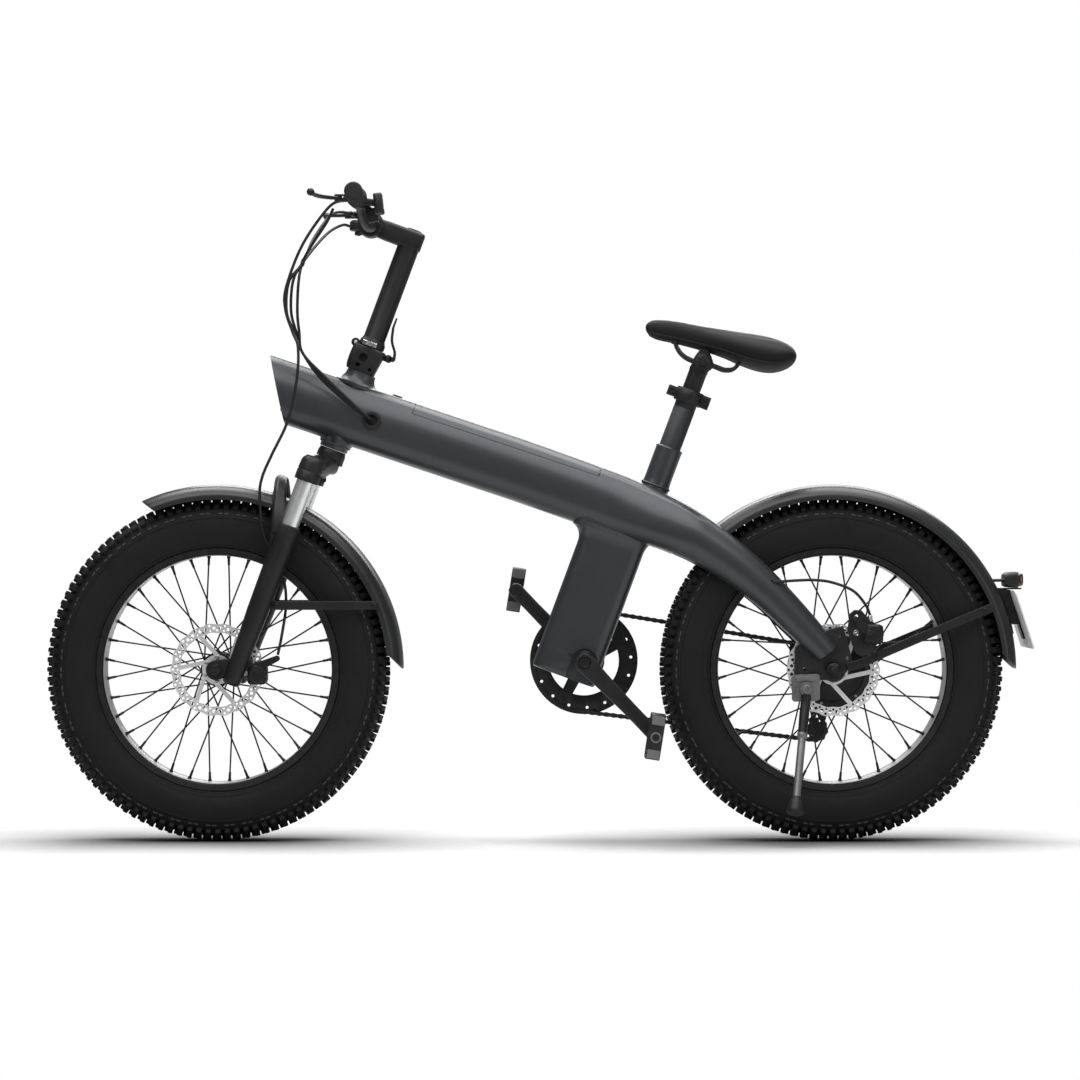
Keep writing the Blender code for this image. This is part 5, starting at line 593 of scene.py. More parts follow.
def brushed_group() -> bpy.types.NodeTree:
    """Bare metal: fine rings of machining round an axis along Y, or drawn lines along X, with smudges."""
    graph, given, out = new_group(
        "bare_metal",
        [("Colour", COLOUR, (0.6, 0.6, 0.6, 1.0)), ("Second Colour", COLOUR, (0.45, 0.45, 0.45, 1.0)),
         ("Stretch", VECTOR, (40.0, 900.0, 900.0)), ("Roughness", FLOAT, 0.3),
         ("Roughness Spread", FLOAT, 0.15), ("Bump", FLOAT, 0.05)],
        [("Colour", COLOUR), ("Roughness", FLOAT), ("Normal", VECTOR)])
    place = graph.add("ShaderNodeTexCoord").outputs["Object"]
    drawn = graph.add("ShaderNodeVectorMath", {0: place, 1: given.outputs["Stretch"]}, operation="MULTIPLY")
    lines = graph.noise(drawn.outputs[0], 1.0, 3.0, 0.55)
    broad = graph.noise(place, 30.0, 5.0, 0.6)
    mixed = graph.math("ADD", graph.math("MULTIPLY", lines, 0.55), graph.math("MULTIPLY", broad, 0.45))
    share = graph.spread(mixed, 0.35, 0.65)
    colour = graph.blend(share, given.outputs["Colour"], given.outputs["Second Colour"])
    swing = graph.math("MULTIPLY", graph.math("SUBTRACT", share, 0.5), given.outputs["Roughness Spread"])
    rough = graph.math("ADD", given.outputs["Roughness"], swing, clamp=True)
    bump = graph.add("ShaderNodeBump", {"Strength": given.outputs["Bump"], "Distance": 0.0002,
                                        "Height": lines})
    for name, value in (("Colour", colour), ("Roughness", rough), ("Normal", bump.outputs[0])):
        graph.tree.links.new(value, out.inputs[name])
    return graph.tree


class Effect(Enum):
    """The shared effects, each built once."""

    GRAIN = "skin_grain"
    WEAR = "edge_wear"
    DUST = "dust_veil"
    METAL = "bare_metal"

    def tree(self) -> bpy.types.NodeTree:
        """The effect's node group."""
        makers = {"skin_grain": grain_group, "edge_wear": wear_group, "dust_veil": dust_group,
                  "bare_metal": brushed_group}
        return bpy.data.node_groups.get(self.value) or makers[self.value]()


def blank_material(name: str) -> tuple[bpy.types.Material, Graph, bpy.types.Node]:
    """A new material, the helper for its nodes and its shader."""
    made = bpy.data.materials.new(name)
    made.use_nodes = True
    return made, Graph(made.node_tree), made.node_tree.nodes["Principled BSDF"]


# Finishes

def tint(value: float, warmth: float = 0.0) -> tuple[float, float, float, float]:
    """A grey, a little warmer or cooler."""
    return (value * (1.0 + warmth), value, value * (1.0 - warmth), 1.0)


@dataclass(frozen=True)
class Finish:
    """A coated, moulded or bare surface.

    Its colour wavers between two tones, its edges may be worn to a third, and dust may lie on it.
    """

    name: str
    slot: str
    colour: tuple[float, float, float, float]
    second: tuple[float, float, float, float]
    roughness: float = 0.5
    spread: float = 0.12
    grain: float = 900.0
    smudge: float = 14.0
    bump: float = 0.1
    depth: float = 0.0003
    metallic: float = 0.0
    coat: float = 0.0
    sheen: float = 0.0
    bare: bool = False
    stretch: tuple[float, float, float] = (40.0, 900.0, 900.0)
    worn: tuple[float, float, float, float] | None = None
    wear: float = 0.5
    wear_radius: float = 0.0012
    dust: float = 0.0
    specular: float = 0.5

    def material(self) -> bpy.types.Material:
        """The finish as a material, built once."""
        found = bpy.data.materials.get(self.name)
        if found is not None:
            return found
        made, graph, shader = blank_material(self.name)
        kind = Effect.METAL if self.bare else Effect.GRAIN
        skin = graph.add("ShaderNodeGroup", node_tree=kind.tree())
        values = {"Colour": self.colour, "Second Colour": self.second, "Roughness": self.roughness,
                  "Roughness Spread": self.spread, "Bump": self.bump}
        if self.bare:
            values["Stretch"] = self.stretch
        else:
            values.update({"Scale": self.grain, "Smudge Scale": self.smudge, "Depth": self.depth})
        for label, value in values.items():
            skin.inputs[label].default_value = value
        colour = skin.outputs["Colour"]
        if self.worn is not None:
            wear = graph.add("ShaderNodeGroup", node_tree=Effect.WEAR.tree())
            wear.inputs["Radius"].default_value = self.wear_radius
            wear.inputs["Amount"].default_value = self.wear
            colour = graph.blend(wear.outputs["Mask"], colour, self.worn)
        if self.dust:
            dust = graph.add("ShaderNodeGroup", node_tree=Effect.DUST.tree())
            dust.inputs["Amount"].default_value = self.dust
            colour = graph.blend(dust.outputs["Mask"], colour, tint(0.22, 0.03))
        links = made.node_tree.links
        links.new(colour, shader.inputs["Base Color"])
        links.new(skin.outputs["Roughness"], shader.inputs["Roughness"])
        links.new(skin.outputs["Normal"], shader.inputs["Normal"])
        shader.inputs["Metallic"].default_value = self.metallic
        shader.inputs["Coat Weight"].default_value = self.coat
        shader.inputs["Coat Roughness"].default_value = 0.18
        shader.inputs["Sheen Weight"].default_value = self.sheen
        shader.inputs["Specular IOR Level"].default_value = self.specular
        return made


@dataclass(frozen=True)
class Lens:
    """A clear or coloured moulded lens, with fine ribs in its bump."""

    name: str
    slot: str
    colour: tuple[float, float, float, float]
    ribs: float = 900.0
    clear: float = 0.55

    def material(self) -> bpy.types.Material:
        """The lens as a material, built once."""
        found = bpy.data.materials.get(self.name)
        if found is not None:
            return found
        made, graph, shader = blank_material(self.name)
        place = graph.add("ShaderNodeTexCoord").outputs["Object"]
        wave = graph.add("ShaderNodeTexWave", {"Vector": place, "Scale": self.ribs}, bands_direction="Y")
        bump = graph.add("ShaderNodeBump",
                         {"Strength": 0.5, "Distance": 0.0006, "Height": wave.outputs["Fac"]})
        deep = tuple(channel * 0.55 for channel in self.colour[:3]) + (1.0,)
        colour = graph.blend(wave.outputs["Fac"], self.colour, deep)
        made.node_tree.links.new(colour, shader.inputs["Base Color"])
        made.node_tree.links.new(bump.outputs[0], shader.inputs["Normal"])
        shader.inputs["Roughness"].default_value = 0.12
        shader.inputs["Transmission Weight"].default_value = self.clear
        shader.inputs["Coat Weight"].default_value = 0.6
        return made


WORN_PAINT = dict(spread=0.10, grain=2600.0, smudge=5.0, bump=0.10, depth=0.0001, worn=tint(0.16), wear=0.35,
                  wear_radius=0.0010, dust=0.05)
PAINT = Finish("frame_paint", "paint", (0.030, 0.0325, 0.036, 1.0), (0.037, 0.040, 0.044, 1.0),
               roughness=0.36, metallic=0.45, coat=0.20, **WORN_PAINT)
# Painted shade: the frame paint made darker, rougher and duller for the wide post, so that it reads as dark
# as the sleeve in the saddle's shadow.
POST_SHADED_PAINT = Finish("post_paint_shaded", "paint", (0.020, 0.0218, 0.024, 1.0), (0.025, 0.0270, 0.030, 1.0),
              roughness=0.52, metallic=0.30, coat=0.05, specular=0.35, **WORN_PAINT)
BLACK = Finish("black_coating", "black", tint(0.0085, -0.03), tint(0.0125, -0.02), roughness=0.42,
               spread=0.16, grain=1800.0, smudge=18.0, bump=0.16, depth=0.00015, metallic=0.2,
               worn=tint(0.10), wear=0.35, wear_radius=0.0008, dust=0.05, specular=0.30)
RIM = Finish("rim_anodised", "rim", tint(0.020), tint(0.028), roughness=0.34, spread=0.14, metallic=0.75,
             bare=True, stretch=(90.0, 1600.0, 90.0), bump=0.06, worn=tint(0.20), wear=0.30, dust=0.08)
# Painted reflection: a light grey metal for the rim's inner bed, in place of the dark rim's own colour, for
# the light that the bed catches at a grazing angle.
BED_PAINTED_REFLECTION = Finish("rim_bed_painted_reflection", "rim", tint(0.34), tint(0.42), roughness=0.38, spread=0.12, metallic=0.55,
             bare=True, stretch=(90.0, 1600.0, 90.0), bump=0.05)
TYRE = Finish("tyre_rubber", "tyre", tint(0.0060), tint(0.0090, 0.02), roughness=0.62, spread=0.16,
              grain=1300.0, smudge=20.0, bump=0.30, depth=0.0003, worn=tint(0.022, 0.03), wear=0.4,
              wear_radius=0.0016, dust=0.03, specular=0.16)
# Rubber for the raised dashes, a lighter grey than the tyre's.
DASH = Finish("dash_rubber_grey", "tyre", tint(0.030), tint(0.050, 0.02), roughness=0.60, spread=0.16,
              grain=1300.0, smudge=30.0, bump=0.30, depth=0.0003, dust=0.10, specular=0.25)
RUBBER = Finish("soft_rubber", "rubber", tint(0.0075), tint(0.0110), roughness=0.58, spread=0.16,
                grain=1500.0, smudge=40.0, bump=0.25, depth=0.0002, dust=0.03, specular=0.28)
PLASTIC = Finish("moulded_plastic", "plastic", tint(0.0085, -0.02), tint(0.0125), roughness=0.44,
                 spread=0.16, grain=1500.0, smudge=22.0, bump=0.30, depth=0.0002, worn=tint(0.05),
                 wear=0.3, dust=0.03, specular=0.32)
GUARD = Finish("fender_plastic", "plastic", tint(0.0110, -0.03), tint(0.0150, -0.02), roughness=0.34,
               spread=0.12, grain=1400.0, smudge=9.0, bump=0.15, depth=0.0001, dust=0.02, specular=0.42)
CHROME = Finish("polished_tube", "steel", tint(0.80, -0.01), tint(0.72, -0.01), roughness=0.34,
                spread=0.10, metallic=1.0, bare=True, stretch=(600.0, 600.0, 30.0), bump=0.02)
STEEL = Finish("plated_steel", "steel", tint(0.50), tint(0.36), roughness=0.30, spread=0.20, metallic=1.0,
               bare=True, stretch=(300.0, 1200.0, 300.0), bump=0.08)
DISC = Finish("disc_steel", "steel", tint(0.78), tint(0.62), roughness=0.36, spread=0.18, metallic=0.75,
              bare=True, stretch=(420.0, 30.0, 420.0), bump=0.10)
LINKS = Finish("chain_steel", "steel", tint(0.040, 0.02), tint(0.022, 0.02), roughness=0.36, spread=0.22,
               metallic=0.8, bare=True, stretch=(500.0, 900.0, 500.0), bump=0.10)
GREY = Finish("cast_grey", "grey", tint(0.125), tint(0.165), roughness=0.48, spread=0.16, grain=1100.0,
              smudge=30.0, bump=0.25, depth=0.0002, metallic=0.5, worn=tint(0.30), wear=0.4)
ALLOY = Finish("dull_alloy", "grey", tint(0.14), tint(0.20), roughness=0.42, spread=0.16, grain=900.0,
               smudge=24.0, bump=0.20, depth=0.0001, metallic=0.6, dust=0.02)
PLATE = Finish("plate_face", "plate", tint(0.62), tint(0.70), roughness=0.45, spread=0.12, grain=1600.0,
               smudge=12.0, bump=0.12, depth=0.0002, worn=tint(0.45), wear=0.3)
COVER = Finish("saddle_cover", "cover", tint(0.0062), tint(0.0090), roughness=0.62, spread=0.14,
               grain=1250.0, smudge=16.0, bump=0.40, depth=0.0003, specular=0.15)
SCREEN = Finish("screen_glass", "plastic", (0.010, 0.012, 0.014, 1.0), (0.013, 0.015, 0.017, 1.0),
                roughness=0.10, spread=0.06, grain=300.0, smudge=40.0, bump=0.01, coat=0.6)
RED_LENS = Lens("red_lens", "lens", (0.060, 0.003, 0.003, 1.0), 260.0, 0.20)
CLEAR_LENS = Lens("clear_lens", "clear", (0.75, 0.78, 0.80, 1.0), 300.0, 0.75)


# Placing pieces

def place(name: str, mesh: bpy.types.Mesh, look: Finish | Lens, carrier: str | tuple,
          nodes: Sequence[str] = ()) -> bpy.types.Object:
    """Puts a finished mesh into the scene.

    Args:
        name: Name of the piece.
        mesh: Its mesh, already where it belongs.
        look: Its finish.
        carrier: The body that it rides on, or a tuple of first body, second body, start and end of a blend;
            a tuple's contents are not used and the piece rides on no body.
        nodes: The CAD nodes that it stands for.

    Returns:
        The new object.
    """
    mesh.name = name
    mesh.materials.clear()
    mesh.materials.append(look.material())
    made = in_scene(name, mesh)
    if isinstance(carrier, str):
        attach(made, carrier)
    else:
        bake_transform(made)
    if nodes:
        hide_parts(*nodes)
    LOG.info("%s: %d faces", name, len(mesh.polygons))
    return made


def dress(node: str, look: Finish | Lens) -> None:
    """Gives a CAD node its finish."""
    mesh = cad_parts[node].data
    mesh.materials.clear()
    mesh.materials.append(look.material())


# Wheels

@dataclass
class Wheel:
    """One wheel: tyre, rim, hub with its spokes, and brake disc."""

    name: str
    centre: Array
    body: str
    hub_node: str
    spoke_circle: float
    flange: float
    cross: float
    disc: float
    tyre_radius: float = 0.2958
    root: float = 0.2884
    flange_radius: float = 0.2085
    rim_half: float = 0.0400
    pitches: int = 54
    spokes: int = 36
    disc_radius: float = 0.0800
    bolt_circle: float = 0.0205
    steps: int = 162
    valve_angle: float = 62.0

    def casing(self) -> list[tuple[float, float]]:
        """Radius and half width of the tyre's outside, from its bead to the middle of the tread."""
        return [(0.2030, 0.0360), (0.2072, 0.0366), (0.2098, 0.0384), (0.2112, 0.0400), (0.2124, 0.0406),
                (0.2136, 0.0404), (0.2150, 0.0418), (0.2166, 0.0426), (0.2184, 0.0426), (0.2230, 0.0450),
                (0.2300, 0.0472), (0.2390, 0.0487), (0.2480, 0.0490), (0.2560, 0.0486), (0.2594, 0.0481),
                (0.2600, 0.0489), (0.2610, 0.0489), (0.2616, 0.0477), (0.2680, 0.0462), (0.2745, 0.0436),
                (0.2800, 0.0395), (0.2838, 0.0330), (0.2862, 0.0240), (0.2878, 0.0130), (self.root, 0.0)]

    def surface(self, across: Array) -> tuple[Array, Array]:
        """Radius of the casing at places across it, and the outward lean of its face there."""
        radius, width = np.array(self.casing()).T
        high = radius > 0.262
        there = np.interp(np.abs(across), width[high][::-1], radius[high][::-1])
        slope = np.gradient(radius[high][::-1], width[high][::-1])
        turn = np.arctan(-np.interp(np.abs(across), width[high][::-1], slope)) * np.sign(across)
        return there, turn

    def tyre(self) -> bpy.types.Mesh:
        """The casing turned from its profile, with rows of knobs standing on it.

        A knob is a frustum on the casing: its corners go out along the casing's normal, around the wheel
        by its length and across by its width, and its top is smaller than its foot.
        """
        half = self.casing()
        outer = half + [(radius, -width) for radius, width in half[-2::-1]]
        inner = [(0.2030, -0.0300), (0.2300, -0.0400), (0.2600, -0.0380), (0.2790, -0.0200), (0.2810, 0.0),
                 (0.2790, 0.0200), (0.2600, 0.0380), (0.2300, 0.0400), (0.2030, 0.0300)]
        skin = Skin().lathe(outer + inner, self.centre, SIDE, self.steps, ring=True)
        rows = ((0.0066, 0.0, 0.0064, 0.0100, 0.0072, 0.12), (0.0188, 0.02, 0.0068, 0.0102, 0.0078, -0.16),
                (0.0302, 0.0, 0.0074, 0.0106, 0.0086, 0.12), (0.0402, 0.03, 0.0096, 0.0116, 0.0080, 0.0))
        for offset, phase, long, wide, high, skew in rows:
            for hand in (-1.0, 1.0):
                for pair in (0.0, 0.5):
                    skin.grids(self.knobs(hand * offset, phase + pair + (0.25 if hand > 0 else 0.0),
                                          long * (1.0 + 0.2 * pair), wide, high, skew * hand))
        return skin.mesh(f"{self.name}_tyre", 30.0)

    def side_marks(self) -> bpy.types.Mesh:
        """The pairs of raised dashes round each side of the tyre."""
        skin = Skin()
        for hand in (-1.0, 1.0):
            for shift in (0.0, 0.34):
                skin.grids(self.knobs(hand * 0.0467, shift, 0.0078, 0.0024, 0.0012, 0.0))
        return skin.mesh(f"{self.name}_tyre_dashes", 30.0)

    def knobs(self, across: float, phase: float, long: float, wide: float, high: float,
              skew: float) -> Array:
        """One ring of knobs: copies x 4 levels x 8 points of a cut-cornered rectangle x 3."""
        shape = np.array([(1, 0.6), (0.7, 1), (-0.7, 1), (-1, 0.6), (-1, -0.6), (-0.7, -1), (0.7, -1),
                          (1, -0.6)])
        around = shape[:, 0] * long / 2.0
        side = shape[:, 1] * wide / 2.0
        turned = np.stack([around * math.cos(skew) - side * math.sin(skew),
                           around * math.sin(skew) + side * math.cos(skew)], -1)
        levels = np.array([-0.002, high * 0.55, high * 0.93, high])
        scale = np.array([1.12, 1.0, 0.94, 0.84])
        radius, tilt = self.surface(np.array([across]))
        foot, slant = float(radius[0]), float(tilt[0])
        flat = scale[:, None, None] * turned[None]
        out = foot + levels[:, None] * math.cos(slant) - flat[..., 1] * math.sin(slant)
        out = np.minimum(out, self.tyre_radius)
        aside = across + levels[:, None] * math.sin(slant) + flat[..., 1] * math.cos(slant)
        angle = (np.arange(self.pitches) + phase) * 2.0 * np.pi / self.pitches
        spin = angle[:, None, None] + (flat[..., 0] / foot)[None]
        return self.centre + np.stack([out * np.cos(spin), np.broadcast_to(aside, spin.shape),
                                       out * np.sin(spin)], -1)

    def rim(self) -> bpy.types.Mesh:
        """The rim turned from its section, with hooked flanges and sloping walls."""
        half = [(self.flange_radius - 0.0004, self.rim_half), (self.flange_radius, self.rim_half - 0.0012),
                (self.flange_radius - 0.0004, self.rim_half - 0.0026), (0.2040, self.rim_half - 0.0030),
                (0.2010, self.rim_half - 0.0044), (0.2004, 0.0180), (0.1996, 0.0)]
        under = [(0.1962, 0.0), (0.1962, 0.0060), (0.1966, 0.0072), (0.1968, 0.0200), (0.1966, 0.0330),
                 (0.1966, self.rim_half - 0.0035), (0.1974, self.rim_half - 0.0014), (0.1990, self.rim_half)]
        top = half + [(radius, -side) for radius, side in half[-2::-1]]
        return Skin().lathe(top + both_sides(under, under), self.centre, SIDE, self.steps,
                            ring=True).mesh(f"{self.name}_rim", 32.0)

    def bed_mesh(self) -> bpy.types.Mesh:
        """The rim's inner bed, drawn bright as a painted reflection: a thin band with a raised line where
        the spokes enter.
        """
        half = [(0.1952, 0.0), (0.1952, 0.0056), (0.1958, 0.0070), (0.1961, 0.0200), (0.1958, 0.0330),
                (0.1960, self.rim_half - 0.0036), (0.1965, self.rim_half - 0.0032)]
        side = [*half, (0.1967, self.rim_half - 0.0034)]
        return Skin().lathe(both_sides(side, side), self.centre, SIDE, self.steps,
                            ring=True).mesh(f"{self.name}_bed", 32.0)

    def spoke_set(self) -> tuple[Array, Array, Array]:
        """Both ends of every spoke and the way that it leans.

        A spoke's angle at the hub = its angle at the rim, plus or minus the crossing angle.
        """
        slot = np.arange(self.spokes)
        side = np.where(slot % 4 < 2, -1.0, 1.0)
        turn = np.where(slot % 2 == 0, -1.0, 1.0)
        rim_angle = 2.0 * np.pi * (slot + 0.5) / self.spokes
        hub_angle = rim_angle + turn * math.radians(self.cross)
        inner = np.stack([self.spoke_circle * np.cos(hub_angle), side * self.flange + turn * 0.0022,
                          self.spoke_circle * np.sin(hub_angle)], -1)
        outer = np.stack([0.1950 * np.cos(rim_angle), side * 0.0100, 0.1950 * np.sin(rim_angle)], -1)
        return self.centre + inner, self.centre + outer, turn

    def spoke_mesh(self) -> bpy.types.Mesh:
        """Round spokes, each with its head outside the flange and a thicker nipple in the rim."""
        inner, outer, turn = self.spoke_set()
        skin = Skin().rods(inner, outer, ((0, -0.001, 0.0013), (0, 0.002, 0.0014), (1, -0.0160, 0.0014),
                                          (1, -0.0150, 0.0021), (1, -0.0030, 0.0024), (1, -0.0028, 0.0032),
                                          (1, 0.0006, 0.0032)), 8)
        heads = inner + SIDE * turn[:, None] * 0.0010
        return skin.rods(heads - SIDE * turn[:, None] * 0.0034, heads, (
            (0, 0, 0.0011), (1, -0.0008, 0.0012), (1, -0.0006, 0.0023), (1, 0.0002, 0.0018)), 8).mesh(
            f"{self.name}_spokes")

    def shell(self, hub: Sequence, name: str) -> bpy.types.Mesh:
        """A hub's shell turned from its section."""
        return Skin().lathe(hub, self.centre, SIDE, 72, ring=True).mesh(name, 30.0)

    def disc_mesh(self) -> bpy.types.Mesh:
        """A brake disc: wavy inside and out, drilled in slanting rows, on six slanting arms.

        Outer radius = R - depth (1 - cos 18a) / 2, and the windows' outer edge waves the same way.
        """
        mid = side_view(self.centre)
        angle = np.arange(216) * 2.0 * np.pi / 216
        wave = self.disc_radius - 0.0011 * (1.0 - np.cos(18.0 * angle))
        outline = np.stack([mid[0] + wave * np.cos(angle), mid[1] + wave * np.sin(angle)], -1)
        holes = [round_plate(mid, 0.0125, 32)]
        for i in range(6):
            base = i * np.pi / 3.0
            low = base + np.radians(np.linspace(-19, 19, 7))
            high = base + math.radians(27.0) + np.radians(np.linspace(26.4, -26.4, 13))
            near = np.stack([0.0255 * np.cos(low), 0.0255 * np.sin(low)], -1)
            reach = 0.0636 + 0.0008 * np.cos(18.0 * high)
            far = np.stack([reach * np.cos(high), reach * np.sin(high)], -1)
            holes.append(np.concatenate([near, far]) + mid)
        for i in range(18):
            base = i * 2.0 * np.pi / 18
            for row, shift, size in ((0.0677, 0.175, 0.0021), (0.0716, 0.10, 0.0029), (0.0716, 0.25, 0.0029),
                                     (0.0760, 0.0, 0.0023), (0.0677, 0.0, 0.0018)):
                spot = (mid[0] + row * math.cos(base + shift), mid[1] + row * math.sin(base + shift))
                holes.append(round_plate(spot, size, 10))
        for i in range(6):
            holes.append(round_plate(side_view(self.bolt_place(i)), 0.0027, 10))
        middle = self.disc
        return perforated(outline, holes, middle - 0.0009, middle + 0.0009, f"{self.name}_disc")

    def bolt_place(self, number: int) -> Array:
        """One disc bolt's place, at the middle plane."""
        return polar(self.centre, self.bolt_circle, 60.0 * number + 30.0)

    def disc_bolts(self) -> bpy.types.Mesh:
        """Six button-headed bolts that hold the disc, each with a round recess."""
        spots = np.array([self.bolt_place(i) + SIDE * (self.disc - 0.0009) for i in range(6)])
        stations = ((0, -0.001, 0.0030), (0, 0.0012, 0.0042), (0, 0.0024, 0.0036), (0, 0.0028, 0.0022),
                    (0, 0.0016, 0.0016))
        return Skin().rods(spots, spots - SIDE * 0.01, stations, 12).mesh(f"{self.name}_disc_bolts")

    def valve(self) -> bpy.types.Mesh:
        """The tyre's valve: a stem along a radius of the wheel, with a wider foot and a cap."""
        foot = polar(self.centre, 0.1990, self.valve_angle)
        tip = polar(self.centre, 0.1620, self.valve_angle)
        stations = ((0, 0, 0.0050), (0, 0.006, 0.0046), (0, 0.008, 0.0030), (0, 0.022, 0.0028),
                    (0, 0.0222, 0.0040), (1, -0.002, 0.0039), (1, 0, 0.0030))
        return Skin().rods(foot, tip, stations, 14).mesh(f"{self.name}_valve")

    def build(self) -> None:
        """Places the tyre, rim, hub, spokes, disc, bolts and valve."""
        name = self.name
        place(f"{name}_tread", self.tyre(), TYRE, self.body, [f"{name}_tyre"])
        place(f"{name}_tyre_dashes", self.side_marks(), DASH, self.body)
        place(f"{name}_wide_rim", self.rim(), RIM, self.body, [f"{name}_rim"])
        place(f"{name}_rim_bed", self.bed_mesh(), BED_PAINTED_REFLECTION, self.body)
        place(f"{name}_spoking", self.spoke_mesh(), BLACK, self.body)
        place(f"{name}_hub_shell", self.shell(self.hub_profile(), f"{name}_hub"), BLACK, self.body,
              [self.hub_node])
        place(f"{name}_brake_disc", self.disc_mesh(), DISC, self.body, [f"{name}_rotor"])
        place(f"{name}_disc_screws", self.disc_bolts(), STEEL, self.body)
        place(f"{name}_valve_stem", self.valve(), RUBBER, self.body)

    def hub_profile(self) -> list[tuple[float, float]]:
        """The hub's section; each kind of wheel gives its own."""
        raise NotImplementedError


class FrontWheel(Wheel):
    """The front wheel, on a narrow turned hub."""

    def hub_profile(self) -> list[tuple[float, float]]:
        """A waisted barrel between two dished flanges, with a seat for the disc."""
        half = [(0.0150, 0.0), (0.0152, 0.0200), (0.0170, 0.0270), (0.0210, 0.0310), (0.0275, 0.0328),
                (0.0290, 0.0338), (0.0290, 0.0384), (0.0282, 0.0394), (0.0180, 0.0404), (0.0170, 0.0440)]
        right = half + [(0.0135, 0.0450), (0.0125, 0.0540), (0.0112, 0.0560), (0.0066, 0.0560)]
        left = half + [(0.0225, 0.0452), (0.0225, 0.0487), (0.0122, 0.0487), (0.0122, 0.0552),
                       (0.0110, 0.0560), (0.0066, 0.0560)]
        return both_sides(left, right)


class RearWheel(Wheel):
    """The rear wheel, on a hub motor."""

    def hub_profile(self) -> list[tuple[float, float]]:
        """A drum between two spoke flanges, with stepped covers, ribs and a seat for the disc."""
        half = [(0.0672, 0.0), (0.0672, 0.0200), (0.0680, 0.0240), (0.0722, 0.0250), (0.0730, 0.0256),
                (0.0730, 0.0304), (0.0722, 0.0312), (0.0690, 0.0318), (0.0672, 0.0340), (0.0640, 0.0372),
                (0.0600, 0.0388), (0.0560, 0.0400), (0.0545, 0.0392), (0.0530, 0.0404), (0.0440, 0.0412),
                (0.0330, 0.0418)]
        right = half + [(0.0240, 0.0420), (0.0200, 0.0440), (0.0180, 0.0478), (0.0076, 0.0478)]
        left = half + [(0.0290, 0.0430), (0.0280, 0.0458), (0.0242, 0.0470), (0.0238, 0.0647),
                       (0.0122, 0.0647), (0.0122, 0.0716), (0.0076, 0.0718)]
        return both_sides(left, right)

    def cover_bolts(self) -> bpy.types.Mesh:
        """Small screws round the motor's left cover."""
        spots = np.array([polar(self.centre, 0.0605, 60.0 * i + 12.0, -0.0386) for i in range(6)])
        stations = ((0, -0.001, 0.0024), (0, 0.0012, 0.0026), (0, 0.0018, 0.0018), (0, 0.0010, 0.0010))
        return Skin().rods(spots, spots - SIDE * 0.01, stations, 10).mesh("motor_cover_screws")

    def axle(self) -> bpy.types.Mesh:
        """The motor's fixed axle: a rod, and at each end two washers and a nut."""
        half = 0.1080
        skin = Skin().rods(self.centre - SIDE * half, self.centre + SIDE * half,
                           eased_bar(0.0048, 0.0058, 0.0008), 28)
        for side in (-1.0, 1.0):
            face = self.centre + SIDE * side * 0.0899
            out = SIDE * side * 0.010
            skin.rods(face, face + out, ((0, 0.0003, 0.0124), (0, 0.0016, 0.0124), (0, 0.0020, 0.0118)), 40)
            skin.rods(face, face + out, ((0, 0.0018, 0.0118), (0, 0.0030, 0.0118), (0, 0.0040, 0.0106)), 40)
            skin.rods(face, face + out, ((0, 0.0030, 0.0100), (0, 0.0044, 0.0108), (0, 0.0122, 0.0108),
                                         (0, 0.0138, 0.0094)), 6)
        return skin.mesh("motor_axle", 28.0)

    def build(self) -> None:
        """Places the wheel, the motor's screws and its axle."""
        super().build()
        place("motor_cover_screws", self.cover_bolts(), STEEL, self.body)
        place("motor_axle", self.axle(), BLACK, "frame", ["rear_axle"])


# Fork

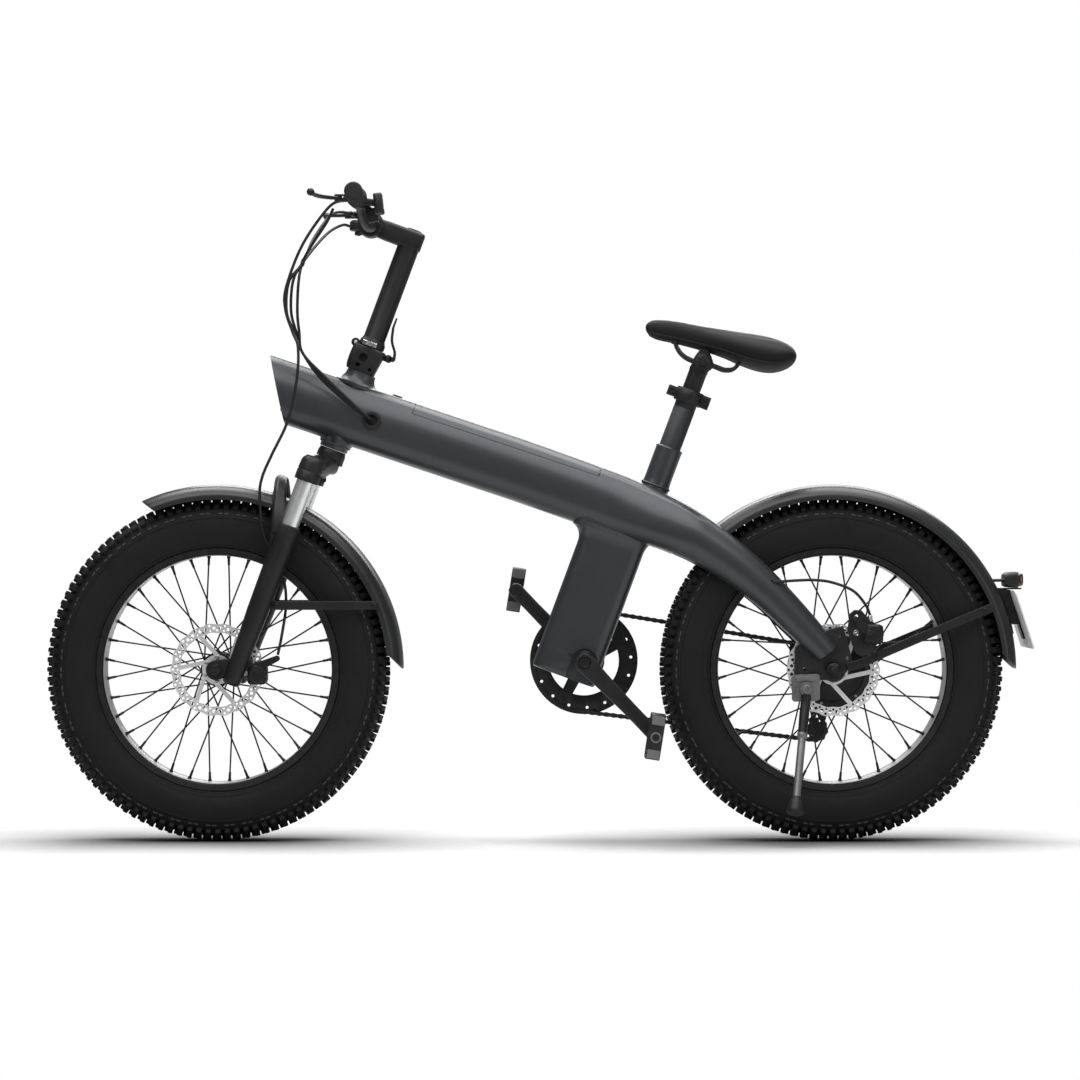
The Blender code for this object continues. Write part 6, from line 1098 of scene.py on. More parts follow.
@dataclass
class Fork:
    """The suspension fork: crown, bright inner tubes, lower legs with their arch, axle nuts and bolts."""

    half: float = 0.0800
    forward: float = 0.0200
    crown_top: float = -0.0200
    crown_bottom: float = -0.0620
    clamp: float = 0.0215
    inner: float = 0.0160
    mouth: float = -0.1480
    foot: float = -0.4330
    arch_reach: float = 0.0300
    arch_rise: float = 0.0860

    def leg(self, side: float, up: float = 0.0) -> Array:
        """A point on a leg's axis."""
        return steer(self.forward, side * self.half, up)

    def crown(self) -> bpy.types.Mesh:
        """A bent beam between two split clamps, with a collar round the steerer.

        The beam's section is a rounded rectangle carried along a curve that rises to the middle.
        """
        middle = (self.crown_top + self.crown_bottom) / 2.0
        knots = [steer(self.forward, -self.half, middle), steer(0.0160, -0.0600, middle + 0.005),
                 steer(0.0080, -0.0330, middle + 0.016), steer(0.0, 0.0, middle + 0.0195),
                 steer(0.0080, 0.0330, middle + 0.016), steer(0.0160, 0.0600, middle + 0.005),
                 steer(self.forward, self.half, middle)]
        path = smooth(knots, 0.006)
        share = np.abs(np.linspace(-1, 1, len(path)))[:, None, None]
        skin = Skin().sweep(path, rounded(0.040, 0.030, 0.010) * (1.0 - 0.14 * share), STEER_FORWARD)
        skin.lathe([(0.0245, self.crown_top + 0.002), (0.0245, -0.003), (0.0240, 0.0), (0.0225, 0.0056),
                    (0.0150, 0.0056)], LOWER_RACE, STEER_UP, 56)
        for side in (-1.0, 1.0):
            top, low = self.crown_top, self.crown_bottom
            skin.lathe([(self.inner, low), (self.clamp - 0.0012, low), (self.clamp, low + 0.0012),
                        (self.clamp, low + 0.0170), (self.clamp - 0.0006, low + 0.0178),
                        (self.clamp - 0.0006, low + 0.0192), (self.clamp, low + 0.0200),
                        (self.clamp - 0.0010, top - 0.0080), (self.clamp - 0.0026, top - 0.0030),
                        (self.clamp - 0.0060, top + 0.0004), (0.0120, top + 0.0004)], self.leg(side),
                       STEER_UP, 56)
        return skin.mesh("fork_yoke")

    def caps(self) -> bpy.types.Mesh:
        """The legs' stepped top caps and the crown's pinch bolts."""
        skin = Skin()
        for side in (-1.0, 1.0):
            top = self.crown_top
            skin.lathe([(0.0150, top), (0.0150, top + 0.0016), (0.0135, top + 0.0026),
                        (0.0060, top + 0.0030), (0.0056, top + 0.0034), (0.0010, top + 0.0034)],
                       self.leg(side), STEER_UP, 40)
            for level in (-0.030, -0.050):
                start = steer(self.forward - self.clamp + 0.001, side * (self.half - 0.006), level)
                skin.rods(start, start - STEER_FORWARD * 0.010, ((0, -0.002, 0.0032), (0, 0.0020, 0.0032),
                                                                 (0, 0.0028, 0.0022), (0, 0.0014, 0.0016)),
                          12)
        return skin.mesh("fork_caps")

    def tube(self, side: float) -> bpy.types.Mesh:
        """A bright inner tube from the crown into its lower leg."""
        return Skin().lathe([(self.inner, self.mouth - 0.090), (self.inner, self.crown_bottom + 0.010)],
                            self.leg(side), STEER_UP, 64).mesh("inner_tube")

    def seals(self) -> bpy.types.Mesh:
        """Rubber wipers at the lower legs' mouths, with a spring groove."""
        skin = Skin()
        for side in (-1.0, 1.0):
            m = self.mouth
            skin.lathe([(0.0163, m - 0.004), (0.0203, m - 0.004), (0.0206, m - 0.001), (0.0204, m + 0.0012),
                        (0.0190, m + 0.0016), (0.0187, m + 0.0026), (0.0192, m + 0.0038),
                        (0.0176, m + 0.0056), (0.0163, m + 0.0060)], self.leg(side), STEER_UP, 56, ring=True)
        return skin.mesh("leg_wipers")

    def lowers(self) -> bpy.types.Mesh:
        """The two lower legs, the arch in front of the wheel and the axle's plates.

        The arch is a rounded section along half an ellipse: across = -cos t, forward and up = sin t.
        """
        skin = Skin()
        axle_up = float((FRONT_AXLE - LOWER_RACE) @ STEER_UP)
        for side in (-1.0, 1.0):
            foot, mouth = self.foot, self.mouth
            skin.lathe([(0.0030, foot), (0.0105, foot), (0.0122, foot + 0.0012), (0.0150, foot + 0.0040),
                        (0.0158, foot + 0.0100), (0.0160, axle_up + 0.030), (0.0172, axle_up + 0.070),
                        (0.0190, axle_up + 0.120), (0.0198, mouth - 0.040), (0.0200, mouth - 0.022),
                        (0.0206, mouth - 0.018), (0.0206, mouth - 0.004), (0.0200, mouth - 0.0012),
                        (0.0188, mouth - 0.0004), (0.0163, mouth - 0.0004), (0.0163, mouth - 0.010),
                        (0.0010, mouth - 0.010)], self.leg(side), STEER_UP, 64)
            level = side * (self.half - 0.0040)
            top = steer(self.forward, 0.0, axle_up + 0.022)
            outline = capsule(side_view(FRONT_AXLE), side_view(top), 0.0170, 0.0125)
            skin.slab(outline, level - 0.0040, level + 0.0040, 0.0012)
        t = np.linspace(0.0, np.pi, 49)[:, None]
        rise = self.mouth - 0.012 + self.arch_rise * np.sin(t)
        path = (LOWER_RACE + STEER_FORWARD * (self.forward + 0.014 + self.arch_reach * np.sin(t))
                - SIDE * self.half * np.cos(t) + STEER_UP * rise)
        wide = 1.0 + 0.30 * np.abs(np.cos(t))[:, None] ** 3
        skin.sweep(path, rounded(0.020, 0.015, 0.0055) * wide, STEER_FORWARD)
        rib = path[4:-4] + STEER_FORWARD * 0.0104
        skin.sweep(rib, rounded(0.0024, 0.0070, 0.0011, 3), STEER_FORWARD)
        for side in (-1.0, 1.0):
            web = [steer(self.forward + ahead, side * (self.half - 0.002), self.mouth + level)
                   for ahead, level in ((0.004, -0.060), (0.011, -0.034), (0.018, -0.010))]
            skin.sweep(smooth(web, 0.004), rounded(0.022, 0.016, 0.0060), STEER_FORWARD)
        return skin.mesh("fork_legs")

    def axle(self) -> bpy.types.Mesh:
        """The axle's ends, each with a washer, a six-sided nut and the threaded tip."""
        skin = Skin()
        for side in (-1.0, 1.0):
            face = FRONT_AXLE + SIDE * side * self.half
            out = SIDE * side * 0.010
            skin.rods(face, face + out, ((0, -0.004, 0.0110), (0, 0.0010, 0.0112), (0, 0.0016, 0.0106)), 32)
            skin.rods(face, face + out, ((0, 0.0012, 0.0098), (0, 0.0026, 0.0105), (0, 0.0072, 0.0105),
                                         (0, 0.0086, 0.0092)), 6)
            skin.rods(face, face + out, ((0, 0, 0.0058), (0, 0.0076, 0.0058), (0, 0.0080, 0.0050)), 24)
        return skin.mesh("front_axle_nuts", 28.0)

    def feet(self) -> bpy.types.Mesh:
        """The bolts at the bottom of the lower legs."""
        skin = Skin()
        for side in (-1.0, 1.0):
            skin.rods(self.leg(side, self.foot + 0.001), self.leg(side, self.foot + 0.0002),
                      ((0, 0, 0.0060), (1, 0, 0.0060), (1, -0.0004, 0.0030)), 6)
        return skin.mesh("leg_bolts", 28.0)

    def build(self) -> None:
        """Places the fork."""
        place("fork_yoke", self.crown(), BLACK, "steering", ["fork_crown"])
        place("fork_caps", self.caps(), BLACK, "steering")
        for side, hand in HANDS:
            place(f"inner_tube_{hand}", self.tube(side), CHROME, "steering", [f"stanchion_{hand}"])
        place("leg_wipers", self.seals(), RUBBER, "lowers")
        place("fork_legs", self.lowers(), BLACK, "lowers", ["fork_lowers"])
        place("front_axle_nuts", self.axle(), BLACK, "lowers")
        place("leg_bolts", self.feet(), BLACK, "lowers")


# Handlepost

@dataclass
class Handlepost:
    """The hinge's block, the folding post with its stem and bar clamp, and the latch."""

    head_top: float = 0.1340
    split: float = 0.1930
    block: float = 0.0225
    post: float = 0.0190
    stem_low: float = 0.3753
    stem_top: float = 0.4085
    stem_rear: float = -0.0205
    stem_half: float = 0.0190
    pin_forward: float = 0.0275
    knuckle: float = 0.0075
    latch_back: float = -0.0370
    latch_up: float = 0.1895

    def base(self) -> bpy.types.Mesh:
        """The clamped block: a turned body in a boxy case with bolt holes, ears and the latch's lug."""
        skin = Skin().lathe([(0.0150, self.head_top + 0.0003), (self.block - 0.0015, self.head_top + 0.0003),
                             (self.block, self.head_top + 0.0018), (self.block, self.head_top + 0.0200),
                             (self.block - 0.0006, self.head_top + 0.0206),
                             (self.block - 0.0006, self.head_top + 0.0218),
                             (self.block, self.head_top + 0.0224), (self.block, self.split - 0.0016),
                             (self.block - 0.0014, self.split - 0.0002), (0.0150, self.split - 0.0002)],
                            LOWER_RACE, STEER_UP, 72)
        solid = skin.mesh("base_body")
        rows = []
        for up, front, rear, half in ((0.1475, 0.0270, -0.0200, 0.0205), (0.1490, 0.0285, -0.0212, 0.0215),
                                      (0.1560, 0.0300, -0.0225, 0.0222), (0.1680, 0.0306, -0.0243, 0.0225),
                                      (0.1800, 0.0300, -0.0262, 0.0225), (0.1900, 0.0292, -0.0276, 0.0222),
                                      (0.1915, 0.0286, -0.0270, 0.0216), (0.1924, 0.0272, -0.0256, 0.0206)):
            shape = rounded(front - rear, 2.0 * half, 0.0085, 8)
            centre = steer((front + rear) / 2.0, 0.0, up)
            rows.append(centre + STEER_FORWARD * shape[:, :1] + SIDE * shape[:, 1:])
        case = Skin().grid(np.array(rows)).mesh("case")
        tools = [(case, Cut.PLUS)]
        for side in (-1.0, 1.0):
            for ahead, up, size in ((0.0060, 0.1725, 0.0074), (0.0105, 0.1580, 0.0040),
                                    (-0.0120, 0.1560, 0.0030)):
                start = steer(ahead, side * 0.0120, up)
                hole = Skin().rods(start, start + SIDE * side * 0.03, plain_bar(size), 32)
                tools.append((hole.mesh("hole"), Cut.LESS))
        pin = steer(self.pin_forward, 0.0, self.split)
        nest = Skin().rods(pin - SIDE * 0.0083, pin + SIDE * 0.0083, plain_bar(self.knuckle + 0.0006), 40)
        tools.append((nest.mesh("nest"), Cut.LESS))
        carved = combined(solid, tools, 0.0007)
        ears = Skin()
        for side in (-1.0, 1.0):
            near, far = pin + SIDE * side * 0.0083, pin + SIDE * side * 0.0160
            ears.rods(near, far, ((0, 0, 0.0070), (0, 0.0005, self.knuckle), (1, -0.0008, self.knuckle),
                                  (1, 0, 0.0066)), 40)
            path = np.linspace(steer(0.012, side * 0.0121, self.split - 0.0038),
                               steer(self.pin_forward - 0.001, side * 0.0121, self.split - 0.0038), 4)
            ears.sweep(path, rounded(0.0070, 0.0066, 0.0010, 3))
        lug = steer(self.latch_back + 0.002, 0.0, self.latch_up - 0.004)
        ears.rods(lug - SIDE * 0.006, lug + SIDE * 0.006, eased_bar(0.0062, 0.0068), 32)
        ears.sweep(np.linspace(steer(self.latch_back + 0.002, 0, self.latch_up - 0.0048),
                               steer(-0.018, 0, self.latch_up - 0.0048), 4),
                   rounded(0.0112, 0.0104, 0.0010, 3))
        return joined("hinge_block", carved, ears.mesh("ears"))

    def bright(self) -> bpy.types.Mesh:
        """The fold's bright pin heads, each with a recess."""
        skin = Skin()
        pin = steer(self.pin_forward, 0.0, self.split)
        for side in (-1.0, 1.0):
            tip = pin + SIDE * side * 0.0158
            skin.rods(tip, tip + SIDE * side * 0.003,
                      ((0, 0, 0.0030), (0, 0.0008, 0.0030), (0, 0.0012, 0.0024), (0, 0.0004, 0.0014)), 24)
        return skin.mesh("hinge_bright")

    def band(self) -> bpy.types.Mesh:
        """The bright clamp band round the post's foot, open at the front and the rear."""
        low = self.split + 0.0012
        profile = [(0.0222, low), (0.0230, low), (0.0236, low + 0.0006), (0.0236, low + 0.0072),
                   (0.0230, low + 0.0078), (0.0222, low + 0.0078)]
        skin = Skin()
        for sweep in ((-112.0, -44.0), (44.0, 112.0)):
            skin.lathe(profile, LOWER_RACE, STEER_UP, 40, sweep=sweep)
        return skin.mesh("clamp_band")

    def race_ring(self) -> bpy.types.Mesh:
        """The painted ring round the block's foot, its flare shorter across the beam.

        Radius = inner + flare (1 - sqrt(1 - drop^2)), a quarter circle scaled by the angle round the post.
        """
        drop = np.concatenate([np.zeros(1), np.linspace(0.0, 0.995, 22) ** 0.7])
        up = 0.1466 - 0.0212 * drop
        angle = np.arange(96) * 2.0 * np.pi / 96
        flare = 0.0175 * (np.cos(angle) ** 2 + 0.42 * np.sin(angle) ** 2)
        radius = 0.0252 + flare[None] * (1.0 - np.sqrt(1.0 - drop[:, None] ** 2))
        rows = [np.full(96, 0.0229), np.full(96, 0.0246), *radius, radius[-1] - 0.0010, np.full(96, 0.0229)]
        level = [0.1466, 0.1468, *up, 0.1200, 0.1200]
        spin = np.cos(angle)[:, None] * STEER_FORWARD + np.sin(angle)[:, None] * SIDE
        points = np.array([LOWER_RACE + STEER_UP * height + spin * row[:, None]
                           for row, height in zip(rows, level)])
        return Skin().grid(points, ring=True).mesh("race_ring", 40.0)

    def post_mesh(self) -> bpy.types.Mesh:
        """The post turned with its foot, the fold's middle knuckle, the stem's box and the bar's clamp."""
        foot = self.split + 0.0002
        skin = Skin().lathe([(0.0100, foot), (self.block - 0.0012, foot), (self.block, foot + 0.0012),
                             (self.block, foot + 0.0092), (self.block - 0.0012, foot + 0.0110),
                             (self.post + 0.0006, foot + 0.0150), (self.post, foot + 0.0165),
                             (self.post, self.stem_low + 0.012), (0.0100, self.stem_low + 0.012)],
                            LOWER_RACE, STEER_UP, 72)
        pin = steer(self.pin_forward, 0.0, self.split)
        skin.rods(pin - SIDE * 0.0079, pin + SIDE * 0.0079, eased_bar(0.0068, self.knuckle), 40)
        middle = (self.stem_low + self.stem_top) / 2.0
        front, rear = BAR_FORWARD - 0.010, self.stem_rear
        stations = np.array([rear, rear + 0.0008, rear + 0.0024, rear + 0.0050, front - 0.022, front - 0.008,
                             front])
        grow = np.array([0.82, 0.92, 0.98, 1.0, 1.0, 0.96, 0.88])[:, None, None]
        path = steer(0.0, 0.0, middle) + stations[:, None] * STEER_FORWARD
        skin.sweep(path, rounded(2 * self.stem_half, self.stem_top - self.stem_low, 0.0060) * grow)
        skin.rods(BAR_CENTRE - SIDE * 0.0240, BAR_CENTRE + SIDE * 0.0240, (
            (0, 0, 0.0160), (0, 0, 0.0206), (0, 0.0012, 0.0224), (1, -0.0012, 0.0224), (1, 0, 0.0206),
            (1, 0, 0.0160)), 56)
        return skin.mesh("post_and_stem")

    def stem_details(self) -> bpy.types.Mesh:
        """The stem's top cap with its bolt, the bar clamp's split line and its four bolts."""
        skin = Skin()
        top = self.stem_top
        skin.lathe([(0.0130, top - 0.001), (0.0130, top + 0.0012), (0.0118, top + 0.0022),
                    (0.0044, top + 0.0022), (0.0040, top + 0.0010), (0.0010, top + 0.0010)], LOWER_RACE,
                   STEER_UP, 40)
        for side in (-0.0165, 0.0165):
            for level in (-0.0172, 0.0172):
                start = BAR_CENTRE + SIDE * side + STEER_UP * level + STEER_FORWARD * 0.006
                skin.rods(start - STEER_FORWARD * 0.012, start,
                          ((0, 0, 0.0048), (1, -0.0006, 0.0048), (1, 0, 0.0042), (1, 0, 0.0024),
                           (1, -0.0024, 0.0022)), 20)
        return skin.mesh("stem_bolts")

    def latch(self) -> bpy.types.Mesh:
        """The latch's curved handle on two cheeks, its edge rolled; section carried along a smooth line."""
        f, u = self.latch_back + 0.002, self.latch_up - 0.004
        line = smooth([steer(f - 0.0096, 0, u), steer(f - 0.0064, 0, u + 0.014),
                       steer(f + 0.0050, 0, u + 0.031), steer(f + 0.0112, 0, u + 0.054)], 0.004)
        taper = np.linspace(1.0, 0.86, len(line))[:, None, None]
        skin = Skin().sweep(line, rounded(0.017, 0.0046, 0.0020) * taper)
        for side in (-1.0, 1.0):
            near, far = steer(f, side * 0.0066, u), steer(f, side * 0.0090, u)
            skin.rods(near, far, ((0, 0, 0.0060), (1, -0.0006, 0.0060), (1, 0, 0.0052)), 24)
            arm = np.linspace(steer(f, side * 0.0078, u), steer(f - 0.0096, side * 0.0078, u + 0.002), 4)
            skin.sweep(arm, rounded(0.0024, 0.0080, 0.0008, 3))
        return skin.mesh("latch_handle")

    def hook(self) -> bpy.types.Mesh:
        """The wire loop at the latch's end, a round wire along half an ellipse, and the latch's rivet."""
        f, u = self.latch_back + 0.002, self.latch_up - 0.004
        t = np.linspace(0.0, np.pi, 25)[:, None]
        path = (steer(f + 0.0110, 0.0, u + 0.050) - SIDE * 0.0070 * np.cos(t) + STEER_UP * 0.020 * np.sin(t))
        skin = Skin().sweep(path, circle(0.0016, 10), STEER_FORWARD)
        tips = steer(f, -0.0094, u), steer(f, 0.0094, u)
        skin.rods(*tips, eased_bar(0.0022, 0.0028), 20)
        return skin.mesh("latch_wire")

    def build(self) -> None:
        """Places the block, post and latch."""
        place("hinge_block", self.base(), BLACK, "steering", ["hinge_base"])
        place("hinge_bright", self.bright(), CHROME, "steering")
        place("race_ring", self.race_ring(), PAINT, "frame")
        place("clamp_band", self.band(), STEEL, "handlepost")
        place("post_and_stem", self.post_mesh(), BLACK, "handlepost", ["handlepost"])
        place("stem_bolts", self.stem_details(), BLACK, "handlepost")
        place("latch_handle", self.latch(), BLACK, "latch", ["fold_latch"])
        place("latch_wire", self.hook(), BLACK, "latch")


# Handlebar and controls

@dataclass
class Controls:
    """The handlebar with its grips, brake levers, shifter and control panel."""

    half_length: float = 0.3180
    thick: float = 0.0159
    thin: float = 0.0111
    rise: float = 0.0310
    back: float = 0.0160
    clamp_half: float = 0.0350
    bend_end: float = 0.1150
    grip_length: float = 0.1250
    grip_radius: float = 0.0155
    perch: float = 0.1780
    panel: float = 0.1450

    def end(self, side: float, across: float) -> Array:
        """A point on the bar's straight outer stretch."""
        return vec(BAR_CENTRE[0] - self.back, side * across, BAR_CENTRE[2] + self.rise)

    def band(self, centre: Array, half: float, flat: float, edge: float, thick: float,
             steps: int = 36) -> Skin:
        """A clamp band round the bar.

        Args:
            centre: Its middle on the bar's axis.
            half: Half its width.
            flat: Half the width of its cylindrical face.
            edge: How far its edges stand out from the bar.
            thick: How far its face stands out from the bar.
            steps: Points round the bar.

        Returns:
            The band alone in a new skin.
        """
        bar = self.thin
        return Skin().lathe([(bar + 0.0004, -half), (bar + edge, -half), (bar + thick, -flat),
                             (bar + thick, flat), (bar + edge, half), (bar + 0.0004, half)], centre, SIDE,
                            steps, ring=True)

    def bar(self) -> bpy.types.Mesh:
        """The tube, bent between its clamp and the bend's end.

        x = -back e(s) and z = rise e(s), with e(s) = s s (3 - 2 s) over the bend.
        """
        across = np.concatenate([np.linspace(-self.half_length, -0.12, 8), np.linspace(-0.115, 0.115, 61),
                                 np.linspace(0.12, self.half_length, 8)])
        share = np.clip((np.abs(across) - self.clamp_half) / (self.bend_end - self.clamp_half), 0, 1)
        ease = share * share * (3.0 - 2.0 * share)
        path = np.stack([BAR_CENTRE[0] - self.back * ease, across, BAR_CENTRE[2] + self.rise * ease], -1)
        narrow = np.clip((np.abs(across) - 0.042) / 0.050, 0, 1)
        radius = self.thick + (self.thin - self.thick) * narrow * narrow * (3.0 - 2.0 * narrow)
        return Skin().sweep(path, circle(radius, 40), STEER_UP).mesh("bar_tube")

    def grip(self, side: float) -> bpy.types.Mesh:
        """A rubber sleeve with two flanges, rings of ribs and pads of small blocks between them."""
        inner, outer = self.half_length + 0.003 - self.grip_length, self.half_length + 0.003
        r = self.grip_radius
        profile = [(0.0112, inner), (r + 0.0012, inner), (r + 0.0020, inner + 0.0008),
                   (r + 0.0020, inner + 0.0032), (r + 0.0010, inner + 0.0046), (r - 0.0008, inner + 0.0060)]
        for start in (inner + 0.008, outer - 0.026):
            for i in range(5):
                profile += [(r - 0.0010, start + 0.0036 * i), (r, start + 0.0006 + 0.0036 * i),
                            (r, start + 0.0022 + 0.0036 * i), (r - 0.0010, start + 0.0028 + 0.0036 * i)]
            profile.append((r - 0.0012, start + 0.0190))
        profile += [(r - 0.0008, outer - 0.0060), (r, outer - 0.0050), (r, outer - 0.0020),
                    (r - 0.0014, outer - 0.0004), (r - 0.0040, outer), (0.0010, outer)]
        centre = self.end(side, 0.0)
        skin = Skin().lathe(profile, centre, SIDE * side, 56)
        rows, around = 12, 18
        along = np.linspace(inner + 0.031, outer - 0.032, rows)
        step = float(along[1] - along[0])
        angle = np.arange(around) * 2.0 * np.pi / around
        base = np.array([(-1, -1), (1, -1), (1, 1), (-1, 1)], float)
        level, scale = np.array([r - 0.0018, r - 0.0003, r]), np.array([1.0, 1.0, 0.75])
        turn = angle[:, None] + np.where(np.arange(rows) % 2, np.pi / around, 0.0)[None]
        spin = turn[:, :, None, None] + scale[:, None] * base[None, :, 0] * np.pi / around * 0.72
        offset = along[None, :, None, None] + scale[:, None] * base[None, :, 1] * step * 0.36
        offset = np.broadcast_to(offset, spin.shape)
        radius = np.broadcast_to(level[:, None], spin.shape)
        points = centre + np.stack([radius * np.cos(spin), side * offset, radius * np.sin(spin)], -1)
        return skin.grids(points.reshape(-1, 3, 4, 3)).mesh("grip_sleeve", 30.0)

    def pivot(self, side: float) -> Array:
        """Where a brake lever turns."""
        return self.end(side, self.perch) + vec(-0.032, side * 0.002, 0.0)

    def perch_mesh(self, side: float) -> bpy.types.Mesh:
        """A lever's hinged clamp: band, web, two ears, pin, bolt and the cable's stepped barrel."""
        centre, pivot = self.end(side, self.perch), self.pivot(side)
        skin = self.band(centre, 0.0080, 0.0070, 0.0044, 0.0052, 40)
        for low, high in ((0.0034, 0.0060), (-0.0060, -0.0034)):
            middle = (low + high) / 2.0
            ear = capsule((0.0, 0.0), (0.0240, 0.0), 0.0078, 0.0062, 12)
            flat = np.stack([centre[0] - 0.0080 - ear[:, 0], centre[1] + side * 0.002 * ear[:, 0] / 0.024
                             + ear[:, 1], np.zeros(len(ear))], -1)
            levels = (-0.0013, -0.0009, 0.0009, 0.0013)
            skin.grid(np.array([flat + vec(0, 0, centre[2] + middle + level) for level in levels]))
        skin.sweep(np.linspace(centre + vec(-0.006, 0, 0), centre + vec(-0.021, 0, 0), 4),
                   rounded(0.0150, 0.0120, 0.0030))
        start = centre + vec(-0.018, -side * 0.004, 0.0)
        end = centre + vec(-0.022, -side * 0.026, 0.0)
        skin.rods(start, end, ((0, 0, 0.0044), (1, -0.010, 0.0044), (1, -0.0096, 0.0052),
                               (1, -0.0074, 0.0052), (1, -0.0070, 0.0034), (1, -0.0062, 0.0034),
                               (1, -0.0060, 0.0046), (1, -0.0008, 0.0046), (1, 0, 0.0036)), 24)
        skin.rods(pivot - UP * 0.0064, pivot + UP * 0.0064, eased_bar(0.0030, 0.0036), 20)
        bolt = centre + vec(0.006, 0, -0.0165)
        skin.rods(bolt, bolt + UP * 0.010, ((0, 0, 0.0034), (0, 0.0006, 0.0040), (0, 0.006, 0.0040)), 20)
        return skin.mesh("lever_clamp")

    def lever(self, side: float) -> bpy.types.Mesh:
        """A forged blade along a smooth line, thick at its eye and flat in the middle, ending in a ball."""
        pivot = self.pivot(side)
        tip = vec(pivot[0] - 0.042, side * 0.2560, pivot[2] + 0.004)
        knots = [pivot, pivot + vec(-0.014, side * 0.010, 0), pivot + vec(-0.030, side * 0.026, 0.001),
                 pivot + vec(-0.039, side * 0.048, 0.003), tip]
        line = smooth(knots, 0.003)
        share = np.linspace(0, 1, len(line))
        wide = np.interp(share, [0, 0.25, 0.5, 0.75, 1.0], [0.0130, 0.0120, 0.0108, 0.0092, 0.0074]) / 0.0130
        taper = np.stack([wide, 0.75 + 0.25 * wide], -1)[:, None]
        skin = Skin().sweep(line, rounded(0.0130, 0.0060, 0.0026, 5)[None] * taper, vec(1, 0, 0))
        skin.rods(pivot - UP * 0.0030, pivot + UP * 0.0030, eased_bar(0.0062, 0.0069), 28)
        t = np.linspace(0.06, np.pi - 0.06, 15)
        ball = np.stack([0.0066 * np.sin(t), -0.0066 * np.cos(t)], -1)
        return skin.lathe(ball, tip, SIDE, 28).mesh("lever_blade")

    def panel_mesh(self) -> bpy.types.Mesh:
        """The control panel's case behind the bar, with its band and neck; rounded section, eased edges."""
        centre = self.end(-1.0, self.panel)
        low, high = centre + vec(0.033, -0.004, 0.010), centre + vec(0.037, -0.004, -0.025)
        share = np.array([0, 0.02, 0.06, 0.12, 0.88, 0.94, 0.98, 1.0])[:, None]
        grow = np.array([0.84, 0.92, 0.97, 1.0, 1.0, 0.97, 0.92, 0.84])[:, None, None]
        skin = Skin().sweep(low + (high - low) * share, rounded(0.046, 0.0150, 0.0050) * grow)
        skin.sweep(np.linspace(centre + vec(0.006, 0, -0.002), centre + vec(0.033, 0, -0.006), 5),
                   rounded(0.010, 0.0120, 0.0030))
        return joined("panel_case", skin.mesh("case"),
                      self.band(centre, 0.0060, 0.0052, 0.0040, 0.0046).mesh("band"))

    def panel_face(self) -> tuple[bpy.types.Mesh, bpy.types.Mesh]:
        """The panel's dark screen and its three soft buttons, on the face towards the rider."""
        centre = self.end(-1.0, self.panel)
        run = unit(vec(0.004, 0, -0.035))
        out = vec(0.9935, 0, 0.1135)
        face = centre + vec(0.035, -0.004, -0.0075) + out * 0.0072
        path = np.linspace(face - run * 0.0155, face + run * 0.0055, 4)
        screen = Skin().sweep(path, rounded(0.036, 0.0012, 0.0005, 3)).mesh("panel_screen")
        keys = Skin()
        for across in (-0.0130, 0.0, 0.0130):
            spot = face + run * 0.0125 + SIDE * across
            keys.rods(spot - out * 0.001, spot + out * 0.001,
                      ((0, 0, 0.0040), (1, -0.0004, 0.0040), (1, 0, 0.0032)), 20)
        return screen, keys.mesh("panel_keys")

    def shifter_mesh(self) -> bpy.types.Mesh:
        """The gear shifter under the bar: band, neck and a turned housing with a stepped cap."""
        centre = self.end(1.0, self.panel)
        skin = self.band(centre, 0.0060, 0.0052, 0.0040, 0.0046)
        skin.lathe([(0.0030, -0.0395), (0.0030, -0.0312), (0.0120, -0.0312), (0.0140, -0.0304),
                    (0.0158, -0.0290), (0.0160, -0.0270), (0.0160, -0.0200), (0.0152, -0.0192),
                    (0.0152, -0.0184), (0.0160, -0.0176), (0.0158, -0.0160), (0.0120, -0.0120),
                    (0.0010, -0.0110)], centre + vec(-0.012, 0, 0), UP, 44)
        skin.sweep(np.linspace(centre + vec(-0.006, 0, -0.008), centre + vec(-0.010, 0, -0.022), 4),
                   rounded(0.012, 0.0140, 0.0030))
        return skin.mesh("shifter_case")

    def thumb(self) -> bpy.types.Mesh:
        """The shifter's thumb paddle: a flat section along a bent line, widening to its pad."""
        pivot = self.end(1.0, self.panel) + vec(-0.012, 0, -0.0353)
        line = smooth([pivot, pivot + vec(0.014, 0.012, 0), pivot + vec(0.024, 0.030, -0.001)], 0.003)
        wide = np.linspace(0.66, 1.0, len(line))[:, None, None]
        skin = Skin().sweep(line, rounded(0.0150, 0.0050, 0.0020) * wide, vec(1, 0, 0))
        skin.rods(pivot - UP * 0.0030, pivot + UP * 0.0030, eased_bar(0.0064, 0.0070), 28)
        return skin.mesh("thumb_paddle")

    def button_box(self) -> bpy.types.Mesh:
        """A small switch box beside the panel, hung on its own band round the bar."""
        centre = self.end(-1.0, 0.1255)
        skin = Skin().lathe([(self.thin + 0.0004, -0.0040), (self.thin + 0.0036, -0.0040),
                             (self.thin + 0.0040, 0.0), (self.thin + 0.0036, 0.0040),
                             (self.thin + 0.0004, 0.0040)], centre, SIDE, 36, ring=True)
        skin.sweep(np.linspace(centre + vec(0.010, 0, -0.006), centre + vec(0.024, 0, -0.022), 4),
                   rounded(0.0080, 0.0100, 0.0020))
        path = np.linspace(centre + vec(0.020, 0, -0.014), centre + vec(0.026, 0, -0.036), 6)
        grow = np.array([0.86, 0.97, 1.0, 1.0, 0.97, 0.86])[:, None, None]
        return skin.sweep(path, rounded(0.0180, 0.0210, 0.0040) * grow).mesh("button_box")

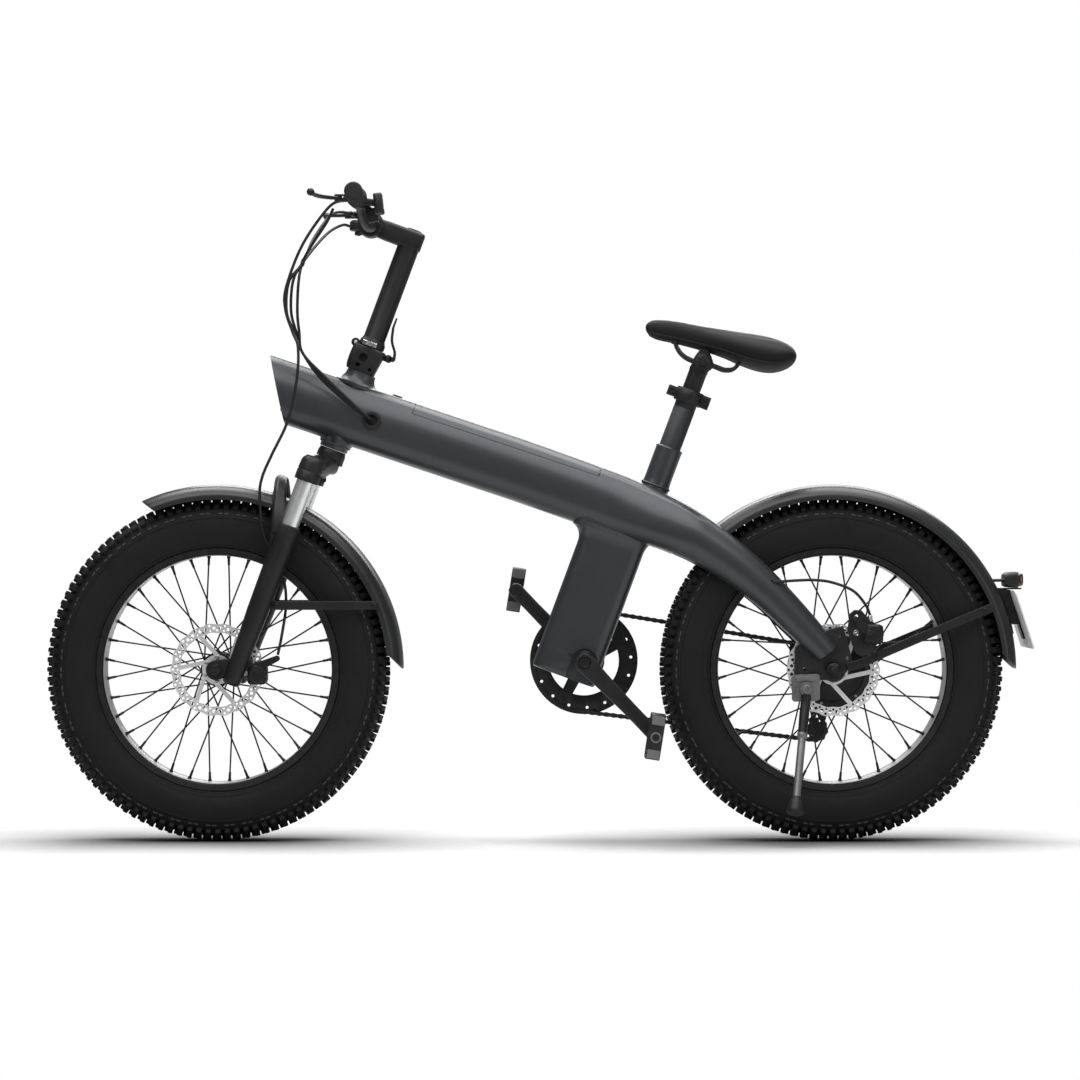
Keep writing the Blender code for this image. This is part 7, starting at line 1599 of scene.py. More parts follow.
    def build(self) -> None:
        """Places the bar and what it carries."""
        place("bar_tube", self.bar(), BLACK, "handlepost", ["handlebar"])
        for side, hand in HANDS:
            place(f"grip_sleeve_{hand}", self.grip(side), RUBBER, "handlepost", [f"grip_{hand}"])
            place(f"lever_clamp_{hand}", self.perch_mesh(side), BLACK, "handlepost", [f"brake_perch_{hand}"])
            place(f"lever_blade_{hand}", self.lever(side), BLACK, f"lever_{hand}", [f"brake_lever_{hand}"])
        place("bar_button_box", self.button_box(), PLASTIC, "handlepost")
        place("panel_case", self.panel_mesh(), PLASTIC, "handlepost", ["display"])
        screen, keys = self.panel_face()
        place("panel_screen", screen, SCREEN, "handlepost")
        place("panel_keys", keys, RUBBER, "handlepost")
        place("shifter_case", self.shifter_mesh(), PLASTIC, "handlepost", ["shifter"])
        place("thumb_paddle", self.thumb(), PLASTIC, "shift_lever", ["shift_lever"])


# Frame

@dataclass
class BeamFrame:
    """The welded frame: beam, mast, forked stays, head collars, seat sleeve and bracket shell."""

    depth: float = 0.1065
    half: float = 0.0450
    corner: float = 0.0340
    shoulder: float = 0.0580
    bay_front: float = -0.2100
    bay_rear: float = 0.1120
    lid_depth: float = 0.0200
    seam: float = 0.0006
    crotch: float = 0.3400
    button_x: float = -0.2430
    port: tuple[float, float] = (-0.2850, 0.7240)
    stays: tuple = ((0.1350, 0.6350, 0.0980, 0.5370, 0.0500), (0.1850, 0.6140, 0.1520, 0.5210, 0.0600),
                    (0.2330, 0.5920, 0.2010, 0.5060, 0.0780), (0.2720, 0.5700, 0.2370, 0.4920, 0.0880),
                    (0.3100, 0.5450, 0.2720, 0.4750, 0.0895), (0.3610, 0.5050, 0.3250, 0.4430, 0.0910),
                    (0.4110, 0.4570, 0.3760, 0.4050, 0.0930), (0.4580, 0.4050, 0.4210, 0.3640, 0.0950),
                    (0.4880, 0.3690, 0.4520, 0.3350, 0.0960), (0.5120, 0.3370, 0.4780, 0.3120, 0.0960))

    def stations(self) -> Array:
        """Top X and Z, bottom X and Z and half width along the beam, spread along a smooth curve."""
        rows = []
        for along in (-0.070, 0.050, 0.200, 0.330, 0.430):
            top = BEAM_TOP + BEAM_BACK * along
            low = top - BEAM_UP * self.depth
            rows.append((top[0], top[2], low[0], low[2], self.half))
        return eased([*rows, *self.stays], 150)

    def beam(self, shrink: float = 0.0) -> bpy.types.Mesh:
        """The beam's outer form: a rounded rectangle between its top and bottom lines, less an inset."""
        table = self.stations()
        top = np.stack([table[:, 0], np.zeros(len(table)), table[:, 1]], -1)
        low = np.stack([table[:, 2], np.zeros(len(table)), table[:, 3]], -1)
        middle, rise = (top + low) / 2.0, (top - low) / 2.0
        height = np.linalg.norm(rise, axis=1)
        lift = rise / height[:, None]
        angle, sign_x, sign_z = corner_turns()
        half = table[:, 4] - shrink
        corner = np.minimum(np.minimum(self.corner, 0.84 * height), 0.8 * half)[:, None]
        shoulder = np.minimum(self.shoulder, 1.10 * height)[:, None]
        rounding = np.where(sign_z > 0, np.maximum(shoulder, corner), corner)
        across = sign_x * (half[:, None] - corner) + corner * np.cos(angle)
        up = sign_z * (height[:, None] - shrink - rounding) + rounding * np.sin(angle)
        points = middle[:, None] + SIDE * across[..., None] + lift[:, None] * up[..., None]
        return Skin().grid(points).mesh("beam")

    def top_point(self, x: float) -> Array:
        """A point on the beam's straight top line."""
        return BEAM_TOP + BEAM_BACK * ((x - BEAM_TOP[0]) / BEAM_BACK[0])

    def box(self, front: float, rear: float, low: float, high: float, half: float) -> bpy.types.Mesh:
        """A box in the beam's directions, between two depths below its top line."""
        rings = []
        for x in (front, rear):
            point = self.top_point(x)
            rings.append([point - BEAM_UP * depth + SIDE * side * half
                          for depth, side in ((low, -1), (low, 1), (high, 1), (high, -1))])
        return Skin().grid(np.array(rings)).mesh("box")

    def mast(self) -> bpy.types.Mesh:
        """The mast: a rounded rectangle carried up its axis, flared where it meets the beam.

        The flare = radius (1 - sqrt(1 - climb^2)), a quarter circle over the last of the climb.
        """
        depth, corner = 0.0568, 0.022
        foot = vec(-0.0100, 0, 0.3030) - MAST_FORWARD * depth
        up = np.concatenate([[0.0, 0.0006, 0.0018, 0.004], np.linspace(0.010, 0.225, 24),
                             np.linspace(0.230, 0.290, 30)])
        ends = np.interp(up, [0, 0.0006, 0.0018, 0.004], [-0.0040, -0.0022, -0.0008, 0.0])
        radius = 0.026
        wide = depth + ends
        thick = 0.0380 + ends
        angle, sign_x, sign_z = corner_turns()
        across = sign_x * (thick[:, None] - corner) + corner * np.cos(angle)
        along = sign_z * (wide[:, None] - corner) + corner * np.sin(angle)
        joint = [float((vec(x, 0, z) - foot) @ MAST_UP) for x, z in ((0.0750, 0.5420), (0.1890, 0.5150))]
        meet = np.interp(along, [-depth, depth], joint)
        climb = np.clip((up[:, None] - (meet - radius)) / radius, 0, 1)
        flare = radius * (1.0 - np.sqrt(1.0 - np.minimum(climb, 0.999) ** 2)) * 0.80
        along = along + np.sign(along) * flare * (np.abs(along) > 0.030) * np.where(along > 0, 0.55, 0.95)
        across = across + np.sign(across) * 0.30 * flare
        points = (foot + MAST_UP * up[:, None])[:, None] + SIDE * across[..., None]
        points -= MAST_FORWARD * along[..., None]
        return Skin().grid(points).mesh("mast")

    def collars(self) -> bpy.types.Mesh:
        """The head's upper and lower rings, each flared into the beam with a weld's soft foot."""
        skin = Skin()
        skin.lathe([(0.0100, 0.070), (0.0300, 0.070), (0.0300, 0.1040), (0.0290, 0.1160), (0.0276, 0.1262),
                    (0.0262, 0.1320), (0.0250, 0.1340), (0.0156, 0.1340)], LOWER_RACE, STEER_UP, 72)
        skin.lathe([(0.0156, 0.0060), (0.0236, 0.0060), (0.0245, 0.0068), (0.0245, 0.0110), (0.0252, 0.0128),
                    (0.0270, 0.0160), (0.0300, 0.0210), (0.0345, 0.0290), (0.0400, 0.0420),
                    (0.0100, 0.0420)], LOWER_RACE, STEER_UP, 72)
        return skin.mesh("collars")

    def sleeve(self) -> bpy.types.Mesh:
        """The seat sleeve with its rolled lip, a bore and a flared foot."""
        profile = [(0.0191, -0.1040), (0.0255, -0.1050), (0.0250, -0.0900), (0.0246, -0.0780),
                   (0.0240, -0.0690), (0.0234, -0.0640), (0.0231, -0.0600), (0.0230, -0.0560),
                   (0.0230, -0.0420), (0.0230, -0.0040), (0.0238, -0.0034), (0.0239, -0.0026),
                   (0.0236, -0.0016), (0.0222, 0.0), (0.0196, 0.0), (0.0191, -0.0006)]
        return Skin().lathe(profile, SLEEVE_TOP, SEAT_UP, 72, ring=True).mesh("seat_tube")

    def wheel_room(self) -> bpy.types.Mesh:
        """The space between the stays: a cylinder round the rear axle joined to a widening wedge.

        Half width = a smooth step from the crotch's to the dropouts' along X.
        """
        angle = np.radians(np.linspace(108, 200, 70))
        arc = REAR_AXLE[[0, 2]] + self.crotch * np.stack([np.cos(angle), np.sin(angle)], -1)
        line = np.concatenate([arc, [(REAR_AXLE[0] + 0.12, 0.180), (REAR_AXLE[0] + 0.12, 0.620)]])
        share = np.clip((line[:, 0] - 0.30) / 0.12, 0, 1)
        half = 0.0625 + 0.0165 * share * share * (3 - 2 * share)
        walls = np.stack([np.stack([line[:, 0], side * half, line[:, 1]], -1) for side in (-1.0, 1.0)])
        return Skin().grid(walls).mesh("wheel_room")

    def shell(self) -> bpy.types.Mesh:
        """The whole frame: forms joined, with the wheel's room, nose, mouth, bay and bores taken out."""
        nose_top = self.top_point(-0.4615)
        nose_low = vec(-0.4360, 0, nose_top[2] - self.depth / math.cos(math.radians(18.5)) - 0.010)
        run = unit(nose_top - nose_low)
        high, deep = nose_top + run * 0.10, nose_low - run * 0.10
        wall = (high, deep, deep - vec(0.2, 0, 0), high - vec(0.2, 0, 0))
        ahead = Skin().grid(np.array([[point + SIDE * side for point in wall] for side in (-0.2, 0.2)]))
        start = BEAM_TOP - BEAM_UP * self.depth / 2.0 - BEAM_BACK * 0.120
        floor = BEAM_TOP - BEAM_UP * self.depth / 2.0 + BEAM_BACK * 0.020
        mouth = Skin().sweep(np.linspace(start, floor, 3), rounded(0.078, 0.0945, 0.028, 10))
        port = vec(self.port[0], -self.half, self.port[1])
        button = self.top_point(self.button_x)
        bores = (("head", LOWER_RACE - STEER_UP * 0.03, LOWER_RACE + STEER_UP * 0.17, 0.0156, 48),
                 ("bore", SLEEVE_TOP - SEAT_UP * 0.184, SLEEVE_TOP + SEAT_UP * 0.02, 0.0191, 48),
                 ("port", port - SIDE * 0.02, port + SIDE * 0.014, 0.0123, 40),
                 ("slot", vec(0.3980, -0.0870, 0.4470), vec(0.4500, -0.0870, 0.4495), 0.0031, 20),
                 ("key", button - BEAM_UP * 0.012, button + BEAM_UP * 0.02, 0.0093, 32),
                 ("cups", BRACKET - SIDE * 0.08, BRACKET + SIDE * 0.08, 0.0186, 48))
        less = [(self.wheel_room(), Cut.LESS), (ahead.mesh("ahead"), Cut.LESS),
                (mouth.mesh("mouth"), Cut.LESS),
                (self.box(self.bay_front, self.bay_rear, -0.030, self.lid_depth, 0.100), Cut.LESS),
                (self.box(self.bay_front + 0.008, self.bay_rear - 0.008, -0.010, 0.085, 0.033), Cut.LESS)]
        beam = combined(self.beam(), less)
        shell = Skin().lathe([(0.0100, -0.0500), (0.0188, -0.0500), (0.0195, -0.0492), (0.0195, 0.0492),
                              (0.0188, 0.0500), (0.0100, 0.0500)], BRACKET, SIDE, 64)
        foot = BRACKET - MAST_UP * 0.060
        pocket = capsule(side_view(BRACKET), side_view(foot), 0.0225, 0.0225, 20)
        pockets = [(Skin().slab(pocket, low, high, 0.0006).mesh("pocket"), Cut.LESS)
                   for low, high in ((-0.0700, -0.0325), (0.0325, 0.0700))]
        plus = [(combined(self.mast(), pockets), Cut.PLUS), (self.collars(), Cut.PLUS),
                (shell.mesh("bracket_shell"), Cut.PLUS)]
        holes = [(Skin().rods(start, end, plain_bar(radius), sides).mesh(name), Cut.LESS)
                 for name, start, end, radius, sides in bores]
        return combined(beam, plus + holes, 0.0012, 45.0, 30.0)

    def lid(self) -> bpy.types.Mesh:
        """The battery's lid: the beam's own form inside the bay's box, less a seam and a pocket."""
        slab = self.box(self.bay_front + self.seam, self.bay_rear - self.seam, -0.030,
                        self.lid_depth - self.seam, 0.100)
        pocket = self.box(self.bay_front + 0.014, self.bay_rear - 0.014, 0.0070, self.lid_depth + 0.010,
                          0.025)
        return combined(self.beam(), [(slab, Cut.SHARED), (pocket, Cut.LESS)], 0.0007, 45.0, 30.0)

    def cups(self) -> bpy.types.Mesh:
        """The bracket's bearing cups: a stepped face round the spindle on each side."""
        skin = Skin()
        for side in (-1.0, 1.0):
            skin.lathe([(0.0097, 0.0440), (0.0180, 0.0440), (0.0180, 0.0518), (0.0172, 0.0528),
                        (0.0140, 0.0530), (0.0132, 0.0522), (0.0104, 0.0520), (0.0097, 0.0512)], BRACKET,
                       SIDE * side, 48, ring=True)
        return skin.mesh("bracket_cups")

    def weld_beads(self) -> bpy.types.Mesh:
        """Weld beads round the lower collar and the sleeve.

        A bead is a ring whose thickness ripples: size = thick (1 + 0.14 cos n a).
        """
        skin = Skin()
        beads = ((SLEEVE_TOP - SEAT_UP * 0.0700, SEAT_UP, 0.0236, 0.0022, 60),
                 (LOWER_RACE + STEER_UP * 0.0150, STEER_UP, 0.0262, 0.0014, 64))
        for centre, axis, radius, thick, count in beads:
            angle = np.arange(count * 4) * 2.0 * np.pi / (count * 4)
            first = unit(np.cross(axis, SIDE))
            second = np.cross(axis, first)
            out = np.cos(angle)[:, None] * first + np.sin(angle)[:, None] * second
            ring = np.arange(8) * 2.0 * np.pi / 8
            size = thick * (1.0 + 0.14 * np.cos(count * angle))
            points = (centre + out * radius)[:, None] + size[:, None, None] * (
                np.cos(ring)[None, :, None] * out[:, None] + np.sin(ring)[None, :, None] * axis)
            skin.grid(points, ring=True)
        return skin.mesh("weld_beads", 60.0)

    def grommet(self) -> bpy.types.Mesh:
        """The rubber ring in the cable port: a lip outside the beam's wall and a sunk throat."""
        port = vec(self.port[0], -self.half, self.port[1])
        profile = [(0.0090, -0.010), (0.0122, -0.010), (0.0122, -0.0002), (0.0150, 0.0001), (0.0160, 0.0010),
                   (0.0160, 0.0022), (0.0150, 0.0030), (0.0120, 0.0034), (0.0098, 0.0026), (0.0090, 0.0010)]
        skin = Skin().lathe(profile, port, -SIDE, 48, ring=True)
        return skin.lathe([(0.0096, -0.010), (0.0096, -0.0050), (0.0010, -0.0044)], port, -SIDE,
                          40).mesh("port_ring")

    def button(self) -> bpy.types.Mesh:
        """The rubber push button with a dished top inside a raised ring."""
        centre = self.top_point(self.button_x)
        profile = [(0.0020, -0.0100), (0.0089, -0.0100), (0.0089, 0.0012), (0.0084, 0.0022),
                   (0.0074, 0.0028), (0.0062, 0.0026), (0.0050, 0.0021), (0.0010, 0.0018)]
        return Skin().lathe(profile, centre, BEAM_UP, 40).mesh("push_button")

    def lamp(self) -> tuple[bpy.types.Mesh, bpy.types.Mesh]:
        """The headlight in the mouth: a bezel with a reflector's bowl, and its domed lens."""
        base = BEAM_TOP - BEAM_UP * self.depth / 2.0 + BEAM_BACK * 0.0195
        bezel = Skin().lathe([(0.0010, 0.0), (0.0330, 0.0), (0.0336, 0.0040), (0.0336, 0.0240),
                              (0.0322, 0.0258), (0.0300, 0.0256), (0.0290, 0.0200), (0.0220, 0.0080),
                              (0.0010, 0.0050)], base, BEAM_FORWARD, 56).mesh("lamp_bezel")
        lens = Skin().lathe([(0.0010, 0.0205), (0.0294, 0.0205), (0.0296, 0.0226), (0.0240, 0.0240),
                             (0.0160, 0.0250), (0.0080, 0.0256), (0.0010, 0.0258)], base, BEAM_FORWARD,
                            56).mesh("lamp_lens")
        return bezel, lens

    def dropout(self, side: float) -> bpy.types.Mesh:
        """A black plate inside the stay's end, round the axle, with two small holes and cut corners."""
        x, z = REAR_AXLE[0], REAR_AXLE[2]
        angle = np.radians(np.linspace(236, 344, 19))
        boss = np.stack([x + 0.0205 * np.cos(angle), z + 0.0205 * np.sin(angle)], -1)
        outline = np.concatenate([[(x - 0.0658, z + 0.0392), (x - 0.0678, z - 0.0128),
                                   (x - 0.0240, z - 0.0168)], boss,
                                  [(x + 0.0322, z + 0.0122), (x + 0.0282, z + 0.0322),
                                   (x + 0.0162, z + 0.0762), (x - 0.0058, z + 0.0702),
                                   (x - 0.0358, z + 0.0562)]])
        holes = [round_plate((x, z), 0.0073, 32), round_plate((x - 0.050, z + 0.002), 0.0028, 16),
                 round_plate((x + 0.0235, z + 0.020), 0.0026, 16),
                 round_plate((x + 0.0100, z + 0.060), 0.0026, 16)]
        low, high = sorted((side * 0.0787, side * 0.0727))
        return combined(perforated(outline, holes, low, high, "dropout_plate"), [], 0.0008, 50.0)

    def build(self) -> None:
        """Places the frame's pieces."""
        place("frame_shell", self.shell(), PAINT, "frame", ["frame"])
        place("seat_tube", self.sleeve(), PAINT, "frame", ["seat_sleeve"])
        place("weld_beads", self.weld_beads(), PAINT, "frame")
        place("bracket_cups", self.cups(), BLACK, "frame")
        place("port_ring", self.grommet(), RUBBER, "frame")
        place("lid_shell", self.lid(), PAINT, "lid", ["battery_lid"])
        place("push_button", self.button(), RUBBER, "button", ["power_button"])
        bezel, lens = self.lamp()
        place("lamp_bezel", bezel, PLASTIC, "frame", ["headlight"])
        place("lamp_lens", lens, CLEAR_LENS, "frame")
        for side, hand in HANDS:
            place(f"dropout_plate_{hand}", self.dropout(side), BLACK, "frame", [f"dropout_{hand}"])
        dress("battery_pack", PLASTIC)


# Drive

@dataclass
class Drive:
    """Chainring with guard, cranks, pedals, chain, sprockets and derailleur."""

    chain_side: float = 0.0620
    pitch: float = 0.0127
    ring_teeth: int = 44
    rear_teeth: int = 16
    guide_teeth: int = 9
    window_turn: float = 1.093
    arm_reach: float = 0.0765
    crank_length: float = 0.170
    crank_turn: float = -45.9
    pedal_tilt: float = 81.0
    upper: Array = field(default_factory=lambda: vec(0.4970, 0.0, 0.2385))
    lower: Array = field(default_factory=lambda: vec(0.4840, 0.0, 0.1880))

    def radius(self, teeth: int) -> float:
        """Pitch radius = pitch / (2 sin(pi / teeth))."""
        return self.pitch / (2.0 * math.sin(math.pi / teeth))

    def toothed(self, centre: Array, teeth: int, phase: float = 0.0) -> Array:
        """A sprocket's outline: radius = a root circle plus a rounded tooth (a raised, clipped cosine)."""
        angle = np.arange(teeth * 12) * 2.0 * np.pi / (teeth * 12)
        wave = np.clip(0.5 + 0.75 * np.cos(teeth * (angle - phase)), 0.0, 1.0)
        reach = self.radius(teeth) - 0.0036 + 0.0066 * wave
        return np.stack([centre[0] + reach * np.cos(angle), centre[2] + reach * np.sin(angle)], -1)

    def ring(self) -> bpy.types.Mesh:
        """The chainring: teeth outside, five windows and a bore inside."""
        mid = side_view(BRACKET)
        holes = [round_plate(mid, 0.0143, 40), *self.ring_holes(0.0026)]
        for i in range(5):
            base = 2.0 * math.pi * i / 5 + self.window_turn
            near = base + np.radians(np.linspace(-19, 19, 9))
            far = base + np.radians(np.linspace(27, -27, 17))
            holes.append(np.concatenate([np.stack([0.036 * np.cos(near), 0.036 * np.sin(near)], -1),
                                         np.stack([0.0610 * np.cos(far), 0.0610 * np.sin(far)], -1)]) + mid)
        side = self.chain_side
        plate = perforated(self.toothed(BRACKET, self.ring_teeth), holes, side - 0.0012, side + 0.0012,
                           "ring")
        return combined(plate, [], 0.0003, 50.0)

    def ring_holes(self, radius: float) -> list[Array]:
        """Sixteen small round holes near the chainring's rim."""
        spots = [polar(BRACKET, 0.0822, 22.5 * i + 4.0) for i in range(16)]
        return [round_plate(side_view(spot), radius, 14) for spot in spots]

    def guard(self) -> bpy.types.Mesh:
        """The chain guard: a flat drilled ring outside the chainring with a rolled outer edge."""
        low, mid = self.radius(self.ring_teeth) - 0.0135, side_view(BRACKET)
        flat = perforated(round_plate(mid, 0.0930, 132),
                          [round_plate(mid, low, 132), *self.ring_holes(0.0030)], 0.0664, 0.0677,
                          "guard_flat")
        rim = Skin().lathe([(0.0912, 0.0663), (0.0932, 0.0663), (0.0940, 0.0667), (0.0940, 0.0680),
                            (0.0932, 0.0684), (0.0912, 0.0683)], BRACKET, SIDE, 132,
                           ring=True).mesh("guard_rim")
        return joined("chain_guard", combined(flat, [], 0.0003, 50.0), rim)

    def arm_angles(self) -> list[float]:
        """Angles of the five arms in degrees, each halfway between two of the chainring's windows."""
        return [math.degrees(2.0 * math.pi * i / 5 + self.window_turn) + 36.0 for i in range(5)]

    def spider(self) -> bpy.types.Mesh:
        """Five tapering arms from the right crank's boss to the chainring, with a dished hub."""
        skin = Skin().lathe([(0.0085, 0.0638), (0.0170, 0.0638), (0.0178, 0.0646), (0.0178, 0.0690),
                             (0.0165, 0.0704), (0.0085, 0.0704)], BRACKET, SIDE, 48, ring=True)
        for angle in self.arm_angles():
            start, end = polar(BRACKET, 0.012, angle), polar(BRACKET, self.arm_reach, angle)
            skin.slab(capsule(side_view(start), side_view(end), 0.0088, 0.0058, 12), 0.0638, 0.0676, 0.0008)
        return skin.mesh("spider_arms")

    def ring_bolts(self) -> bpy.types.Mesh:
        """Five ring bolts with round recesses, through the arms' ends."""
        spots = np.array([polar(BRACKET, self.arm_reach, angle, 0.0684) for angle in self.arm_angles()])
        stations = ((0, -0.010, 0.0042), (0, 0.0004, 0.0050), (0, 0.0014, 0.0046), (0, 0.0016, 0.0026),
                    (0, 0.0004, 0.0022))
        return Skin().rods(spots, spots + SIDE * 0.01, stations, 18).mesh("ring_screws")

    def crank_end(self, side: float) -> Array:
        """The pedal axle's place on a crank, at the middle plane."""
        return polar(BRACKET, self.crank_length, self.crank_turn if side < 0 else 180.0 + self.crank_turn)

    def crank(self, side: float) -> bpy.types.Mesh:
        """A forged arm: capsule sections that narrow and thin from the boss to the pedal's eye.

        Each ring of the arm is a rounded rectangle; its width, thickness and offset follow eased rows.
        """
        end = self.crank_end(side)
        run = unit(end - BRACKET)
        across = np.cross(SIDE, run)
        rows = eased([(-0.0160, 0.0060, 0.0725, 0.0855), (-0.0145, 0.0220, 0.0705, 0.0875),
                      (-0.0080, 0.0310, 0.0692, 0.0886), (0.0080, 0.0335, 0.0690, 0.0888),
                      (0.0300, 0.0300, 0.0705, 0.0872), (0.0700, 0.0262, 0.0715, 0.0862),
                      (0.1250, 0.0240, 0.0718, 0.0860), (0.1560, 0.0246, 0.0718, 0.0862),
                      (0.1720, 0.0244, 0.0718, 0.0862), (0.1790, 0.0190, 0.0722, 0.0858),
                      (0.1818, 0.0060, 0.0735, 0.0845)], 72)
        rings = []
        for along, wide, near, far in rows:
            shape = rounded(wide, far - near, min(0.0050, 0.45 * wide, 0.45 * (far - near)), 6)
            depth = (near + far) / 2 + shape[:, 1:]
            rings.append(BRACKET + run * along + across * shape[:, :1] + SIDE * side * depth)
        arm = Skin().grid(np.array(rings)).mesh("arm")
        boss = Skin().lathe([(0.0010, 0.0533), (0.0138, 0.0533), (0.0150, 0.0560), (0.0158, 0.0720),
                             (0.0150, 0.0740), (0.0010, 0.0740)], BRACKET, SIDE * side, 48).mesh("boss")
        eye = Skin().rods(end + SIDE * side * 0.0700, end + SIDE * side * 0.0878,
                          eased_bar(0.0108, 0.0116, 0.0010), 40).mesh("eye")
        cap = Skin().rods(BRACKET + SIDE * side * 0.083, BRACKET + SIDE * side * 0.095, plain_bar(0.0108),
                          40).mesh("cap_seat")
        return combined(arm, [(boss, Cut.PLUS), (eye, Cut.PLUS), (cap, Cut.LESS)], 0.0008, 35.0)

    def crank_bolt(self, side: float) -> bpy.types.Mesh:
        """The crank's bolt: a flanged cap with a recess in the arm's seat."""
        profile = [(0.0010, 0.0815), (0.0102, 0.0815), (0.0104, 0.0850), (0.0098, 0.0862), (0.0074, 0.0868),
                   (0.0050, 0.0866), (0.0046, 0.0846), (0.0010, 0.0846)]
        return Skin().lathe(profile, BRACKET, SIDE * side, 36).mesh("crank_bolt")

    def pedal_axes(self) -> tuple[Array, Array]:
        """The direction along a pedal's frame and the one square to its face."""
        tilt = math.radians(self.pedal_tilt)
        return vec(math.cos(tilt), 0, math.sin(tilt)), vec(-math.sin(tilt), 0, math.cos(tilt))

    def pedal(self, side: float) -> tuple[bpy.types.Mesh, bpy.types.Mesh]:
        """A pedal: a toothed frame with bridges round the axle's tube, and its bright axle.

        The frame's outline is a rounded rectangle whose edge rises and falls in teeth across the pedal.
        """
        end = self.crank_end(side)
        run, up = self.pedal_axes()
        low, high, long = 0.1045, 0.1995, 0.0775
        middle, wide = (low + high) / 2.0, high - low
        outline = rounded(long, wide, 0.0120, 8)
        dense = np.concatenate([np.linspace(a, b, 8, endpoint=False)
                                for a, b in zip(outline, np.roll(outline, -1, 0))])
        teeth = 0.0009 * (np.cos(dense[:, 1] * 2 * np.pi / 0.0082) > 0) * (np.abs(dense[:, 0]) > 0.036)
        outer = dense + np.stack([np.sign(dense[:, 0]) * (teeth - 0.0009), np.zeros(len(dense))], -1)
        inner = dense * np.array([long - 0.0150, wide - 0.0170]) / np.array([long, wide])
        rings = []
        for shape, depth in ((outer * 0.985, -0.0120), (outer, -0.0108), (outer, 0.0108),
                             (outer * 0.985, 0.0120), (inner * 1.01, 0.0120), (inner, 0.0106),
                             (inner, -0.0106), (inner * 1.01, -0.0120)):
            rings.append(end + run * shape[:, :1] + SIDE * side * (middle + shape[:, 1:]) + up * depth)
        skin = Skin().grid(np.array(rings), ring=True)
        for along in (-0.0210, 0.0210):
            near, far = (end + run * along + SIDE * side * offset for offset in (low + 0.004, high - 0.004))
            skin.sweep(np.linspace(near, far, 4), rounded(0.0050, 0.0160, 0.0015, 3), run)
        for across in (low + 0.026, high - 0.026):
            start = end - run * 0.035 + SIDE * side * across
            skin.sweep(np.linspace(start, start + run * 0.070, 4), rounded(0.0050, 0.0120, 0.0015, 3), SIDE)
        skin.lathe([(0.0060, low - 0.0008), (0.0092, low - 0.0008), (0.0100, low), (0.0100, 0.1450),
                    (0.0086, 0.1500), (0.0086, high - 0.004), (0.0060, high - 0.004)], end, SIDE * side, 32,
                   ring=True)
        body = skin.mesh("pedal_body", 35.0)
        profile = [(0.0010, 0.0880), (0.0078, 0.0880), (0.0080, 0.0890), (0.0080, 0.1016), (0.0076, 0.1036),
                   (0.0056, 0.1038), (0.0054, 0.1900), (0.0048, 0.1925), (0.0010, 0.1930)]
        return body, Skin().lathe(profile, end, SIDE * side, 28).mesh("pedal_axle")

    def pedal_ends(self, side: float) -> bpy.types.Mesh:
        """Stepped blocks and a ring on the pedal's outer and inner ends, round the axle's dust cap."""
        end = self.crank_end(side)
        run, up = self.pedal_axes()
        skin = Skin()
        for offset in (0.1036, 0.2004):
            for shift, long, wide in ((0.0285, 0.0150, 0.0215), (-0.0285, 0.0150, 0.0215)):
                centre = end + run * shift + SIDE * side * offset
                path = np.linspace(centre - SIDE * 0.0012, centre + SIDE * 0.0012, 3)
                skin.sweep(path, rounded(wide, long, 0.0018, 4), up)
            skin.lathe([(0.0062, -0.0014), (0.0088, -0.0014), (0.0094, 0.0), (0.0088, 0.0014),
                        (0.0062, 0.0014)], end + SIDE * side * offset, SIDE, 32, ring=True)
        return skin.mesh("pedal_ends", 30.0)

    def reflectors(self, side: float) -> bpy.types.Mesh:
        """Ribbed reflectors let into the pedal's front and rear edges."""
        end = self.crank_end(side)
        run = self.pedal_axes()[0]
        skin = Skin()
        for way in (-1.0, 1.0):
            middle = end + run * way * 0.0377 + SIDE * side * 0.152
            path = np.linspace(middle - SIDE * 0.022, middle + SIDE * 0.022, 23)
            bump = 1.0 + 0.04 * np.cos(np.arange(23) * np.pi)
            skin.sweep(path, rounded(0.0024, 0.0120, 0.0009, 3)[None] * bump[:, None, None], run)
        return skin.mesh("pedal_reflectors")

    def loop(self) -> Array:
        """The chain's closed line: arcs on the four wheels joined by their common tangents.

        For turning senses s and t the tangent leaves at angle phi with cos phi = (s r1 - t r2) / distance.
        """
        wheels = [(centre, self.radius(teeth), sense) for centre, teeth, sense in (
            (BRACKET, self.ring_teeth, -1.0), (REAR_AXLE, self.rear_teeth, -1.0),
            (self.upper, self.guide_teeth, 1.0), (self.lower, self.guide_teeth, -1.0))]
        joins = []
        for (first, r1, s), (second, r2, t) in zip(wheels, wheels[1:] + wheels[:1]):
            gap = (second - first)[[0, 2]]
            far = float(np.hypot(*gap))
            heading = math.atan2(gap[1], gap[0])
            turn = math.acos((s * r1 - t * r2) / far) * -1.0
            normal = heading + turn
            out = np.array([math.cos(normal), math.sin(normal)])
            joins.append((first[[0, 2]] + out * r1 * s, second[[0, 2]] + out * r2 * t))
        line = []
        for (start, _), (_, arrive), (centre, reach, sense) in zip(joins, joins[-1:] + joins[:-1], wheels):
            mid = centre[[0, 2]]
            a = math.atan2(*(arrive - mid)[::-1])
            b = math.atan2(*(start - mid)[::-1])
            sweep = (b - a) % (2 * math.pi) if sense > 0 else -((a - b) % (2 * math.pi))
            angle = a + sweep * np.linspace(0, 1, max(3, int(abs(sweep) * reach / 0.001)))
            line.append(mid + reach * np.stack([np.cos(angle), np.sin(angle)], -1))
        return np.concatenate(line)

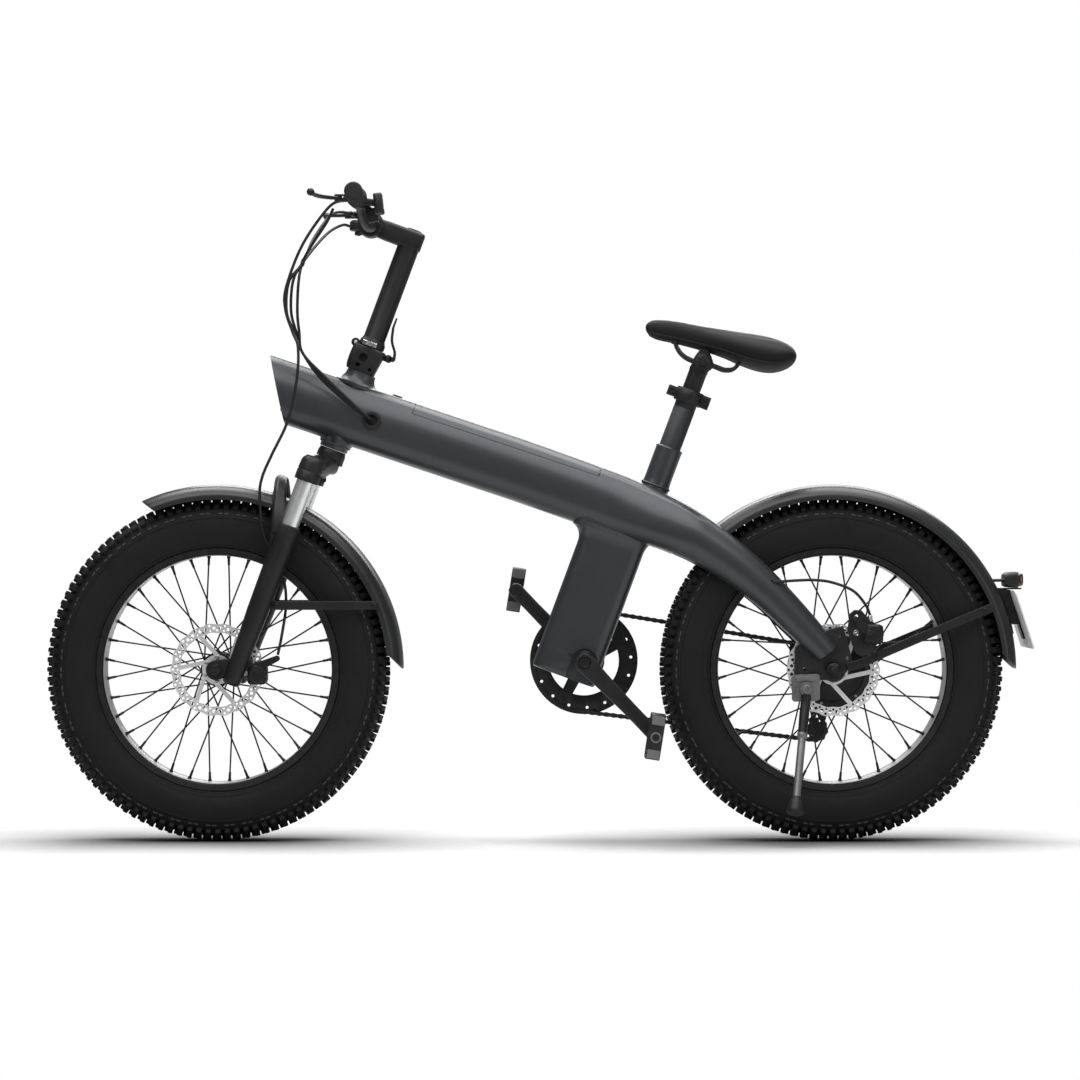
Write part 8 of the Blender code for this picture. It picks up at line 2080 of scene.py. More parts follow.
    def links(self) -> bpy.types.Mesh:
        """The chain link by link: waisted plates in inner and outer pairs, and a roller at each pin."""
        line = self.loop()
        closed = np.concatenate([line, line[:1]])
        length = run_lengths(closed)
        count = int(round(length[-1] / self.pitch / 2)) * 2
        where = np.arange(count) * length[-1] / count
        pins = np.stack([np.interp(where, length, closed[:, i]) for i in (0, 1)], -1)
        ahead = np.roll(pins, -1, 0)
        run = unit(ahead - pins)
        across = np.stack([-run[:, 1], run[:, 0]], -1)
        share = np.radians(np.linspace(90, 270, 8))
        left = np.stack([0.0042 * np.cos(share), 0.0042 * np.sin(share)], -1)
        right = -left + np.array([self.pitch, 0.0])
        shape = np.concatenate([left, [(self.pitch * 0.5, -0.0030)], right, [(self.pitch * 0.5, 0.0030)]])
        flat = pins[:, None] + run[:, None] * shape[None, :, :1] + across[:, None] * shape[None, :, 1:]
        skin = Skin()
        for start, near, far in ((0, 0.0021, 0.0028), (1, 0.0029, 0.0036)):
            for side in (-1.0, 1.0):
                chosen = flat[start::2]
                rings = [np.stack([chosen[..., 0], np.full(chosen.shape[:2], self.chain_side + side * depth),
                                   chosen[..., 1]], -1) for depth in (near, far)]
                skin.grids(np.stack(rings, 1))
        spots = np.stack([pins[:, 0], np.full(count, self.chain_side), pins[:, 1]], -1)
        skin.rods(spots - SIDE * 0.0021, spots + SIDE * 0.0021, plain_bar(0.0038), 12)
        skin.rods(spots - SIDE * 0.0041, spots + SIDE * 0.0041, eased_bar(0.0016, 0.0019, 0.0003), 10)
        return skin.mesh("link_chain", 35.0)

    def sprockets(self) -> bpy.types.Mesh:
        """The sprocket cluster: toothed discs of falling size on a core."""
        skin = Skin()
        for teeth, low, high in ((20, 0.0553, 0.0571), (18, 0.0587, 0.0603), (16, 0.0611, 0.0629),
                                 (14, 0.0645, 0.0661), (12, 0.0676, 0.0690)):
            skin.slab(self.toothed(REAR_AXLE, teeth), low, high, 0.0003)
        skin.lathe([(0.0080, 0.0484), (0.0190, 0.0484), (0.0192, 0.0700), (0.0180, 0.0715),
                    (0.0080, 0.0715)], REAR_AXLE, SIDE, 48, ring=True)
        return skin.mesh("sprockets", 30.0)

    def guide(self, centre: Array, name: str) -> bpy.types.Mesh:
        """A toothed guide wheel with holes and its bearing's rim."""
        holes = [round_plate(side_view(centre), 0.0038, 20)]
        holes += [round_plate(side_view(polar(centre, 0.0098, 60.0 * i)), 0.0022, 12) for i in range(6)]
        plate = perforated(self.toothed(centre, self.guide_teeth), holes, self.chain_side - 0.0013,
                           self.chain_side + 0.0013, name)
        rim = Skin().lathe([(0.0038, -0.0026), (0.0064, -0.0026), (0.0068, -0.0010), (0.0068, 0.0010),
                            (0.0064, 0.0026), (0.0038, 0.0026)], centre + SIDE * self.chain_side, SIDE, 28,
                           ring=True)
        return joined(name, plate, rim.mesh("rim"))

    def mechanism(self) -> bpy.types.Mesh:
        """The derailleur: two cage plates with windows, a knuckle, an arm and its mounting boss."""
        up, low, side = self.upper, self.lower, self.chain_side
        window = capsule(side_view(up * 0.7 + low * 0.3), side_view(up * 0.3 + low * 0.7), 0.0052, 0.0048,
                         10)
        outline = capsule(side_view(up), side_view(low), 0.0138, 0.0118, 18)
        parts = [perforated(outline, [window], side + near, side + far, "cage")
                 for near, far in ((-0.0062, -0.0048), (0.0048, 0.0062))]
        skin = Skin()
        for centre in (up, low):
            skin.lathe([(0.0010, side - 0.0078), (0.0046, side - 0.0078), (0.0050, side - 0.0066),
                        (0.0036, side - 0.0062), (0.0036, side + 0.0062), (0.0050, side + 0.0066),
                        (0.0046, side + 0.0080), (0.0010, side + 0.0080)], centre, SIDE, 24)
        skin.lathe([(0.0010, side + 0.0062), (0.0100, side + 0.0062), (0.0108, side + 0.0074),
                    (0.0108, 0.0815), (0.0096, 0.0830), (0.0010, 0.0830)], up, SIDE, 32)
        root = REAR_AXLE + vec(-0.008, 0, -0.020)
        skin.slab(capsule((root[0], root[2]), (up[0] + 0.001, up[2] + 0.002), 0.0086, 0.0120, 14), 0.0790,
                  0.0858, 0.0012)
        skin.slab(capsule((root[0] + 0.004, root[2]), (up[0] + 0.004, up[2] + 0.004), 0.0052, 0.0062, 14),
                  0.0858, 0.0876, 0.0006)
        return joined("shifting_arm", *parts, skin.mesh("arm"))

    def build(self) -> None:
        """Places the drive's pieces."""
        place("chain_ring", self.ring(), BLACK, "crank", ["chainring"])
        place("chain_guard", self.guard(), BLACK, "crank")
        place("spider_arms", self.spider(), BLACK, "crank")
        place("ring_screws", self.ring_bolts(), BLACK, "crank")
        for side, word in HANDS:
            place(f"crank_arm_{word}", self.crank(side), BLACK, "crank", [f"crank_{word}"])
            place(f"crank_bolt_{word}", self.crank_bolt(side), BLACK, "crank")
            body, axle = self.pedal(side)
            place(f"pedal_body_{word}", body, PLASTIC, f"pedal_{word}", [f"pedal_{word}"])
            place(f"pedal_axle_{word}", axle, BLACK, f"pedal_{word}")
            place(f"pedal_ends_{word}", self.pedal_ends(side), GREY, f"pedal_{word}")
            place(f"pedal_reflectors_{word}", self.reflectors(side), RED_LENS, f"pedal_{word}")
        place("link_chain", self.links(), LINKS, "frame", ["chain"])
        place("sprockets", self.sprockets(), LINKS, "freewheel", ["freewheel"])
        for word, centre in (("upper", self.upper), ("lower", self.lower)):
            place(f"{word}_guide", self.guide(centre, f"{word}_guide"), PLASTIC, f"jockey_{word}",
                  [f"jockey_{word}"])
        place("shifting_arm", self.mechanism(), BLACK, "frame", ["derailleur"])


# Seat

@dataclass
class Seat:
    """The two seat posts with their clamps, the saddle's rails and the padded saddle."""

    rail_half: float = 0.0200
    grip: float = 0.0940
    head: tuple[float, float, float] = (-0.002, 0.0, 0.156)
    rails_x: tuple = ((0.2370, 0.4, 0.8680), (0.2400, 0.5, 0.8520), (0.2510, 0.8, 0.8370),
                      (0.2710, 1.0, 0.8265), (0.3030, 1.1, 0.8190), (0.3230, 1.2, 0.8120),
                      (0.3400, 1.3, 0.8150), (0.3520, 1.4, 0.8320))
    stations: tuple = ((0.186, 0.8905, 0.8805, 0.0090), (0.192, 0.8965, 0.8715, 0.0170),
                       (0.206, 0.8998, 0.8640, 0.0200), (0.240, 0.8970, 0.8560, 0.0230),
                       (0.285, 0.8872, 0.8440, 0.0320), (0.320, 0.8806, 0.8325, 0.0460),
                       (0.350, 0.8755, 0.8195, 0.0640), (0.380, 0.8705, 0.8095, 0.0800),
                       (0.405, 0.8655, 0.8068, 0.0880), (0.425, 0.8590, 0.8112, 0.0850),
                       (0.438, 0.8510, 0.8185, 0.0740), (0.445, 0.8405, 0.8280, 0.0520))

    def mid_post(self) -> bpy.types.Mesh:
        """The wide post: a painted tube with eased ends."""
        profile = [(0.0160, -0.1350), (0.0186, -0.1350), (0.0190, -0.1344), (0.0190, 0.0720),
                   (0.0186, 0.0726), (0.0160, 0.0726)]
        return Skin().lathe(profile, SLEEVE_TOP, SEAT_UP, 72, ring=True).mesh("wide_post")

    def collar(self) -> bpy.types.Mesh:
        """The clamp at the wide post's top: a slit collar with a rolled lip and two ears."""
        profile = [(0.0190, self.grip - 0.0120), (0.0234, self.grip - 0.0118), (0.0240, self.grip - 0.0110),
                   (0.0240, self.grip + 0.0112), (0.0234, self.grip + 0.0120), (0.0172, self.grip + 0.0121),
                   (0.0162, self.grip + 0.0112), (0.0162, 0.0700), (0.0188, 0.0700)]
        tube = Skin().lathe(profile, SLEEVE_TOP, SEAT_UP, 72, ring=True).mesh("tube")
        top = SLEEVE_TOP + SEAT_UP * self.grip
        ears = Skin()
        for reach, wide in ((0.03861, 0.0176), (-0.03762, 0.0224)):
            root = top + SEAT_FORWARD * math.copysign(0.018, reach)
            ears.sweep(np.linspace(root, top + SEAT_FORWARD * reach, 5), rounded(0.0170, wide, 0.0036, 5))
        slit = Skin().sweep(np.linspace(top + SEAT_FORWARD * 0.012, top + SEAT_FORWARD * 0.050, 3),
                            rounded(0.0024, 0.060, 0.0006, 2))
        return combined(tube, [(ears.mesh("ears"), Cut.PLUS), (slit.mesh("slit"), Cut.LESS)], 0.0006, 40.0)

    def clamp_bolts(self) -> bpy.types.Mesh:
        """The collar's cross bolts, with socket heads and nuts."""
        top = SLEEVE_TOP + SEAT_UP * self.grip
        skin = Skin()
        for reach in (0.0310, -0.0300):
            spot = top + SEAT_FORWARD * reach
            skin.rods(spot - SIDE * 0.0120, spot + SIDE * 0.0120,
                      ((0, 0.0016, 0.0018), (0, 0.0002, 0.0024), (0, 0.0, 0.0042), (0, 0.0035, 0.0045),
                       (0, 0.0036, 0.0026), (1, -0.0036, 0.0026), (1, -0.0035, 0.0046), (1, 0, 0.0044)), 18)
        return skin.mesh("collar_bolts")

    def top_post(self) -> bpy.types.Mesh:
        """The thin post, closed by a forged head with a cross barrel for the rails."""
        profile = [(0.0010, -0.0175), (0.0154, -0.0175), (0.0158, -0.0170), (0.0158, 0.1375),
                   (0.0160, 0.1390), (0.0166, 0.1425), (0.0150, 0.1510), (0.0110, 0.1545), (0.0010, 0.1550)]
        tube = Skin().lathe(profile, SLEEVE_TOP, SEAT_UP, 64).mesh("tube")
        barrel = Skin().lathe([(0.0010, -0.0330), (0.0128, -0.0330), (0.0142, -0.0315), (0.0150, -0.0280),
                               (0.0150, 0.0280), (0.0142, 0.0315), (0.0128, 0.0330), (0.0010, 0.0330)],
                              seat_point(*self.head), SIDE, 48).mesh("barrel")
        return combined(tube, [(barrel, Cut.PLUS)], 0.0010, 35.0)

    def cradle(self) -> bpy.types.Mesh:
        """The clamp's rings and nuts beside the barrel, and the jaws with a wedge under each rail."""
        head = seat_point(*self.head)
        skin = Skin()
        for side in (-1.0, 1.0):
            for low, high, wide in ((0.0180, 0.0225, 0.0176), (0.0255, 0.0300, 0.0166)):
                skin.lathe([(0.0140, low), (wide - 0.0010, low), (wide, low + 0.0010), (wide, high - 0.0010),
                            (wide - 0.0010, high), (0.0140, high)], head, SIDE * side, 40, ring=True)
            skin.rods(head + SIDE * side * 0.0325, head + SIDE * side * 0.0385,
                      ((0, 0, 0.0060), (0, 0.001, 0.0066), (1, -0.001, 0.0066), (1, 0, 0.0058)), 6)
            jaw = np.linspace(head + vec(-0.011, side * 0.0130, 0.004),
                              head + vec(0.017, side * 0.0130, -0.005), 6)
            grow = np.array([0.82, 0.96, 1.0, 1.0, 0.96, 0.82])[:, None, None]
            skin.sweep(jaw, rounded(0.0170, 0.0150, 0.0050) * grow)
            wedge = np.linspace(head + vec(0.001, side * 0.0130, 0.008),
                                head + vec(0.003, side * 0.0130, 0.0245), 6)
            taper = np.stack([np.array([1.0, 0.96, 0.84, 0.70, 0.56, 0.44]), np.ones(6)], -1)
            skin.sweep(wedge, rounded(0.0300, 0.0160, 0.0040) * taper[:, None], vec(1, 0, 0))
        return skin.mesh("rail_cradle")

    def rail_mesh(self) -> bpy.types.Mesh:
        """The two bent wire rails, a round section along a smooth line each."""
        skin = Skin()
        for side in (-1.0, 1.0):
            line = smooth([(x, side * wide * self.rail_half, z) for x, wide, z in self.rails_x], 0.003)
            skin.sweep(line, circle(0.0035, 14))
        return skin.mesh("wire_rails", 60.0)

    def surface(self, grow: float, rows: int = 90, cols: int = 72) -> Array:
        """Rings across the saddle's length, from its nose to its tail.

        Eight rows of heights give the half section (channel, crown, shoulder, skirt, belly); both halves are
        carried smoothly round and spread along the length by eased station rows.
        """
        table = eased(np.array(self.stations), rows)
        rings = []
        for x, top, low, half in table:
            deep = top - low
            dip = 0.0030 * np.interp(x, [0.200, 0.300, 0.400, 0.440], [0.0, 1.0, 1.2, 0.0])
            shape = np.array([(0.0, top - dip), (0.26 * half, top), (0.68 * half, top - 0.08 * deep),
                              (0.93 * half, top - 0.30 * deep), (half, top - 0.54 * deep),
                              (0.88 * half, top - 0.78 * deep), (0.52 * half, low + 0.04 * deep),
                              (0.0, low)])
            loop = np.concatenate([shape, shape[-2:0:-1] * np.array([-1.0, 1.0])])
            wrapped = np.concatenate([loop[-3:], loop, loop[:3]])
            t = np.linspace(0, len(loop), cols, endpoint=False) + 3
            index = np.floor(t).astype(int)
            f = (t - index)[:, None]
            a, b, c, d = (wrapped[index + k] for k in (-1, 0, 1, 2))
            curve = 0.5 * (2 * b + (c - a) * f + (2 * a - 5 * b + 4 * c - d) * f**2
                           + (3 * b - a - 3 * c + d) * f**3)
            middle = np.array([0.0, (top + low) / 2.0])
            curve = middle + (curve - middle) * (1.0 + grow / max(half, deep / 2.0))
            rings.append(np.stack([np.full(cols, x), curve[:, 0], curve[:, 1]], -1))
        return np.array(rings)

    def padding(self) -> bpy.types.Mesh:
        """The padded top: a slightly smaller form, blown up as cloth over its base, then pressed seams.

        The form is remeshed evenly, its underside is pinned, air pressure fills it and sewn lines stay back.
        """
        shape = in_scene("saddle_form", Skin().grid(self.surface(-0.0012)).mesh("saddle_form"))
        step = shape.modifiers.new("even", "REMESH")
        step.mode = "VOXEL"
        step.voxel_size = 0.0048
        even = result_of(shape)
        bpy.data.objects.remove(shape)
        cloth = in_scene("saddle_form", even)
        start = np.empty(len(even.vertices) * 3)
        even.vertices.foreach_get("co", start)
        start = start.reshape(-1, 3)
        along, *rows = np.array(self.stations).T
        top, low, half = (np.interp(start[:, 0], along, row) for row in rows)
        height = (start[:, 2] - low) / (top - low)
        pin = np.clip((0.36 - height) / 0.12, 0.0, 1.0)
        seam = np.exp(-((np.abs(start[:, 1]) / half - 0.62) / 0.07) ** 2) * (height > 0.5)
        seam *= np.clip((start[:, 0] - 0.255) / 0.04, 0, 1) * np.clip((0.425 - start[:, 0]) / 0.02, 0, 1)
        weight = np.maximum(pin, 0.85 * seam)
        group = cloth.vertex_groups.new(name="held")
        for level in range(1, 11):
            chosen = np.flatnonzero(np.round(weight * 10) == level)
            group.add([int(i) for i in chosen], level / 10.0, "REPLACE")
        moments = 20
        fabric = cloth.modifiers.new("fabric", "CLOTH")
        fabric.settings.effector_weights.gravity = 0.0
        for name, value in (("use_pressure", True), ("uniform_pressure_force", 4.0), ("quality", 5),
                            ("tension_stiffness", 30.0), ("compression_stiffness", 30.0),
                            ("bending_stiffness", 0.6), ("vertex_group_mass", "held")):
            setattr(fabric.settings, name, value)
        fabric.point_cache.frame_start = 1
        fabric.point_cache.frame_end = moments
        for moment in range(1, moments + 1):
            bpy.context.scene.frame_set(moment)
        blown = result_of(cloth)
        bpy.data.objects.remove(cloth)
        bpy.context.scene.frame_set(1)
        moved = np.empty(len(blown.vertices) * 3)
        blown.vertices.foreach_get("co", moved)
        shift = moved.reshape(-1, 3) - start
        far = np.linalg.norm(shift, axis=1, keepdims=True)
        shift *= np.minimum(1.0, 0.0032 / np.maximum(far, 1e-9))
        still = np.zeros(len(start))
        out = unit(np.stack([still, start[:, 1] / np.maximum(half, 1e-3), still + 1.0], -1))
        final = start + shift - out * (0.0011 * seam)[:, None]
        blown.vertices.foreach_set("co", final.ravel())
        blown.update()
        made = in_scene("saddle_pad", blown)
        step = made.modifiers.new("even", "CORRECTIVE_SMOOTH")
        step.iterations = 4
        step = made.modifiers.new("fine", "SUBSURF")
        step.levels = step.render_levels = 1
        fine = result_of(made)
        bpy.data.objects.remove(made)
        fine.shade_smooth()
        return fine

    def piping(self) -> bpy.types.Mesh:
        """A thin welt round the saddle's lower edge, where the cover is folded over the shell."""
        table = eased(np.array(self.stations), 60)
        level = table[:, 1] - 0.74 * (table[:, 1] - table[:, 2])
        nose, tail = (np.exp(-((table[:, 0] - end) / 0.006) ** 2) for end in (0.186, 0.445))
        ends = 0.16 * nose + 0.10 * tail
        along = 0.3155 + (table[:, 0] - 0.3155) * 0.982
        right = np.stack([along, (0.905 - ends) * table[:, 3], level], -1)
        left = (right * vec(1, -1, 1))[::-1]
        line = np.concatenate([right, left])
        closed = np.concatenate([line, line[:1]])
        length = run_lengths(closed)
        where = np.arange(260) * length[-1] / 260
        path = np.stack([np.interp(where, length, closed[:, i]) for i in range(3)], -1)
        for _ in range(3):
            path = (np.roll(path, 1, 0) + 2 * path + np.roll(path, -1, 0)) / 4.0
        return Skin().sweep(path, circle(0.0009, 10), UP, ring=True).mesh("saddle_welt", 60.0)

    def pan(self) -> bpy.types.Mesh:
        """The moulded shell under the padding, with ribs along it and sockets for the rails' ends."""
        table = eased(np.array(self.stations)[1:-1], 50)
        t = np.linspace(-1, 1, 25)
        rings = []
        for x, top, low, half in table:
            arch = low + 0.06 * (top - low) + 0.20 * (top - low) * t**2 + 0.0011 * np.cos(t * 9 * np.pi)
            upper = np.stack([np.full(25, x), 0.84 * half * t, arch + 0.0050], -1)
            under = np.stack([np.full(25, x), 0.84 * half * t, arch - 0.0010], -1)[::-1]
            rings.append(np.concatenate([upper, under]))
        skin = Skin().grid(np.array(rings))
        for side in (-1.0, 1.0):
            out = vec(1, side, 1)
            for low, high, edge, radius, foot in (
                    (vec(0.2370, 0.0080, 0.8575), vec(0.2366, 0.0080, 0.8670), 0.0052, 0.0058, 0.0066),
                    (vec(0.3512, 0.0278, 0.8215), vec(0.3528, 0.0282, 0.8330), 0.0054, 0.0060, 0.0070)):
                skin.rods(low * out, high * out, ((0, 0, edge), (0, 0.001, radius), (1, 0, foot)), 18)
        return skin.mesh("saddle_shell")

    def build(self) -> None:
        """Places the seat's pieces."""
        # The wide post takes the darkened frame paint: painted shade.
        place("wide_post", self.mid_post(), POST_SHADED_PAINT, "seat_mid", ["seat_mid_post"])
        place("post_collar", self.collar(), BLACK, "seat_mid")
        place("collar_bolts", self.clamp_bolts(), BLACK, "seat_mid")
        place("thin_post", self.top_post(), BLACK, "seat_upper", ["seat_upper_post"])
        place("rail_cradle", self.cradle(), BLACK, "seat_upper")
        place("wire_rails", self.rail_mesh(), BLACK, "seat_upper")
        pad = place("saddle_pad", self.padding(), COVER, "seat_upper", ["saddle"])
        place("saddle_welt", self.piping(), RUBBER, "seat_upper")
        place("saddle_shell", self.pan(), PLASTIC, "seat_upper")


# Fenders and tail

@dataclass
class Tail:
    """Both fenders with their stays, the bare number plate with its bracket, and the tail lamp."""

    outer: float = 0.3180
    skirt: float = 0.2920
    half: float = 0.0600
    wall: float = 0.0025

    def arch(self, centre: Array, last: float, name: str) -> bpy.types.Mesh:
        """A part-turn shell: its section goes out over two shoulders and comes back one wall inside.

        Each shoulder is a smooth curve through its knots; both ends of the turn are drawn in to a round tip.
        """
        knots = [(self.skirt, 0.0), (self.skirt + 0.009, 0.0), (0.3110, 0.14 * self.half),
                 (0.3158, 0.32 * self.half), (self.outer, 0.60 * self.half),
                 (self.outer + 0.0002, self.half)]
        curve = smooth(knots, 0.0020)
        radius, side = curve[:, 0], -self.half + curve[:, 1]
        right = np.stack([radius, side], -1)
        over = np.concatenate([right, (right * np.array([1.0, -1.0]))[-2::-1]])
        lip = np.where(over[:, :1] < self.skirt + 0.004, 0.0006, 0.0)
        run = unit(np.gradient(over, axis=0))
        inward = np.stack([-run[:, 1], run[:, 0]], -1) * -1.0
        inward *= np.sign(np.sum(inward * (np.array([0.25, 0.0]) - over), -1, keepdims=True))
        over = over - inward * lip
        under = over + inward * (self.wall + lip * 0.6)
        section = np.concatenate([over, under[::-1]])
        turn = np.concatenate([[0.0, 0.10, 0.35], np.linspace(0.8, last - 0.8, 130),
                               [last - 0.35, last - 0.1, last]])
        shrink = np.interp(turn, [0, 0.1, 0.35, 0.8, last - 0.8, last - 0.35, last - 0.1, last],
                           [0.55, 0.30, 0.10, 0, 0, 0.10, 0.30, 0.55])
        middle = (over + under) / 2.0
        core = np.concatenate([middle, middle[::-1]])
        shaped = section[None] + (core - section)[None] * shrink[:, None, None]
        lean = (self.outer - shaped[..., 0]) / (self.outer - self.skirt)
        ends = 5.5 * np.clip(1.0 - turn / 12.0, 0, 1) - 3.0 * np.clip((turn - last + 12.0) / 12.0, 0, 1)
        angle = np.radians(turn[:, None] + ends[:, None] * np.clip(lean, 0, 1))
        points = np.stack([centre[0] + shaped[..., 0] * np.cos(angle),
                           np.broadcast_to(shaped[..., 1], shaped.shape[:2]),
                           centre[2] + shaped[..., 0] * np.sin(angle)], -1)
        return Skin().grid(points).mesh(name, 50.0)

    def strip(self, points: Sequence, width: float, thick: float, face: Array) -> bpy.types.Mesh:
        """A flat stay bent along a line, its broad side turned to a direction."""
        return Skin().sweep(smooth(points, 0.006), rounded(width, thick, thick * 0.42, 3), face).mesh("stay")

    def bolts(self, spots: Sequence, axis: Array, radius: float = 0.0048) -> bpy.types.Mesh:
        """Button heads with a recess and a washer."""
        heads = np.array(spots)
        stations = [(0, level, radius * share) for level, share in (
            (-0.0020, 0.6), (0.0, 1.35), (0.0008, 1.35), (0.0010, 1.0), (0.0026, 0.92), (0.0034, 0.70),
            (0.0034, 0.45), (0.0018, 0.40))]
        return Skin().rods(heads, heads + axis * 0.01, stations, 18).mesh("bolts")

    def front_stays(self) -> tuple[bpy.types.Mesh, bpy.types.Mesh]:
        """The front fender's flat stays and their bolts."""
        far = FRONT_AXLE[0] + 0.2780
        level = 0.4063
        line = ((-0.4560, 0.0768), (-0.4300, 0.0756), (-0.3300, 0.0660), (-0.2860, 0.0622), (far, 0.0617))
        spots = ((-0.2810, 0.0634), (-0.4470, 0.0776))
        strips = [self.strip([(x, side * y, level) for x, y in line], 0.0150, 0.0028, UP)
                  for side in (-1.0, 1.0)]
        heads = [self.bolts([(x, side * y, level) for x, y in spots], SIDE * side) for side in (-1.0, 1.0)]
        return joined("front_stay", *strips), joined("bolts", *heads)

    def rear_stays(self) -> tuple[bpy.types.Mesh, bpy.types.Mesh]:
        """The rear fender's bent stays from the axle, and the bolts that hold them."""
        line = np.array([(0.0225, 0.0805, 0.0050), (0.0480, 0.0803, 0.0125), (0.0700, 0.0795, 0.0225),
                         (0.1600, 0.0713, 0.0605), (0.2350, 0.0640, 0.0915), (0.2750, 0.0618, 0.1080)])
        spots = np.array([(0.0700, 0.0810, 0.0225), (0.2600, 0.0636, 0.1020)])
        strips, heads = [], []
        for side in (-1.0, 1.0):
            out = vec(1, side, 1)
            strips.append(self.strip(REAR_AXLE + line * out, 0.0150, 0.0028, unit(vec(-0.40, 0, 0.917))))
            heads.append(self.bolts(REAR_AXLE + spots * out, SIDE * side, 0.0044))
        return joined("rear_stay", *strips), joined("bolts", *heads)

    def feet(self) -> tuple[bpy.types.Mesh, bpy.types.Mesh]:
        """The fenders' bolted feet: one under the fork's arch, one against the frame's crotch."""
        foot = Skin().rods(steer(0.0640, 0, -0.1140), steer(0.0640, 0, -0.0850),
                           ((0, 0, 0.0110), (0, 0.0030, 0.0112), (0, 0.0060, 0.0084), (1, -0.002, 0.0080),
                            (1, 0, 0.0072)), 32)
        angle = np.radians(np.linspace(135.6, 140.4, 9))
        spin = np.stack([np.cos(angle), np.sin(angle)], -1)
        outline = REAR_AXLE[[0, 2]] + np.concatenate([0.3165 * spin, 0.3384 * spin[::-1]])
        back = Skin()
        for low, high in ((-0.0158, -0.0010), (0.0010, 0.0158)):
            back.slab(outline, low, high, 0.0016)
        return foot.mesh("front_foot"), back.mesh("rear_foot")

    def plate_axes(self) -> tuple[Array, Array, Array]:
        """Top edge, direction down the plate and its outward face."""
        tilt = math.radians(18.3)
        down = vec(math.sin(tilt), 0, -math.cos(tilt))
        return vec(0.8130, 0, 0.4320), down, vec(math.cos(tilt), 0, math.sin(tilt))

    def plate(self) -> bpy.types.Mesh:
        """The bare number plate, with round corners and a pressed border."""
        top, down, out = self.plate_axes()
        middle = top + down * 0.0525
        levels = ((0.0, 0.0), (0.0003, 0.0), (0.0017, 0.0), (0.0020, -0.0003), (0.0020, -0.0050),
                  (0.0013, -0.0062), (0.0013, -0.0080), (0.0018, -0.0095), (0.0018, -0.0300))
        rings = []
        for depth, inset in levels:
            shape = rounded(0.1900 + 2 * inset, 0.1050 + 2 * inset, max(0.0090 + inset, 0.0015), 8)
            rings.append(middle + SIDE * shape[:, :1] + down * shape[:, 1:] + out * depth)
        return Skin().grid(np.array(rings)).mesh("bare_plate", 30.0)

    def bracket(self) -> bpy.types.Mesh:
        """The bent bracket of the plate and the lamp: two folded straps, their side walls and a shelf."""
        top, down, out = self.plate_axes()
        skin = Skin()
        back = -out * 0.0016
        line = [polar(REAR_AXLE, 0.3196, angle) for angle in (25.6, 22.0, 18.0, 14.0, 11.0)]
        tips = [top + down * along + back for along in (0.004, 0.030, 0.060, 0.088)]
        for points in (tips, line):
            skin.sweep(smooth(points, 0.006), rounded(0.0370, 0.0024, 0.0010, 3))
        outline = np.array([side_view(point) for point in (line[0], vec(0.8080, 0, 0.4340), *tips[:3],
                                                           tips[2] - out * 0.004, *line[3:0:-1])])
        for low, high in ((-0.0192, -0.0176), (0.0176, 0.0192)):
            skin.slab(outline, low, high, 0.0004)
        shelf = [(0.7900, 0, 0.4345), (0.8180, 0, 0.4345), (0.8340, 0, 0.4345)]
        skin.sweep(smooth(shelf, 0.006), rounded(0.0360, 0.0024, 0.0010, 3))
        return skin.mesh("plate_bracket")

    def lamp(self) -> tuple[bpy.types.Mesh, bpy.types.Mesh]:
        """The tail lamp: a wedge-shaped housing with a bezel, and its ribbed lens."""
        def ring(x: float, low: float, high: float, half: float, corner: float) -> Array:
            """One rounded section of the lamp across X."""
            shape = rounded(2 * half, high - low, corner, 6)
            return np.stack([np.full(len(shape), x), shape[:, 0], (low + high) / 2 + shape[:, 1]], -1)

        body = [ring(0.8040, 0.4410, 0.4570, 0.0290, 0.005), ring(0.8046, 0.4390, 0.4590, 0.0310, 0.006),
                ring(0.8090, 0.4368, 0.4620, 0.0335, 0.007), ring(0.8180, 0.4362, 0.4634, 0.0345, 0.007),
                ring(0.8262, 0.4360, 0.4636, 0.0350, 0.007), ring(0.8268, 0.4362, 0.4634, 0.0348, 0.007),
                ring(0.8268, 0.4380, 0.4616, 0.0330, 0.006), ring(0.8256, 0.4384, 0.4612, 0.0326, 0.006)]
        lens = [ring(0.8250, 0.4384, 0.4612, 0.0326, 0.006), ring(0.8290, 0.4384, 0.4612, 0.0326, 0.006),
                ring(0.8330, 0.4390, 0.4606, 0.0320, 0.006), ring(0.8352, 0.4404, 0.4592, 0.0304, 0.006),
                ring(0.8360, 0.4440, 0.4556, 0.0260, 0.005)]
        held = Skin()
        for side in (-0.0130, 0.0130):
            arm = smooth([(0.7770, side, 0.4400), (0.7800, side, 0.4468), (0.7880, side, 0.4486),
                          (0.8050, side, 0.4490)], 0.002)
            held.sweep(arm, circle(0.0026, 12))
        return (joined("lamp_case", Skin().grid(np.array(body)).mesh("case"), held.mesh("arms")),
                Skin().grid(np.array(lens)).mesh("tail_lens"))

